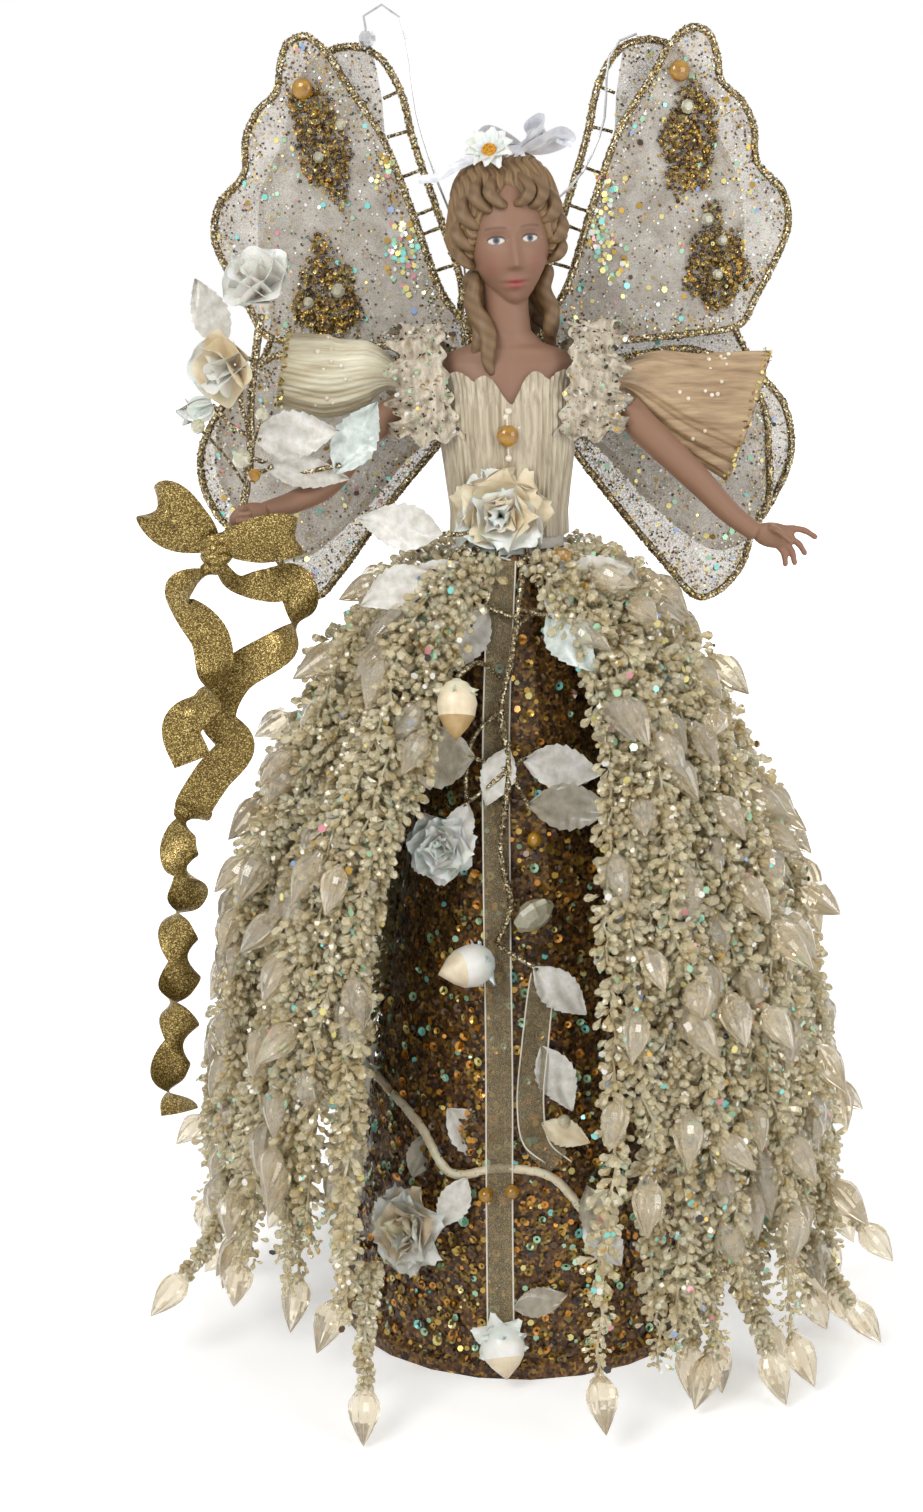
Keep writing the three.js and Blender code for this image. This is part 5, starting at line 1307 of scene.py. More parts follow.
# Lace caps: how far the waves of the ruffle, of its crumpled net, and of its two edges reach
cap_inset = 0.007
cap_ruffle = 0.0026
cap_pleat = 0.0009
cap_crumple = 0.0011
cap_scallop = 0.0024
cap_notch = 0.0013
cap_inner_wave = 0.0012
cap_lift = 0.0004
cap_glitter_sizes = (0.0003, 0.0009)
cap_glitter_stray = 0.0004
cap_bend_drop = 0.01
cap_clear_below = 0.3874

pad_half = (0.018, 0.0064, 0.0185)
pad_middle = (0.0, 0.0142, 0.3745)
pad_bluntness = 0.45


def neckline_height(turn):
    """The bodice's scalloped top, dipping at the middle of the front."""
    front = np.clip(np.sin(turn), 0, 1)
    scallops = np.abs(np.sin(turn * 6 + 0.3))
    dip = bodice_dip * bell((turn - np.pi / 2) / 0.22)
    return bodice_neckline + bodice_scallop * scallops * mixed(0.5, 1.0, front) - dip


def build_bodice():
    rows, sides = 46, 420
    turn = turns(sides)
    up = np.linspace(0, 1, rows)[:, None]
    heights = bodice_base + (neckline_height(turn)[None] - bodice_base) * up
    dice = chance(5)
    crinkle = np.zeros((rows, sides))
    for k in range(14):
        wave = turn[None] * dice.integers(18, 90) + dice.uniform(0, 6)
        crinkle += np.sin(wave + np.sin(up * dice.uniform(2, 7) + k) * 0.7) / 14 ** 0.5
    margin = seat * 2 + bodice_cloth + pleat_depth * 0.5 * crinkle + bodice_flare * ramp(up, 0.9, 1.0)
    heap = Heap().add(round_figure(heights, margin, turn).reshape(-1, 3), grid_faces(rows, sides, wrap=True))
    bodice = piece("bodice_pleated", heap, [pleated], "doll", "pearl_cloth", "bodice")


def build_bodice_gem():
    place = np.array([gem_across, -chest_depth - bodice_cloth - seat * 2 - gem_lift, gem_height])
    gem = Heap().aim(ball(10, 18), (0, -1, 0), place, (gem_radius, gem_radius, gem_rise), smooth=True)
    piece("bodice_cabochon", gem, [amber_glass], "doll", "amber", "bodice_gem")
    beads = Heap()
    across, up, radii = np.array(bodice_pearls).T
    spots = place + np.stack([across, np.full(len(radii), pearl_lift), up], axis=1)
    turned = bases(np.tile((0, 0, 1.0), (len(radii), 1)), np.zeros(len(radii)), radii)
    beads.scatter(ball(8, 12), turned, spots, smooth=True)
    beads.merge(tube(through(place + np.array(pearl_thread), 8), thread_radius, 6))
    piece("bodice_pearls", beads, [pearl], "doll", "pearl_cloth")


def shoulder_point(side):
    return np.array([side_sign[side] * shoulder_out, -shoulder_forward, shoulder_height])


def from_shoulder(side, shares, reach, count):
    """A path from the shoulder out to its side."""
    return through(shoulder_point(side) + np.array(shares[side]) * (side_sign[side], 1, 1) * reach, count)


def build_arm(side):
    """A cast forearm and hand, grown into one skin."""
    path = from_shoulder(side, arm_shares, arm_reach, 40)
    heap = tube(path, np.interp(np.linspace(0, 1, 40), np.linspace(0, 1, 5), arm_radii), 24)
    wrist, along = path[-1], unit(path[-1] - path[-2])
    out = unit(along * (1, 1, 0.2)) if side == "left" else along
    middle = wrist + out * palm_half[0] * 0.8
    face = unit(np.array([0, -1.0, 0]) + out * out[1])
    up = np.cross(out, face)
    up = up * np.sign(up[2])
    pad = np.stack([out * palm_half[0], -face * palm_half[1], up * palm_half[2]], axis=1)
    heap.scatter(ball(16, 24), pad[None], middle[None], smooth=True)
    for route in finger_shares[side]:
        points = [middle + palm_half[0] * ((a - 0.2) * out + b * up - c * face) for a, b, c in route]
        finger = through(points, 14)
        knuckles = 1 + 0.07 * np.cos(np.linspace(0, 3 * 2 * np.pi, 14))
        heap.merge(tube(finger, np.linspace(finger_radius, fingertip_radius, 14) * knuckles, 12))
        heap.put(ball(8, 12), finger[-1], fingertip_radius)
    arm = piece(f"{side}_arm_skin", heap, [], f"{side}_arm_group", "porcelain", f"{side}_arm")
    merged(arm, arm_voxel, 3)
    arm.data.materials.append(skin)
    reach = np.linalg.norm(points_of(arm) - shoulder_point(side), axis=1)
    ends = ramp(reach, arm_reach * 1.25, arm_reach * 1.55)[:, None]
    paint_on(arm, mixed(np.array(tint(146, 110, 86)), np.array(tint(156, 104, 86)), ends * 0.5))


def build_sleeve(side):
    """A gathered puff: creases fan out from the shoulder, and the mouth is drawn in."""
    rows, sides, hem_rows = 60, 260, 6
    route = from_shoulder(side, sleeve_path_shares, sleeve_length, rows)
    along = unit(np.gradient(route, axis=0))
    back = np.tile((0, 1.0, 0), (rows, 1))
    up = unit(np.cross(along, back))
    way = np.linspace(0, 1, rows)
    swell = np.interp(way, np.linspace(0, 1, 4), sleeve_swell_shares[side])
    tall = np.maximum(sleeve_neck_radius, swell * sleeve_half_height[side])
    deep = np.maximum(sleeve_neck_radius, sleeve_neck_radius + swell * sleeve_deepening)
    turn = turns(sides)[None]
    dice = chance(31 if side == "right" else 37)
    fold = np.zeros((rows, sides))
    for _ in range(16):
        count = int(dice.integers(7, 46))
        wander = dice.uniform(-1.2, 1.2) * way[:, None] ** 2
        fold += np.sin(turn * count + dice.uniform(0, 6) + wander) * (8 / count) ** 0.6 / 5
    crease = 1 + 0.13 * fold * way[:, None] ** 0.7
    ring = (route[:, None] + up[:, None] * (tall[:, None] * crease * np.cos(turn))[..., None]
            + back[:, None] * (deep[:, None] * crease * np.sin(turn))[..., None])
    share = (np.arange(1, hem_rows + 1) / hem_rows)[:, None, None]
    hem = route[-1] + (ring[-1] - route[-1]) * (1 - 0.45 * share) - along[-1] * sleeve_hollow * share
    heap = Heap().add(np.vstack([ring, hem]).reshape(-1, 3), grid_faces(rows + hem_rows, sides, wrap=True))
    # The doll's left sleeve takes the darker copy of the cloth: painted shade.
    kept = sleeve_cloth if side == "right" else shaded_sleeve_cloth
    body = f"{side}_arm_group"
    sleeve = piece(f"{side}_sleeve_puff", heap, [kept], body, "satin", f"{side}_sleeve")
    trim = Heap()
    edge = stepped(np.vstack([ring[-2], ring[-2][:1]]), 120)
    grains = tumbled(dice, 240, sleeve_glitter_sizes)
    spots = edge[dice.integers(0, 120, 240)] + dice.normal(0, sleeve_glitter_stray, (240, 3))
    trim.scatter(flat_disc(6), grains, spots, mark=dice.integers(1, 4, 240))
    spots = dice.integers(0, rows * sides // 4, 26) + rows * sides // 2
    sizes = dice.uniform(*sleeve_bead_sizes, 26)
    trim.scatter(ball(6, 10), np.eye(3) * sizes[:, None, None], ring.reshape(-1, 3)[spots], smooth=True)
    piece(f"{side}_sleeve_beads", trim, [pearl, *flakes_of("gold olive yellow")], body, "bead")


def cap_path(across):
    """Over the shoulder, from the front hem to the back."""
    between = (cap_hem + shoulder_height) / 2
    bend = (shoulder_height + cap_top * 2) / 3
    return through([
        (across, -cap_front * 0.97, cap_hem), (across, -cap_front * 1.05, between),
        (across, -cap_front, shoulder_height), (across, -cap_front * 0.7, bend), (across, 0, cap_top),
        (across, cap_back * 0.62, bend), (across, cap_back * 0.96, shoulder_height),
        (across, cap_back, between),
    ], 110)


def build_lace_cap(side):
    """Ruffled lace over the shoulder, in one strip."""
    sign = side_sign[side]
    across = sign * (cap_outside + cap_inside) / 2
    path = cap_path(across)
    columns, width = 26, cap_outside - cap_inside
    places, faces = strip(path, np.tile((sign, 0, 0), (len(path), 1)), width, columns)
    grid = places.reshape(len(path), columns, 3)
    way = np.linspace(0, 1, len(path))[:, None]
    round_way = way * 2 * np.pi
    t = np.linspace(0, 1, columns)[None]
    normal = np.cross(unit(np.gradient(path, axis=0)), (1.0, 0, 0))
    outward = path - (across, 0, shoulder_height - cap_bend_drop)
    normal *= np.sign((normal * outward).sum(axis=1, keepdims=True))
    ruffle = cap_ruffle * t ** 1.3 * np.sin(round_way * 9 + 3 * t)
    ruffle = ruffle + cap_pleat * np.sin(round_way * 23 + t * 9) * t
    ruffle = ruffle + cap_crumple * np.sin(way * 53 + t * 8) * np.sin(t * 17 + way * 29)
    inner = cap_inset * np.sin(np.pi * way) * (1 - t) - cap_inner_wave * np.sin(round_way * 11) * (1 - t) ** 3
    outer = (cap_scallop * np.sin(round_way * 7.3) + cap_notch * np.sin(round_way * 17.1 + 1)) * t ** 2
    grid[..., 0] += sign * (inner + outer)
    grid += normal[:, None] * (ruffle + cap_lift)[..., None]
    near_hem = np.clip(1 - way / 0.16, 0, 1) + np.clip((way - 0.86) / 0.14, 0, 1)
    grid[..., 2] += near_hem * cap_rag * (np.sin(t * 19) + np.sin(t * 7 + 1) + 2 * t)
    grid += normal[:, None] * figure_clear(grid)[..., None]
    heap = Heap().add(grid.reshape(-1, 3), faces)
    cap = piece(f"{side}_lace_cap_ruffled", heap, [lace_cloth], "doll", "lace", f"{side}_lace_cap")
    dice = chance(41 if side == "right" else 43)
    trim = Heap()
    count = 800
    spots = grid.reshape(-1, 3)[dice.integers(0, len(path) * columns, count)]
    least, more = cap_glitter_sizes
    directions, spin = dice.normal(0, 1, (count, 3)), dice.uniform(0, 6, count)
    grains = bases(directions, spin, least + more * dice.random(count) ** 3)
    spots = spots + dice.normal(0, cap_glitter_stray, (count, 3))
    trim.scatter(flat_disc(6), grains, spots, mark=dice.integers(0, 5, count))
    piece(f"{side}_lace_cap_glitter", trim, flakes_of("gold white brown dark green"), "doll", "lace")


def figure_clear(grid):
    """How far points have to move out to clear the bodice."""
    half_width, half_depth, forward = figure_at(grid[..., 2])
    margin = bodice_cloth * 2 + pleat_depth
    x = grid[..., 0] / (half_width + margin)
    y = (grid[..., 1] + forward) / (half_depth + margin)
    short = np.clip(1 - np.hypot(x, y), 0, 1) * (half_depth + margin)
    return np.where(grid[..., 2] < cap_clear_below, short, 0.0)


def build_pad():
    """Padded block on the doll's back, which the wings are bound to."""
    points, face_sets = ball(28, 40)
    blocky = np.sign(points) * np.abs(points) ** pad_bluntness
    heap = Heap().put((blocky * pad_half + pad_middle, face_sets))
    pad = piece("wing_pad_covered", heap, [pleated], "doll", "pearl_cloth", "wing_mount")


# Wings

upper_shares = (
    (0.1, 0.22), (0.2, 0.45), (0.32, 0.7), (0.45, 0.86), (0.52, 0.95), (0.6, 1), (0.67, 0.98), (0.7, 0.92),
    (0.72, 0.84), (0.8, 0.78), (0.85, 0.7), (0.86, 0.6), (0.97, 0.5), (0.99, 0.4), (0.93, 0.28),
    (0.86, 0.18), (0.8, 0.1), (0.6, 0.075), (0.3, 0.06),
)
lower_shares = {
    "right": ((0.32, 0.03), (0.62, 0.06), (0.76, 0.01), (0.92, -0.18), (1, -0.36), (0.99, -0.52), (0.91, -0.67),
              (0.76, -0.76), (0.67, -0.9), (0.59, -0.96), (0.5, -0.86), (0.32, -0.58), (0.14, -0.34)),
    "left": ((0.36, 0.01), (0.66, 0.03), (0.87, -0.08), (0.97, -0.22), (0.99, -0.4), (0.99, -0.6),
             (0.92, -0.74), (0.87, -0.88), (0.77, -0.98), (0.68, -1), (0.52, -0.83), (0.3, -0.56),
             (0.12, -0.32)),
}
rear_shares = (
    (0.05, 0.25), (0.14, 0.48), (0.22, 0.68), (0.27, 0.84), (0.35, 0.94), (0.45, 0.97), (0.56, 0.95),
    (0.66, 0.86), (0.72, 0.7), (0.82, 0.52), (0.83, 0.3), (0.8, 0.12), (0.9, -0.06), (1.02, -0.22),
    (1.05, -0.42), (0.98, -0.6), (0.86, -0.76), (0.74, -0.8), (0.5, -0.62), (0.22, -0.32),
)
wing_names = ("upper", "lower", "rear")
ladder_share = 0.22
rung_count = 6
lace_step = 0.003
lace_join = 1e-7

# Colours of the wing's flakes, and how common each is in the fine glitter and among the larger flakes
wing_flakes = "brown dark gold olive yellow green cyan pink white blue amber"
fine_glitter_shares = (0.30, 0.10, 0.20, 0.12, 0.04, 0.03, 0.01, 0.01, 0.18, 0.01, 0.0)
large_flake_shares = (0.0, 0.05, 0.10, 0.0, 0.33, 0.17, 0.16, 0.07, 0.08, 0.04, 0.0)
bead_flakes = "gold olive brown dark amber yellow"
bead_shares = (0.22, 0.40, 0.24, 0.09, 0.02, 0.03)
bright_flakes = "yellow green gold cyan white pink"
bright_shares = (0.36, 0.22, 0.16, 0.08, 0.12, 0.06)
wire_flakes = "gold brown yellow olive white"
wire_flake_shares = (0.36, 0.26, 0.12, 0.16, 0.10)

# Glitter on the gauze: sizes, how far off it, and the distances from the edge where the glitter thins out
fine_glitter_sizes = (0.00028, 0.00062)
fine_glitter_lift = 0.0003
glitter_edge = (-0.013, -0.002)
large_flake_sizes = (0.0007, 0.0014)
large_flake_lift = 0.0005
cluster_bead_sizes = (0.0006, 0.00095)
cluster_depths = (0.0004, 0.0022)
bright_depths = (0.0005, 0.0010)
wire_grain_sizes = (0.0003, 0.0006)
wire_grain_slide = 0.001
cabochon_half = (0.0042, 0.0042, 0.0024)
cabochon_lift = 0.0016
clear_gem_sizes = (0.0022, 0.0030)
clear_gem_lift = 0.0014

# Sequin clusters as shares of the wing's span and rise: middle, half width, half height, lean and count
cluster_shares = {
    "right": ((0.55, 0.69, 0.10, 0.19, -17, 820), (0.55, 0.20, 0.135, 0.12, 0, 760),
              (0.57, 0.35, 0.05, 0.07, 0, 110)),
    "left": ((0.59, 0.66, 0.11, 0.17, -8, 780), (0.70, 0.27, 0.13, 0.12, 0, 760),
             (0.68, 0.42, 0.04, 0.07, 0, 90)),
}
# Patches of bright flakes, the same way
patch_shares = {
    "right": ((0.25, 0.35, 0.07, 0.12, 0, 60), (0.32, 0.62, 0.05, 0.08, 0, 16)),
    "left": ((0.24, 0.43, 0.05, 0.16, 0, 60), (0.3, 0.3, 0.05, 0.08, 0, 18)),
}
cabochon_shares = {"right": (0.615, 0.845), "left": (0.55, 0.87)}
clear_gem_shares = {
    "right": ((0.62, 0.20), (0.50, 0.235), (0.56, 0.64), (0.47, 0.735)),
    "left": ((0.58, 0.765), (0.66, 0.425), (0.72, 0.36), (0.70, 0.255)),
}


def wing_axes(side):
    sign, yaw = side_sign[side], math.radians(wing_yaw_deg)
    root = np.array([sign * wing_root_offset, wing_root_back, wing_root_height])
    out = np.array([sign * math.cos(yaw), math.sin(yaw), 0])
    back = np.array([-sign * math.sin(yaw), math.cos(yaw), 0])
    return root, out, back


def wing_places(side, flat, layer):
    """Places on a wing from how far out and up they are, and how far back their layer is."""
    root, out, back = wing_axes(side)
    flat = np.asarray(flat, float)
    layer = np.broadcast_to(layer, len(flat))
    return root + flat[:, :1] * out + flat[:, 1:2] * (0, 0, 1) + layer[:, None] * back


def wing_outline(side, name):
    if name == "upper":
        return np.array(upper_shares) * (wing_span, wing_rise)
    if name == "lower":
        return np.array(lower_shares[side]) * (wing_lower_span[side], wing_drop)
    shares = np.array(rear_shares)
    tall = np.where(shares[:, 1] > 0, wing_rise, wing_drop)
    return shares * np.stack([np.full(len(shares), wing_span), tall], axis=1)


def wing_loop(side, name, count):
    """The wire's loop, from the stem round the outline and back to it."""
    low, high = wing_bound[name]
    layer = wing_layers[name]
    stub = wing_stem_radius + wing_wire_radius
    outline = list(wing_outline(side, name))
    if layer > 0:
        on_stem = stub + seat
        flat = [(0, low), (stub, low), *outline, (stub, high), (0, high)]
        between = (on_stem + layer) / 2
        depths = [on_stem, between, *[layer] * len(outline), between, on_stem]
    else:
        flat = [(0, low), *outline, (0, high)]
        depths = [0.0] * len(flat)
    return through(wing_places(side, flat, np.array(depths)), count)


def drawn_in(side, name, count, margin_at):
    """The wing's outline, drawn in by a margin that may change along it."""
    low, high = wing_bound[name]
    stub = wing_stem_radius + wing_wire_radius
    flat = np.array([(stub, low - wing_wire_radius), *wing_outline(side, name), (stub, high)])
    sampled = through(flat, count + 1, closed=True)[:-1]
    along = unit(np.roll(sampled, -1, axis=0) - np.roll(sampled, 1, axis=0))
    margins = np.array([margin_at(i / count) for i in range(count)])
    return sampled + np.stack([along[:, 1], -along[:, 0]], axis=1) * margins[:, None]


def ladder_reach(way):
    return ladder_width * math.sin(math.pi * min(way / ladder_share, 1)) ** 0.5


def inside_outline(points, outline):
    """Which points lie within a closed outline, by counting the edges to their right."""
    x, y = points[:, :1], points[:, 1:2]
    x0, y0 = outline.T
    x1, y1 = np.roll(outline, -1, axis=0).T
    crosses = (y0 > y) != (y1 > y)
    at = x0 + (y - y0) * (x1 - x0) / np.where(y1 == y0, tiny, y1 - y0)
    return (crosses & (x < at)).sum(axis=1) % 2 == 1


def edge_distance(points, outline):
    a, b = outline, np.roll(outline, -1, axis=0)
    ab = b - a
    t = np.clip(((points[:, None] - a) * ab).sum(-1) / np.maximum((ab * ab).sum(-1), tiny), 0, 1)
    return np.linalg.norm(points[:, None] - (a + t[..., None] * ab), axis=-1).min(axis=1)


def ripple(flat):
    return lace_wave * (np.sin(flat[:, 0] * 130) + np.sin(flat[:, 1] * 110 + flat[:, 0] * 60))


def build_wing_lace(side, name):
    """The gauze inside a loop, cut to its outline and filled with small triangles."""
    def margin_at(way):
        ladder = name == "rear" and way <= ladder_share
        return wing_wire_radius * 0.4 + (ladder_reach(way) if ladder else 0)

    outline = drawn_in(side, name, 130, margin_at)
    low, high = outline.min(axis=0), outline.max(axis=0)
    xs, ys = np.meshgrid(*(np.arange(a, b, lace_step) for a, b in zip(low, high)))
    shift = (np.round(ys.ravel() / lace_step) % 2) * lace_step / 2
    spots = np.stack([xs.ravel() + shift, ys.ravel()], axis=1)
    spots = spots[inside_outline(spots, outline)]
    spots = spots[edge_distance(spots, outline) > lace_step * 0.5]
    flat = [Vector(p) for p in np.vstack([outline, spots])]
    edges = [(i, (i + 1) % len(outline)) for i in range(len(outline))]
    kept, _, faces, *_ = delaunay_2d_cdt(flat, edges, [], 1, lace_join)
    kept = np.array([tuple(p) for p in kept])
    places = wing_places(side, kept, wing_layers[name] + ripple(kept))
    heap = Heap().add(places, np.array([tuple(f) for f in faces]))
    wing = f"{side}_{name}_wing"
    lace = piece(f"{wing}_gauze", heap, [wing_gauze], f"{side}_wing", "lace", f"{wing}_lace")
    return outline


def on_both_faces(side, flat, layer, dice, lift):
    way = np.where(dice.random(len(flat)) < 0.72, -1.0, 1.0)
    places = wing_places(side, flat, layer + ripple(flat) + way * lift)
    _, _, back = wing_axes(side)
    return places, back * way[:, None] + dice.normal(0, 0.22, (len(flat), 3))


def scatter_inside(outline, count, dice):
    low, high = outline.min(axis=0), outline.max(axis=0)
    spots = dice.uniform(low, high, (count * 3, 2))
    return spots[inside_outline(spots, outline)][:count]


def patch_spots(row, dice):
    """Places scattered in a leaning oval on the wing, with an uneven edge."""
    across, up, half_width, half_height, lean_deg, count = row
    span = np.array([wing_span, wing_rise])
    angle = dice.uniform(0, 2 * np.pi, count)
    reach = np.sqrt(dice.random(count)) * (1 + 0.12 * np.sin(angle * 5 + across * 40))
    reach = reach * dice.uniform(0.9, 1.08, count)
    local = np.stack([np.cos(angle) * half_width, np.sin(angle) * half_height], axis=1) * span * reach[:, None]
    return local @ rotation(-math.radians(lean_deg), "Z")[:2, :2] + np.array([across, up]) * span


def marks_of(names, shares, count, dice):
    """Which of the wing's flakes each one is, by its colour."""
    places = [wing_flakes.split().index(name) for name in names.split()]
    return np.array(places)[dice.choice(len(places), count, p=shares)]


def build_wing_sequins(side, outlines, dice):
    """Glitter, flakes and clusters of sequins on the gauze."""
    heap = Heap()
    for name, outline in outlines.items():
        layer = wing_layers[name]
        for count, sizes, shares, shape, lift in (
                (4800, fine_glitter_sizes, fine_glitter_shares, flat_disc(5), fine_glitter_lift),
                (90, large_flake_sizes, large_flake_shares, flat_disc(6), large_flake_lift)):
            spots = scatter_inside(outline, count, dice)
            if shares is fine_glitter_shares:
                near = edge_distance(spots, outline)
                spots = spots[dice.random(len(spots)) < mixed(0.22, 1.0, ramp(-near, *glitter_edge))]
            places, directions = on_both_faces(side, spots, layer, dice, lift)
            marks = dice.choice(len(shares), len(spots), p=shares)
            heap.strew(shape, directions, dice.uniform(*sizes, len(spots)), places, marks, dice)
    _, _, back = wing_axes(side)
    for row in cluster_shares[side]:
        spots = patch_spots(row, dice)
        count = len(spots)
        places = wing_places(side, spots, ripple(spots) - dice.uniform(*cluster_depths, count))
        directions = dice.normal(0, 0.4, (count, 3)) - back
        size = dice.uniform(*cluster_bead_sizes, count)
        turned = bases(directions, dice.uniform(0, 6, count), size)
        marks = marks_of(bead_flakes, bead_shares, count, dice)
        heap.scatter(flat_disc(8, hole=0.3, cup=0.3), turned, places, mark=marks)
    for row in patch_shares[side]:
        spots = patch_spots(row, dice)
        count = len(spots)
        places = wing_places(side, spots, ripple(spots) - dice.uniform(*bright_depths, count))
        directions = dice.normal(0, 0.2, (count, 3)) - back
        turned = bases(directions, dice.uniform(0, 6, count), dice.uniform(*large_flake_sizes, count))
        heap.scatter(flat_disc(6), turned, places, mark=marks_of(bright_flakes, bright_shares, count, dice))
    piece(f"{side}_wing_sequins", heap, flakes_of(wing_flakes), f"{side}_wing", "gold_ribbon")


def build_wing_gems(side, dice):
    """An amber cabochon and faceted clear gems near each wing's clusters."""
    span = np.array([wing_span, wing_rise])
    _, _, back = wing_axes(side)
    spot = wing_places(side, np.array([cabochon_shares[side]]) * span, -cabochon_lift)[0]
    gems = Heap().aim(ball(10, 16), -back, spot, cabochon_half, smooth=True)
    spots = wing_places(side, np.array(clear_gem_shares[side]) * span, -clear_gem_lift)
    count = len(spots)
    facet = spindle(((-0.3, 0), (0, 0.75), (0.25, 1), (0.7, 0.55), (0.72, 0)), 8)
    size = dice.uniform(*clear_gem_sizes, count)
    gems.scatter(facet, bases(np.tile(-back, (count, 1)), dice.uniform(0, 3, count), size), spots, mark=1)
    piece(f"{side}_wing_gems", gems, [amber_glass, clear_gem], f"{side}_wing", "amber")


def rough(path, radius, seed, sides=14):
    """A wire with glitter glued all over it."""
    grain = chance(seed).uniform(-0.10, 0.16, (len(path), sides))
    return tube(path, radius, sides, ridge=lambda turn, way: grain)


def glitter_along(path, radius, per_metre, dice):
    """Places and directions for glitter on a wire."""
    count = int(path_length(path) * per_metre)
    along, side, other = carried(path)
    at = dice.integers(0, len(path), count)
    out = spread(side[at], other[at], dice.uniform(0, 2 * np.pi, count))
    slide = along[at] * dice.uniform(-wire_grain_slide, wire_grain_slide, count)[:, None]
    return path[at] + slide + out * radius, out + dice.normal(0, 0.4, (count, 3))


def wing_stem(side):
    up = np.linspace(-wing_stem_below, wing_stem_above, 70)
    return wing_places(side, np.stack([np.zeros(70), up], axis=1), 0.0)


def ladder_rungs(side):
    """Short wires between the rear wing's loop and its gauze."""
    rows = 64
    edge = drawn_in(side, "rear", rows, lambda way: 0.0)
    inner = drawn_in(side, "rear", rows, ladder_reach)
    heap = Heap()
    for i in range(1, rung_count + 1):
        at = 1 + round(i / (rung_count + 1) * rows * ladder_share * 0.9)
        ends = wing_places(side, np.array([edge[at], inner[at]]), wing_layers["rear"])
        heap.merge(rough(stepped(ends, 12), rung_radius, 95 + i, 8))
    return heap


def build_wing_wires(side):
    dice = chance(71 if side == "right" else 73)
    shown = wing_wire_radius * wire_shown_share
    for k, name in enumerate(wing_names):
        path = wing_loop(side, name, 420)
        heap = Heap().merge(rough(path, shown, 80 + k))
        places, directions = glitter_along(path, shown * 1.08, 5200, dice)
        if name == "upper":
            stem = wing_stem(side)
            heap.merge(rough(stem, wing_stem_radius, 90 + k, 18))
            more = glitter_along(stem, wing_stem_radius * 1.08, 9000, dice)
            places, directions = np.vstack([places, more[0]]), np.vstack([directions, more[1]])
        if name == "rear":
            heap.merge(ladder_rungs(side))
        marks = 1 + dice.choice(len(wire_flake_shares), len(places), p=wire_flake_shares)
        size = dice.uniform(*wire_grain_sizes, len(places))
        heap.strew(flat_disc(5), directions, size, places, marks, dice)
        wire = f"{side}_{name}_wing_wire"
        kinds = [wire_glitter, *flakes_of(wire_flakes)]
        piece(f"{wire}_glittered", heap, kinds, f"{side}_wing", "gold_wire", wire)


def build_wings():
    for side in side_sign:
        build_wing_wires(side)
        outlines = {name: build_wing_lace(side, name) for name in wing_names}
        dice = chance(61 if side == "right" else 67)
        build_wing_sequins(side, outlines, dice)
        build_wing_gems(side, dice)


# Bouquet and its ribbon

stem_shares = ((0, 0.06, -0.03), (0.07, 0.06, 0.07), (0.115, 0.1, 0.26), (0.13, 0.13, 0.5), (0.17, 0.17, 0.76))
bouquet_shares = {
    "top": (0.175, 0.2, 0.84), "middle": (0.085, 0.02, 0.6), "bud": (0, 0.1, 0.47),
    "leaf_high": (0.02, 0.15, 0.72), "leaf_wide": (0.22, 0.12, 0.36), "leaf_low": (0.25, 0.06, 0.25),
    "leaf_far": (0.45, 0.1, 0.3),
}
# Where each leaf leaves the stem, its place, its size, and its turn in the front view
bouquet_leaf_shares = (
    (0.82, "leaf_high", 0.84, 0.72, 112, 10, 1), (0.5, "leaf_wide", 0.98, 0.92, 4, -6, 0),
    (0.38, "leaf_low", 1.0, 0.62, -12, 12, 1), (0.44, "leaf_far", 0.92, 0.86, 58, 4, 2),
)
twig_sag_share = 0.12
# Crystals: their places from the knot, and their sizes
crystal_places = ((0.012, -0.010, 0.034), (0.0165, -0.012, 0.028), (-0.004, -0.006, 0.046),
                  (0.020, -0.008, 0.050))
crystal_sizes = (0.0042, 0.0030, 0.0034, 0.0030)
crystal_twig_bow = (0, -0.002, 0.002)
flowers = (
    ("bouquet_rose_top", flower_large, full_row_shares, (-0.25, -0.75, 0.6), "top", 0.012, False),
    ("bouquet_rose_middle", flower_middle, full_row_shares, (-0.5, -0.8, -0.1), "middle", 0.012, True),
    ("bouquet_bud", flower_bud, bud_row_shares, (-0.85, -0.2, -0.3), "bud", 0.02, False),
)


def bouquet_place(name):
    return np.array(knot_place) + np.array(bouquet_shares[name]) * bouquet_height


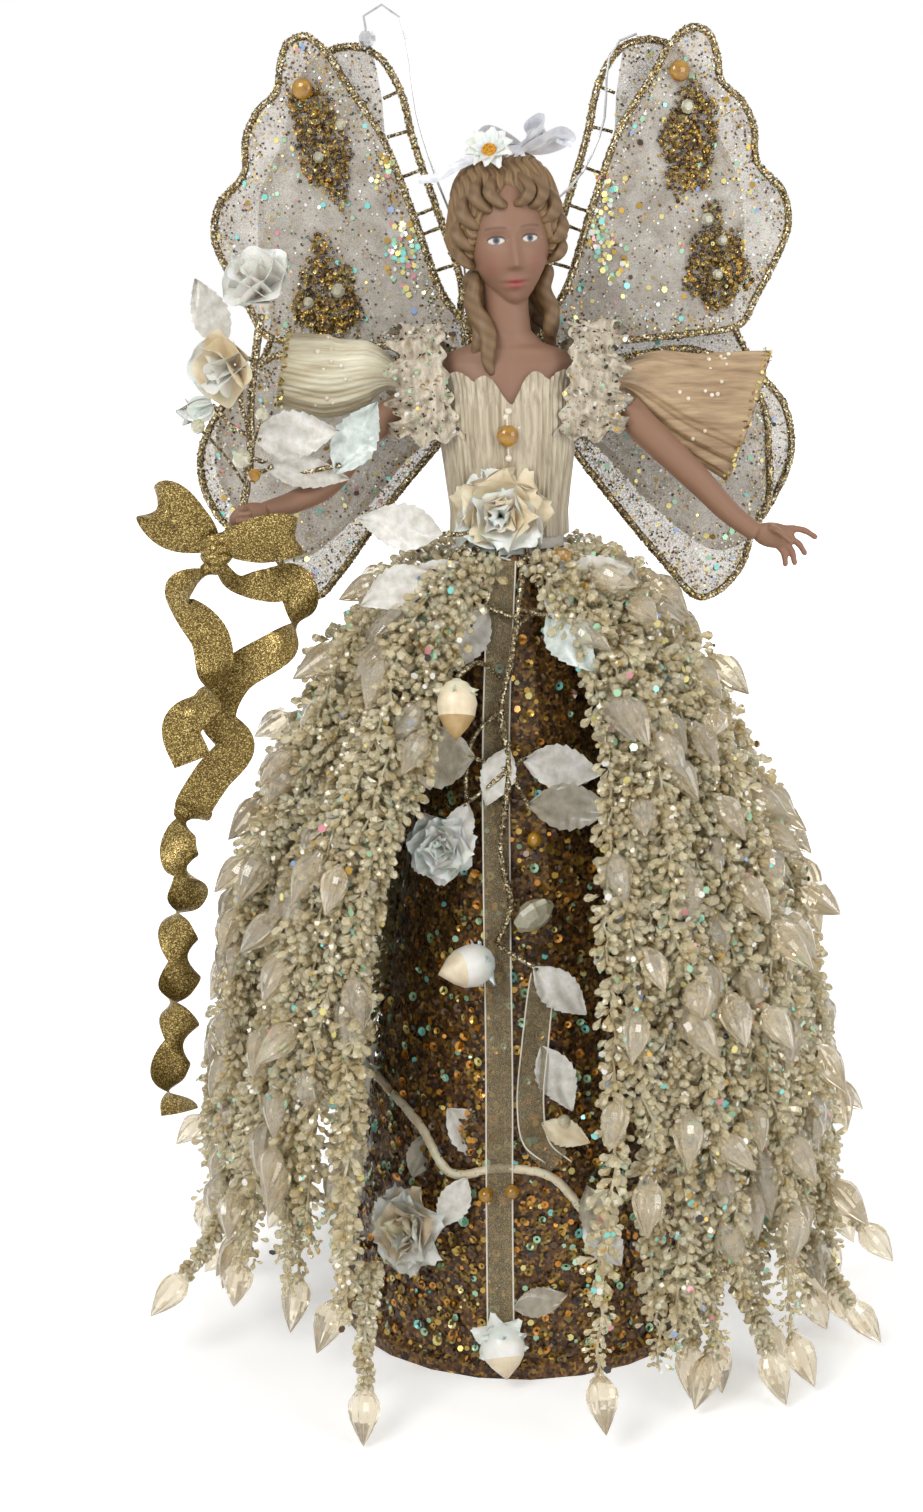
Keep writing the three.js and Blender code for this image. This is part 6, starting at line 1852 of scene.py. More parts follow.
def build_bouquet():
    knot = np.array(knot_place)
    stem = through(knot + np.array(stem_shares) * bouquet_height, 60)
    stems = Heap().merge(rough(stem, bouquet_stem_radius, 101))
    leaves = Heap()
    for k, (start_share, to, long_share, wide_share, heading, lean, kind) in enumerate(bouquet_leaf_shares):
        size = np.array(bouquet_leaf) * (long_share, wide_share)
        towards = np.array([math.cos(math.radians(heading)), 0, math.sin(math.radians(heading))])
        base = bouquet_place(to) - towards * size[0] * 0.3
        start = stem[int(start_share * (len(stem) - 1))]
        stems.merge(twig((start, base + towards * size[0] * 0.12), 20, 102 + k, twig_sag_share))
        leaves.add(*front_leaf(size, base, heading, lean, seed=k), mark=kind)
    for name in ("middle", "bud"):
        stems.merge(twig((stem[len(stem) // 2], bouquet_place(name)), 20, 110, twig_sag_share))
    body = "right_arm_group"
    piece("bouquet_stems", stems, [wire_glitter], body, "gold_wire", "bouquet_stem")
    piece("bouquet_leaves", leaves, [leaf_cloth, leaf_pearly, leaf_aqua], body, "gold_leaf", "bouquet_stem")
    for k, (name, radius, rows, direction, place, ruffle, warm) in enumerate(flowers):
        made = aimed(bloom(radius, rows, 120 + k, ruffle, warm=warm), direction, bouquet_place(place))
        piece(f"{name}_petals", made, [petal_cloth, petal_warm], body, "petal", name)
    gems = Heap()
    spots = knot + np.array(crystal_places)
    facet = spindle(((-1, 0), (-0.35, 0.8), (0.35, 0.8), (1, 0)), 8)
    turned = bases(np.tile((0.3, -1, 0.4), (4, 1)), np.zeros(4), np.array(crystal_sizes))
    gems.scatter(facet, turned, spots, mark=np.array([0, 1, 0, 0]))
    start = stem[18]
    for spot in spots:
        bent = (start + spot) / 2 + crystal_twig_bow
        gems.merge(dyed(tube(through([start, bent, spot], 10), twig_radius * 0.7, 6), 2))
    piece("bouquet_crystals", gems, [clear_gem, amber_glass, wire_glitter], body, "bead")


tail_shares = {
    "short": ((-0.005, -0.012, -0.016), (-0.011, -0.014, -0.034), (-0.062, 0.006, -0.072),
              (-0.016, 0.014, -0.148), (-0.024, 0.018, -0.24), (-0.07, 0.018, -0.285), (-0.055, 0.016, -0.34)),
    "curled": ((0.004, 0, -0.016), (0.008, 0.008, -0.034), (0.026, 0.029, -0.06), (0.075, 0.04, -0.066),
               (0.112, 0.046, -0.065), (0.124, 0.046, -0.095), (0.1, 0.048, -0.155), (0.012, 0.056, -0.215),
               (-0.017, 0.06, -0.28), (0.01, 0.06, -0.325), (-0.03, 0.056, -0.375), (-0.06, 0.05, -0.42)),
}
gather_share = 0.25
curl_drop_share = 0.52
curl_lean_share = 0.05
tail_bow = 0.0006
loop_bow = 0.0008
# Paths of the two loops from the knot, as shares of the ribbon's width, and which way their width lies
loop_shares = (
    (((-0.12, -0.1, 0.2), (-0.5, -0.3, 0.75), (-1.05, -0.4, 1.3), (-1.5, -0.1, 1), (-1.2, 0.15, 0.4),
      (-0.2, 0.12, 0.12)), (0.5, -0.2, 0.85)),
    (((0.15, -0.16, 0.06), (0.7, -0.42, 0.26), (1.5, -0.4, 0.44), (1.95, 0, 0.2), (1.2, 0.1, -0.02),
      (0.2, 0.08, 0.04)), (-0.1, -0.25, 1)),
)
knot_half = (0.0050, 0.0046, 0.0058)
knot_turn_heights = (-0.003, 0.0, 0.003)
knot_turn_slant = 0.0008
knot_turn_width = 0.0046
knot_turn_bow = 0.0012


def tail_strip(path, across, name):
    way = np.linspace(0, 1, len(path))
    width = ribbon_width * mixed(gather_share, 1.0, np.clip(way * 9, 0, 1))
    heap = Heap().add(*strip(path, across, width, 9, bow=tail_bow))
    tail = piece(f"{name}_ribbon", heap, [ribbon_glitter], "ribbon_tails", "gold_ribbon", name)


def build_ribbons():
    knot = np.array(knot_place)
    short = through(knot + np.array(tail_shares["short"]) * ribbon_drop, 90)
    way = np.linspace(0, 1, len(short))
    turn = way * np.pi * 2.2 + 0.4
    across = np.stack([np.cos(turn), np.sin(turn) * 0.25, np.full(len(way), 0.35)], axis=1)
    tail_strip(short, across, "ribbon_tail_short")
    start = knot + np.array(tail_shares["curled"]) * ribbon_drop
    steps = curl_count * 16
    share = np.arange(1, steps + 1) / steps
    turn = share * curl_count * 2 * np.pi
    x, y, z = start[-1]
    helix = np.stack([x - curl_radius * (1 - np.cos(turn)) * 0.5 - ribbon_drop * curl_lean_share * share,
                      y + curl_radius * np.sin(turn) * 0.5, z - ribbon_drop * curl_drop_share * share], axis=1)
    path = through(np.vstack([start, helix]), 260)
    straight = path_length(through(start, 100)) / path_length(path)
    way = np.linspace(0, 1, len(path))
    loose = np.clip(way - straight, 0, 1) / (1 - straight)
    turn = way * np.pi * 2.4 + loose * curl_count * np.pi * 1.4
    lean = np.sin(turn) * (0.25 + loose * 0.3)
    across = np.stack([np.cos(turn), lean, 0.55 * np.clip(way * 4, 0, 1)], axis=1)
    tail_strip(path, across, "ribbon_tail_curled")
    heap = Heap()
    for points, lean in loop_shares:
        path = through(knot + np.array(points) * ribbon_width, 70)
        width = ribbon_width * mixed(0.4, 0.94, np.sin(np.pi * np.linspace(0, 1, 70)) ** 0.4)
        heap.add(*strip(path, np.tile(lean, (70, 1)), width, 9, bow=loop_bow))
    bow = piece("ribbon_bow_loops", heap, [ribbon_glitter], "right_arm_group", "gold_ribbon", "ribbon_bow")
    tie = Heap()
    around = np.linspace(0, 2 * np.pi, 40)
    for k, height in enumerate(knot_turn_heights):
        slant = height + knot_turn_slant * np.sin(around + k)
        ring = knot + np.stack([np.cos(around) * knot_half[0], np.sin(around) * knot_half[1], slant], axis=1)
        tie.add(*strip(ring, np.tile((0, 0, 1.0), (40, 1)), knot_turn_width, 5, bow=knot_turn_bow))
    tie.put(ball(10, 14), knot, knot_half)
    piece("ribbon_knot", tie, [ribbon_glitter], "right_arm_group", "gold_ribbon", "ribbon_bow")


# Skirt

strand_shares = ((0.36, 1.0), (0.5, 0.95), (0.6, 0.885), (0.7, 0.79), (0.84, 0.66), (0.93, 0.5), (0.965, 0.36),
                 (0.975, 0.2), (0.99, 0.07))
drop_shares = ((0, 0), (0.3, 0.42), (0.66, 1.0), (0.92, 0.7), (1.04, 0))
bulb_shares = ((-0.06, 0), (-0.04, 0.22), (0.03, 0.34), (0.10, 0.62), (0.24, 0.95), (0.38, 1.0), (0.56, 0.84),
               (0.76, 0.5), (0.92, 0.18), (1.0, 0))
strand_radius = 0.0006
loose_strand_radius = 0.0007
strand_wander = 0.0010
strand_normal_rise = 0.04
strand_shake = 0.0006
strand_spread = 0.003
strand_outward = 0.005
drop_clear = 0.001
lowest_drop = 0.002
highest_drop = 0.007
lowest_bulb = 0.002
lowest_end_bulb = 0.001
bulb_standoff = 0.0042
caught_lift = 0.0006
# Where the strands of a spray start and end
strand_start_shares = (0.0, 0.16, 0.34, 0.02, 0.24)
strand_end_shares = (1.0, 0.86, 0.95, 0.76, 0.91)
skirt_flakes = "cyan green yellow pink blue white gold dark brown"
skirt_flake_shares = (0.13, 0.17, 0.15, 0.05, 0.04, 0.16, 0.13, 0.11, 0.06)


def skirt_root():
    return (cone_radius(skirt_rise) + seat) / skirt_hem_radius


def skirt_profile():
    """Radius and height down the outside of the skirt."""
    shares = np.array([(skirt_root(), 1.0), *strand_shares])
    return through(shares * (skirt_hem_radius, skirt_rise), 240)


profile = skirt_profile()


def skirt_place(share, way, sink):
    """Places on the skirt: share from 0 to 1 round it, way from the waist to the hem, sink inward."""
    at = np.clip(way, 0, 1) * (len(profile) - 1)
    radius, height = (np.interp(at, np.arange(len(profile)), column) for column in profile.T)
    out = radius / skirt_hem_radius
    opening = np.clip((out - 0.2) * 2.6, 0, 1)
    gap = mixed(skirt_waist_gap_deg, skirt_gap_deg, opening)
    lean = skirt_lean_deg * ramp(out, 0.6, 0.9)
    angle = np.radians(-90 + gap / 2 + (360 - gap) * share - lean)
    radius = radius * mixed(1.0, skirt_back_share, np.clip(np.sin(angle), 0, 1) * (out - skirt_root()))
    least = cone_radius(height) + skirt_clear
    radius = np.maximum(radius - sink, np.minimum(least, radius))
    return np.stack([radius * np.cos(angle), radius * np.sin(angle), height], axis=-1)


def clear_drop():
    """One small drop of the clear plastic strands, full near its outer end."""
    return spindle(np.array(drop_shares) * (drop_length, drop_width / 2), 5)


def flame_bulb(sides=16):
    """A fluted bulb like a flame: full low down, long and narrow to the tip, with a collar."""
    points, faces = spindle(np.array(bulb_shares) * (bulb_length, bulb_radius), sides)
    turn = np.arctan2(points[:, 1], points[:, 0])
    points[:, :2] *= (1 + 0.07 * np.cos(8 * turn))[:, None]
    return points, faces


def strand_path(share, drift, first, last, sink, dice, outward=0.0):
    """A strand's way down the skirt: between two sprays it lies deeper, most of all near the waist."""
    count = max(int((last - first) * path_length(profile) / whorl_step), 6)
    way = np.linspace(first, last, count)
    wander = np.cumsum(dice.normal(0, strand_wander, count))
    across = share + drift * (way - first) + wander
    lobe = np.abs((across * spray_count) % 1 - 0.5) * 2
    sink = sink + strand_reach + spray_lobe * lobe * (1 - ramp(way, 0.45, 0.95))
    sink = sink - outward * ramp(way, 0.55, 1.0)
    return skirt_place(across, way, sink) + dice.normal(0, strand_shake, (count, 3))


def add_drops(heap, drops, path, dice):
    """Whorls of drops round a strand, but none inside the cone. Gives back where they end."""
    along, side, other = carried(path)
    count = len(path) * drops_a_whorl
    at = np.repeat(np.arange(len(path)), drops_a_whorl)
    angle = np.tile(np.arange(drops_a_whorl) * 2 * np.pi / drops_a_whorl, len(path)) + at * 0.9
    angle += dice.normal(0, 0.35, count)
    out = spread(side[at], other[at], angle)
    directions = out * dice.uniform(0.5, 1.1, count)[:, None]
    directions = unit(directions + along[at] * dice.uniform(0.1, 1.0, count)[:, None])
    starts = path[at] + along[at] * dice.uniform(-0.5, 0.5, count)[:, None] * whorl_step
    starts = starts + out * (dice.random(count) ** 3)[:, None] * floret_stray
    thin = mixed(1.0, 0.55, ramp(at / len(path), 0.82, 1.0))
    size = dice.uniform(0.7, 1.25, count) * thin
    ends = starts + directions * drop_length * size[:, None]
    clear = np.hypot(ends[:, 0], ends[:, 1]) > cone_radius(ends[:, 2]) + drop_clear
    keep = clear & (ends[:, 2] > lowest_drop) & (ends[:, 2] < skirt_rise + highest_drop)
    heap.strew(drops, directions[keep], size[keep], starts[keep], 0, dice)
    return ends[keep]


def add_caught_flakes(heap, tips, share, dice):
    """Flakes caught among the drops, in patches down the strand."""
    patches = 0.5 + 0.5 * np.sin(tips[:, 2] * 61 + share * 40 + dice.uniform(0, 6))
    chosen = tips[dice.random(len(tips)) < 0.05 + 0.17 * patches ** 3]
    number = len(chosen)
    lift = unit(chosen * (1, 1, 0))
    marks = 2 + dice.choice(len(skirt_flake_shares), number, p=skirt_flake_shares)
    size = flake_radius * dice.uniform(0.45, 1.3, number)
    directions = lift + dice.normal(0, 0.45, (number, 3))
    heap.strew(flat_disc(6, cup=0.15), directions, size, chosen + lift * caught_lift, marks, dice)


def add_bulbs(heap, bulbs, path, k, dice):
    """Flame bulbs here and there on the outer strands, and at the ends of some."""
    along = unit(np.gradient(path, axis=0))
    normals = unit(path * (1, 1, 0) + (0, 0, strand_normal_rise))
    spots = ()
    if k % len(strand_depths) < 2:
        spots = range(int(dice.integers(4, 22)), len(path) - 4, int(dice.integers(18, 29)))
    for at in spots:
        lean = along[at] * dice.uniform(0.8, 1.2) + normals[at] * dice.uniform(0.0, 0.45)
        lean = unit(lean + dice.normal(0, 0.28, 3))
        place = path[at] + normals[at] * bulb_standoff
        if place[2] + lean[2] * bulb_length > lowest_bulb:
            turned = bases(lean[None], dice.uniform(0, 6, 1), dice.uniform(0.82, 1.08, 1))
            heap.scatter(bulbs, turned, place[None], mark=1)
    lean = unit(along[-1] + normals[-1] * 0.25)
    if k % 5 in (0, 3) and path[-1][2] + lean[2] * bulb_length > lowest_end_bulb:
        heap.aim(bulbs, lean, path[-1], mark=1)


def build_spray(index, dice):
    """One spray: strands of small clear drops, flame bulbs here and there, and flakes caught among them."""
    heap = Heap()
    drops, bulbs = clear_drop(), flame_bulb()
    for k in range(strands_a_spray):
        share = (index + (k + dice.uniform(0.2, 0.8)) / strands_a_spray) / spray_count
        first = strand_start_shares[k % 5] + dice.uniform(0, 0.06)
        last = strand_end_shares[k % 5] + dice.uniform(-0.07, 0.03)
        last = min(last + 0.03 * (index < 3), 0.93 if index in (10, 11) else 1.0)
        sink = strand_depths[k % len(strand_depths)] + dice.uniform(0, strand_spread)
        outward = strand_outward if k % 4 == 0 else 0.0
        path = strand_path(share, dice.uniform(-0.02, 0.02), first, last, sink, dice, outward)
        heap.merge(tube(path, strand_radius, 5))
        tips = add_drops(heap, drops, path, dice)
        add_caught_flakes(heap, tips, share, dice)
        add_bulbs(heap, bulbs, path, k, dice)
    number = f"{index + 1:02d}"
    kinds = [floret_plastic, bulb_plastic, *flakes_of(skirt_flakes)]
    piece(f"skirt_florets_{number}", heap, kinds, "doll", "bead", f"skirt_spray_{number}")


# Single strands that stand out past the hem: their places down the strand, in the part's frame
loose_strands = (
    ((-0.060, -0.098, 0.060), (-0.062, -0.112, 0.040), (-0.0627, -0.119, 0.022)),
    ((-0.116, -0.050, 0.070), (-0.126, -0.056, 0.050), (-0.134, -0.059, 0.040)),
    ((0.112, -0.020, 0.070), (0.128, -0.020, 0.050), (0.138, -0.020, 0.036)),
    ((0.104, -0.050, 0.055), (0.118, -0.058, 0.034), (0.126, -0.060, 0.022)),
    ((0.058, -0.094, 0.050), (0.060, -0.099, 0.034), (0.060, -0.100, 0.026)),
    ((0.078, -0.088, 0.050), (0.086, -0.096, 0.032), (0.089, -0.099, 0.022)),
)
loose_bulb_out = 0.001


def build_loose_strands():
    """Ragged strands at the hem, each ending in a bulb."""
    dice = chance(201)
    heap = Heap()
    for points in loose_strands:
        path = through(points, 16)
        heap.merge(tube(path, loose_strand_radius, 6))
        along, side, other = carried(path)
        count = len(path) * loose_drops
        at = np.repeat(np.arange(len(path)), loose_drops)
        angle = dice.uniform(0, 2 * np.pi, count)
        out = spread(side[at], other[at], angle)
        fade = mixed(1.15, 0.7, at / len(path)) * dice.uniform(0.7, 1.2, count)
        directions = unit(out + along[at] * dice.uniform(0.0, 0.9, count)[:, None])
        heap.scatter(clear_drop(), bases(directions, angle, fade), path[at])
        lean = unit(along[-1] * (1, 1, 0.9))
        heap.aim(flame_bulb(), lean, path[-1] + lean * loose_bulb_out, mark=1)
    piece("skirt_loose_strands", heap, [floret_plastic, bulb_plastic], "doll", "bead")


def build_skirt():
    dice = chance(211)
    for index in range(spray_count):
        build_spray(index, dice)
    build_loose_strands()


# Cone and garland

cone_flakes = "brown gold olive amber green dark yellow cyan"
cone_flake_shares = (0.26, 0.17, 0.22, 0.13, 0.08, 0.09, 0.03, 0.02)
cone_flake_sizes = (0.0007, 0.0015)
cone_flake_lift = 0.0005
cone_sequin_sizes = (0.0012, 0.0021)
cone_sequin_lift = 0.0009
lowest_sequin = 0.002
sequins_below_top = 0.004


def build_cone_sequins():
    """Sequins and flakes glued all over the cone."""
    dice = chance(221)
    heap = Heap()
    for count, shape, sizes, lift in (
            (6400, flat_disc(6), cone_flake_sizes, cone_flake_lift),
            (3600, flat_disc(8, hole=0.34, cup=0.22), cone_sequin_sizes, cone_sequin_lift)):
        height = cone_height * (1 - np.sqrt(dice.random(count)))
        height = np.clip(height, lowest_sequin, cone_height - sequins_below_top)
        angle = dice.uniform(0, 2 * np.pi, count)
        out = np.stack([np.cos(angle), np.sin(angle), np.full(count, 0.16)], axis=1)
        reach = cone_radius(height) + lift
        places = np.stack([reach * np.cos(angle), reach * np.sin(angle), height], axis=1)
        marks = dice.choice(len(cone_flake_shares), count, p=cone_flake_shares)
        size = dice.uniform(*sizes, count)
        heap.strew(shape, out + dice.normal(0, 0.24, (count, 3)), size, places, marks, dice)
    piece("cone_sequins", heap, flakes_of(cone_flakes), "doll", "glittered_card")


garland_shares = {
    "stem": ((0.014, 1, 0.4), (0.006, 0.94, 1), (-0.004, 0.88, 1), (-0.018, 0.82, 1), (-0.01, 0.75, 1),
             (-0.022, 0.65, 1), (-0.012, 0.585, 1), (-0.03, 0.54, 1)),
    "branch": ((-0.018, 0.82, 1), (-0.05, 0.79, 1), (-0.062, 0.74, 1), (-0.06, 0.68, 1)),
    "right": ((0.004, 0.92, 1), (0.04, 0.94, 1), (0.05, 0.9, 1)),
    "left": ((0.003, 0.93, 1), (-0.05, 0.94, 1), (-0.087, 0.868, 1)),
    "sprig": ((-0.19, 0.33, 1), (-0.13, 0.3, 1), (-0.092, 0.25, 1), (-0.03, 0.262, 1), (0.03, 0.25, 1),
              (0.072, 0.2, 1)),
    "bud_twig": ((-0.018, 0.86, 1), (-0.045, 0.885, 0.7 * bud_standoff_share),
                 (-0.070, 0.874, bud_standoff_share)),
}
# Single places, the same way
garland_spot_shares = {
    "blossom": (-0.092, 0.655, 1.25), "bud": (-0.070, 0.872, bud_standoff_share), "calyx": (-0.034, 0.524, 1.1),
    "low_rose": (-0.142, 0.18, 1), "hem": (-0.036, 0.06, 1),
}
# Leaves: across and up as shares of the cone's height, size, heading, lean and kind
garland_leaf_shares = (
    (-0.056, 0.764, 1.3, 176, -36, 1), (-0.061, 0.71, 0.62, 250, 0, 0), (0.006, 0.762, 0.94, -12, 6, 0),
    (0.012, 0.708, 1.0, -4, -6, 1), (0.040, 0.935, 0.92, -52, -24, 2), (0.014, 0.515, 0.84, -44, 6, 0),
    (-0.010, 0.778, 0.74, -112, 10, 0),
)
# Crumpled leaves glued on the cone: across and up, size, heading and kind
cone_leaf_shares = (
    (-0.095, 0.330, 0.9, -48, 0), (0.022, 0.412, 0.86, -66, 0), (0.020, 0.318, 0.62, -24, 2),
    (-0.020, 0.092, 0.66, 12, 1), (0.074, 0.235, 0.8, -70, 1), (-0.140, 0.235, 0.6, 70, 1),
)
waist_leaf_shares = (
    (-0.150, 1.030, 1.0, 168, 10), (-0.180, 0.985, 0.9, 205, -6), (-0.108, 0.995, 1.0, 215, 8),
    (0.062, 0.955, 1.0, -28, 8), (0.098, 0.965, 0.9, 12, -8), (-0.060, 0.945, 0.9, 240, 6),
)
bud_profile_shares = ((0, 0.12), (0.06, 0.5), (0.2, 0.86), (0.4, 1.0), (0.6, 0.9), (0.76, 0.62), (0.9, 0.26),
                      (1.0, 0.02))
twig_grain_sizes = (0.0002, 0.0005)
leaf_twig_inset = 0.002
sprig_leaf_out = (0, -0.002, 0)
flower_rise = 0.012
hem_blossom_lift = 0.0012
hem_bud_from_blossom = (0, -0.001, 0.006)

waist_height = 0.330
waist_leaf_least = 0.020
waist_leaf_standoff = 0.006
waist_twig_sag = (0, 0.001, 0.003)
# Beads and crystal: across, up and how proud they stand, then their sizes and kinds
garland_bead_shares = ((0.06, 1.0, 1.4), (0.019, 0.665, 0.9), (0.048, 0.32, 0.6), (-0.05, 0.235, 0.9),
                       (-0.018, 0.24, 0.9))
garland_bead_sizes = (0.0034, 0.0030, 0.0026, 0.0030, 0.0028)
garland_bead_kinds = (0, 0, 1, 0, 0)
garland_crystal_share = (0.0155, 0.577, 1.2)
garland_crystal_size = 0.0064
bead_stalk_radius = 0.0005
bead_stalk_rise = 0.002

front_ribbon_shares = ((-0.012, 0.995), (-0.024, 0.8), (-0.028, 0.6), (-0.03, 0.4), (-0.034, 0.2),
                       (-0.036, 0.055))
second_ribbon_shares = ((0.028, 0.500), (0.022, 0.47), (0.014, 0.41), (0.007, 0.34), (0.014, 0.292),
                        (0.040, 0.268))
second_ribbon_standoff = 0.0035
sheer_wave = 0.0004
sheer_edge_radius = 0.00035


def garland_place(across, up, proud=1.0, standoff=garland_standoff):
    return before(across * cone_height, up * cone_height, standoff * proud)


def garland_spot(name, standoff=garland_standoff):
    return garland_place(*garland_spot_shares[name], standoff)


def garland_path(name, count, standoff=garland_standoff):
    return through([garland_place(a, b, c, standoff) for a, b, c in garland_shares[name]], count)


def full_bud(length, radius, seed, direction, place):
    """A closed bud of wrapped petals with a pointed tip and a small ragged calyx at its foot."""
    points, face_sets = spindle(np.array(bud_profile_shares) * (length, radius), 30)
    turn = np.arctan2(points[:, 1], points[:, 0])
    way = points[:, 2] / length
    seams = 0.07 * np.abs(np.sin(1.5 * turn + way * 2.6 + seed))
    points[:, :2] *= (1 - seams * np.sin(np.pi * np.clip(way, 0, 1)))[:, None]
    heap = Heap()
    for faces in face_sets:
        tip = points[faces].mean(axis=1)[:, 2] > length * bud_tip_share
        heap.add(points, faces[~tip])
        heap.add(points, faces[tip], mark=1)
    heap.merge(bloom(radius * 1.3, calyx_row_shares, seed, 0.1, 0.7))
    return aimed(heap, direction, place)


def glitter_dots(path, radius, seed):
    """Grains of glitter caught on a twig."""
    dice = chance(seed)
    count = 420
    spots = path[dice.integers(0, len(path), count)] + unit(dice.normal(0, 1, (count, 3))) * radius
    grains = tumbled(dice, count, twig_grain_sizes)
    return Heap().scatter(flat_disc(5), grains, spots, mark=dice.integers(1, 3, count))


def blossom(name, stands_for, radius, rows, direction, place, seed, kinds, ruffle=0.06, point=0.0):
    made = aimed(bloom(radius, rows, seed, ruffle, point, warm=len(kinds) > 1), direction, place)
    piece(name, made, kinds, "doll", "petal", *stands_for)


def build_garland_stems():
    stems, leaves = Heap(), Heap()
    for k, name in enumerate(("stem", "branch", "right", "left")):
        stems.merge(rough(garland_path(name, 60), twig_radius if k else garland_stem_radius, 230 + k, 10))
    stems.merge(rough(garland_path("bud_twig", 24), twig_radius, 239, 8))
    stem_points = [garland_place(a, b, c) for a, b, c in garland_shares["stem"]]
    for k, (across, up, size_share, heading, lean, kind) in enumerate(garland_leaf_shares):
        place = garland_place(across, up, leaf_standoff_shares[kind])
        leaves.add(*cone_leaf(size_share, place, heading, lean, k), mark=kind)
        near = min(stem_points, key=lambda p: abs(p[2] - up * cone_height))
        inner = place + unit(place - near) * leaf_twig_inset
        stems.merge(rough(stepped(np.array([near, inner]), 10), twig_radius, 240 + k, 8))
    piece("garland_stems", stems, [wire_glitter], "doll", "gold_wire", "garland_stem")
    kinds = [leaf_cloth, leaf_sheer, leaf_aqua]
    piece("garland_leaves", leaves, kinds, "doll", "gold_leaf", "garland_stem")


def build_hem_sprig():
    sprig = garland_path("sprig", 90, sprig_standoff)
    stems = rough(sprig, sprig_radius, 250, 10)
    stems.merge(glitter_dots(sprig, sprig_radius, 252))
    leaves = Heap().add(*cone_leaf(0.8, sprig[-1], -58, 10, 9))
    leaves.add(*cone_leaf(0.7, sprig[50] + sprig_leaf_out, -118, 6, 10))
    kinds = [petal_warm, *flakes_of("olive brown")]
    piece("hem_sprig_stem", stems, kinds, "doll", "gold_wire", "hem_sprig")
    piece("hem_sprig_leaves", leaves, [leaf_cloth], "doll", "gold_leaf", "hem_sprig")
    star = sprig[0]
    out = (star[0], star[1], blossom_radius)
    blossom("hem_sprig_star", [], blossom_radius, star_row_shares, out, star, 251, [petal_cloth], 0.05, 0.6)


def build_garland():
    build_garland_stems()
    build_hem_sprig()
    both = [petal_cloth, petal_warm]
    blossom("garland_blossom", [], blossom_radius * 1.15, rose_row_shares, (-0.2, -1, 0.1),
            garland_spot("blossom"), 253, [petal_cloth], 0.07)
    bud = full_bud(bud_length, bud_radius, 254, (-0.04, -0.35, -1), garland_spot("bud"))
    piece("garland_bud_petals", bud, [petal_warm, bud_tan], "doll", "petal", "garland_bud")
    bud = full_bud(bud_length, bud_radius * 1.1, 255, (-1, -0.45, -0.12), garland_spot("calyx"))
    piece("calyx_bud_petals", bud, both, "doll", "petal", "calyx_bud")
    low = garland_spot("low_rose", low_rose_standoff)
    blossom("low_rose_petals", ["low_rose"], rose_low, rose_row_shares, (low[0], low[1], flower_rise), low, 256,
            both, 0.08)
    hem = garland_spot("hem", sheer_standoff + hem_blossom_lift)
    blossom("hem_blossom_petals", ["hem_blossom"], blossom_radius, blossom_row_shares,
            (hem[0], hem[1], flower_rise), hem, 257, [petal_cloth], 0.05)
    bud = full_bud(bud_length * 0.9, bud_radius * 1.15, 258, (0.1, -0.55, -1), hem + hem_bud_from_blossom)
    piece("hem_bud", bud, both, "doll", "petal")
    flat = Heap()
    for k, (across, up, size_share, heading, kind) in enumerate(cone_leaf_shares):
        place = garland_place(across, up, 1, cone_leaf_standoff)
        flat.add(*cone_leaf(size_share, place, heading, 4, 60 + k), mark=kind)
    piece("cone_leaves", flat, [leaf_cloth, leaf_sheer, petal_warm], "doll", "gold_leaf")


def build_waist():
    _, row_depth, forward = figure_at(waist_height)
    front = row_depth + forward + seat * 2 + bodice_cloth + pleat_depth
    place = np.array([-rose_waist * 0.22, -front, waist_height])
    blossom("waist_rose_petals", ["waist_rose"], rose_waist, rose_row_shares, (-0.06, -1, 0.12), place, 261,
            [petal_cloth, petal_warm], 0.09)
    leaves, twigs = Heap(), Heap()
    for k, (across, up, size_share, heading, lean) in enumerate(waist_leaf_shares):
        height = up * cone_height
        depth = max(cone_radius(min(height, cone_height)), waist_leaf_least) + waist_leaf_standoff
        place = np.array([across * cone_height * 0.55, -depth, height])
        size = np.array(garland_leaf) * size_share
        leaves.add(*front_leaf(size, place, heading, lean, 0.2, seed=20 + k))
        start = np.array([0.3 * place[0], -front, waist_height])
        bent = (start + place) / 2 - waist_twig_sag
        twigs.merge(rough(through([start, bent, place], 16), twig_radius, 270 + k, 8))
    piece("waist_leaves", leaves, [leaf_cloth], "doll", "gold_leaf")
    piece("waist_twigs", twigs, [wire_glitter], "doll", "gold_wire")


def build_garland_beads():
    """Beads and one crystal among the garland, each on a short stalk."""
    beads = Heap()
    spots = np.array([garland_place(*row) for row in garland_bead_shares])
    crystal = garland_place(*garland_crystal_share)
    sizes = np.eye(3) * np.array(garland_bead_sizes)[:, None, None]
    beads.scatter(ball(10, 14), sizes, spots, mark=garland_bead_kinds, smooth=True)
    facets = spindle(((-0.75, 0), (-0.5, 0.5), (-0.1, 1.0), (0.15, 1.0), (0.45, 0.6), (0.6, 0)), 9)
    beads.aim(facets, (0.5, -0.6, -0.6), crystal, garland_crystal_size * 1.35, mark=1)
    for spot in (*spots[:2], crystal, *spots[2:]):
        stalk = np.array([spot, spot * (0.93, 0.90, 1) + (0, 0, bead_stalk_rise)])
        beads.merge(tube(stepped(stalk, 6), bead_stalk_radius, 6))
    piece("garland_beads", beads, [amber_glass, clear_gem], "doll", "amber")


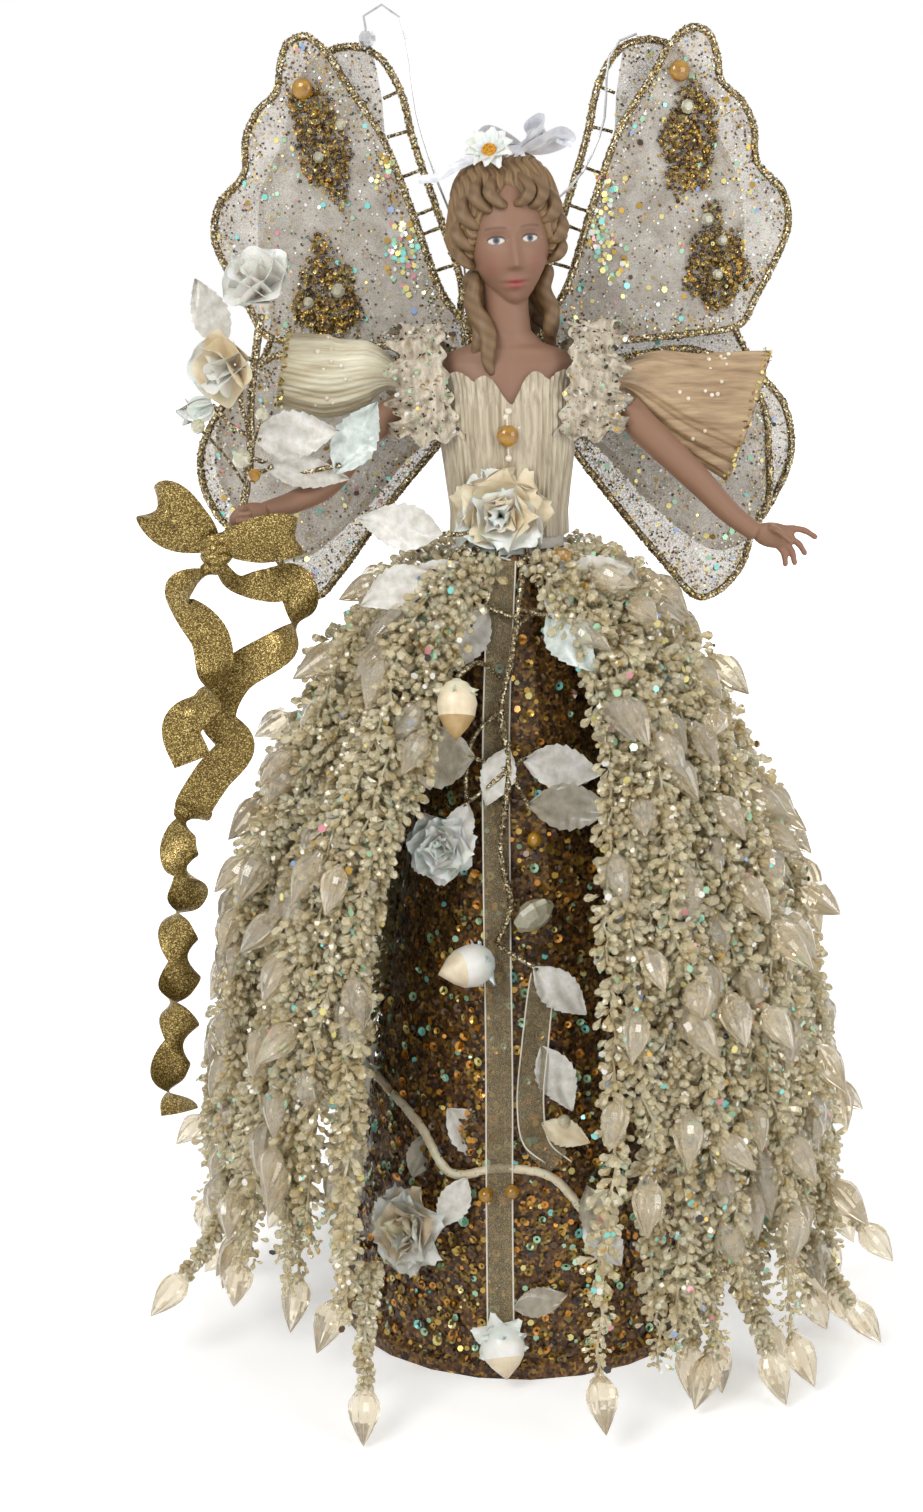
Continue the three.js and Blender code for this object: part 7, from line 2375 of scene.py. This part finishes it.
def build_sheer_ribbons():
    for name, route, standoff, replaced in (
            ("front_sheer_ribbon", front_ribbon_shares, sheer_standoff, ["front_ribbon"]),
            ("second_sheer_ribbon", second_ribbon_shares, second_ribbon_standoff, [])):
        path = through([garland_place(a, b, 1, standoff) for a, b in route], 80)
        path[:, 1] += sheer_wave * np.sin(np.linspace(0, 17, 80))
        sway = 0.15 * np.sin(np.linspace(0, 9, 80))
        across = np.stack([np.ones(80), sway, np.zeros(80)], axis=1)
        heap = Heap().add(*strip(path, across, sheer_width, 9))
        edges = Heap()
        for way in (-1, 1):
            edges.merge(tube(path + unit(across) * sheer_width / 2 * way, sheer_edge_radius, 6))
        edge = piece(f"{name}_edges", edges, [sheer_edge], "doll", "satin")
        ribbon = piece(name, heap, [sheer_ribbon], "doll", "satin", *replaced)


daisy_petals = 10
daisy_petal_depth = 0.0012
daisy_petal_ruffle = 0.0004
daisy_petal_inset = (0, -0.0006, 0)
daisy_eye_half = (0.0026, 0.0026, 0.0014)
daisy_eye_place = (0, 0, 0.0010)
daisy_grain_count = 60
daisy_grain_reach = (0.0026, 0.0026, 0.0020)
daisy_grain_place = (0, 0, 0.0008)
daisy_grain_radius = 0.00042
hair_bow_bow = 0.0006
# Two loops, a knot and a tail, from the middle of the bow
hair_bow_paths = (
    ((0, 0, 0), (0.006, -0.001, 0.003), (0.0125, 0.001, 0.0055), (0.0155, 0.004, 0.0035), (0.010, 0.005, 0.001),
     (0.001, 0.003, 0)),
    ((0, 0, 0), (-0.007, 0.002, 0.0045), (-0.013, 0.004, 0.0065), (-0.016, 0.006, 0.004),
     (-0.010, 0.006, 0.001), (-0.001, 0.003, 0)),
    ((0, 0, 0.001), (0.004, -0.003, 0.005), (0.007, -0.002, 0.0085), (0.003, 0.002, 0.0075), (0, 0.003, 0.001)),
    ((0, 0, 0), (-0.016, -0.0035, -0.0016), (-0.0255, -0.0040, -0.0055), (-0.0320, -0.0030, -0.0090),
     (-0.0400, -0.0020, -0.0100)),
)


def build_hair_daisy():
    dice = chance(271)
    heap = Heap()
    for k in range(daisy_petals):
        points, faces = petal(daisy_radius * 1.02, daisy_radius * 0.62, daisy_petal_depth, daisy_petal_depth,
                              ruffle=daisy_petal_ruffle, phase=k)
        open_out = rotation(math.radians(66 + dice.normal(0, 6)), "X")
        spin = rotation(2 * math.pi * k / daisy_petals + dice.normal(0, 0.05), "Z")
        heap.add((points @ open_out.T + daisy_petal_inset) @ spin.T, faces)
    heap.put(ball(10, 14), daisy_eye_place, daisy_eye_half, mark=1)
    spots = dice.normal(0, 1, (daisy_grain_count, 3)) * (1, 1, 0.4) + (0, 0, 0.9)
    spots = unit(spots) * daisy_grain_reach + daisy_grain_place
    grain = np.tile(np.eye(3) * daisy_grain_radius, (daisy_grain_count, 1, 1))
    heap.scatter(ball(4, 6), grain, spots, mark=1)
    aimed(heap, (-0.1, -0.80, 0.62), daisy_place)
    piece("hair_daisy_petals", heap, [petal_cloth, daisy_yellow], "doll", "petal", "hair_daisy")


def build_hair_bow():
    loops = Heap()
    full = mixed(0.5, 1.0, np.sin(np.pi * np.linspace(0, 1, 60)) ** 0.5)
    for route in hair_bow_paths:
        tail = route is hair_bow_paths[-1]
        path = through(np.array(bow_place) + np.array(route), 60)
        width = bow_ribbon_width * (np.linspace(0.5, 0.35, 60) if tail else full)
        lean = (0.1, 0.5, 0.8) if tail else (0.1, -0.9, 0.5)
        loops.add(*strip(path, np.tile(lean, (60, 1)), width, 7, bow=hair_bow_bow))
    bow = piece("hair_bow_loops", loops, [ribbon_white], "doll", "satin", "hair_bow")


painted_by_points(skin, 0.22)
painted_by_points(hair_paint, 0.3)
finish_cad()
set_scene()
set_light()
lay_floor()
build_bust()
build_hair()
build_hair_daisy()
build_hair_bow()
build_bodice()
build_bodice_gem()
build_pad()
for one_side in ("right", "left"):
    build_arm(one_side)
    build_sleeve(one_side)
    build_lace_cap(one_side)
build_wings()
build_bouquet()
build_ribbons()
build_skirt()
build_cone_sequins()
build_waist()
build_garland_beads()
build_garland()
build_sheer_ribbons()
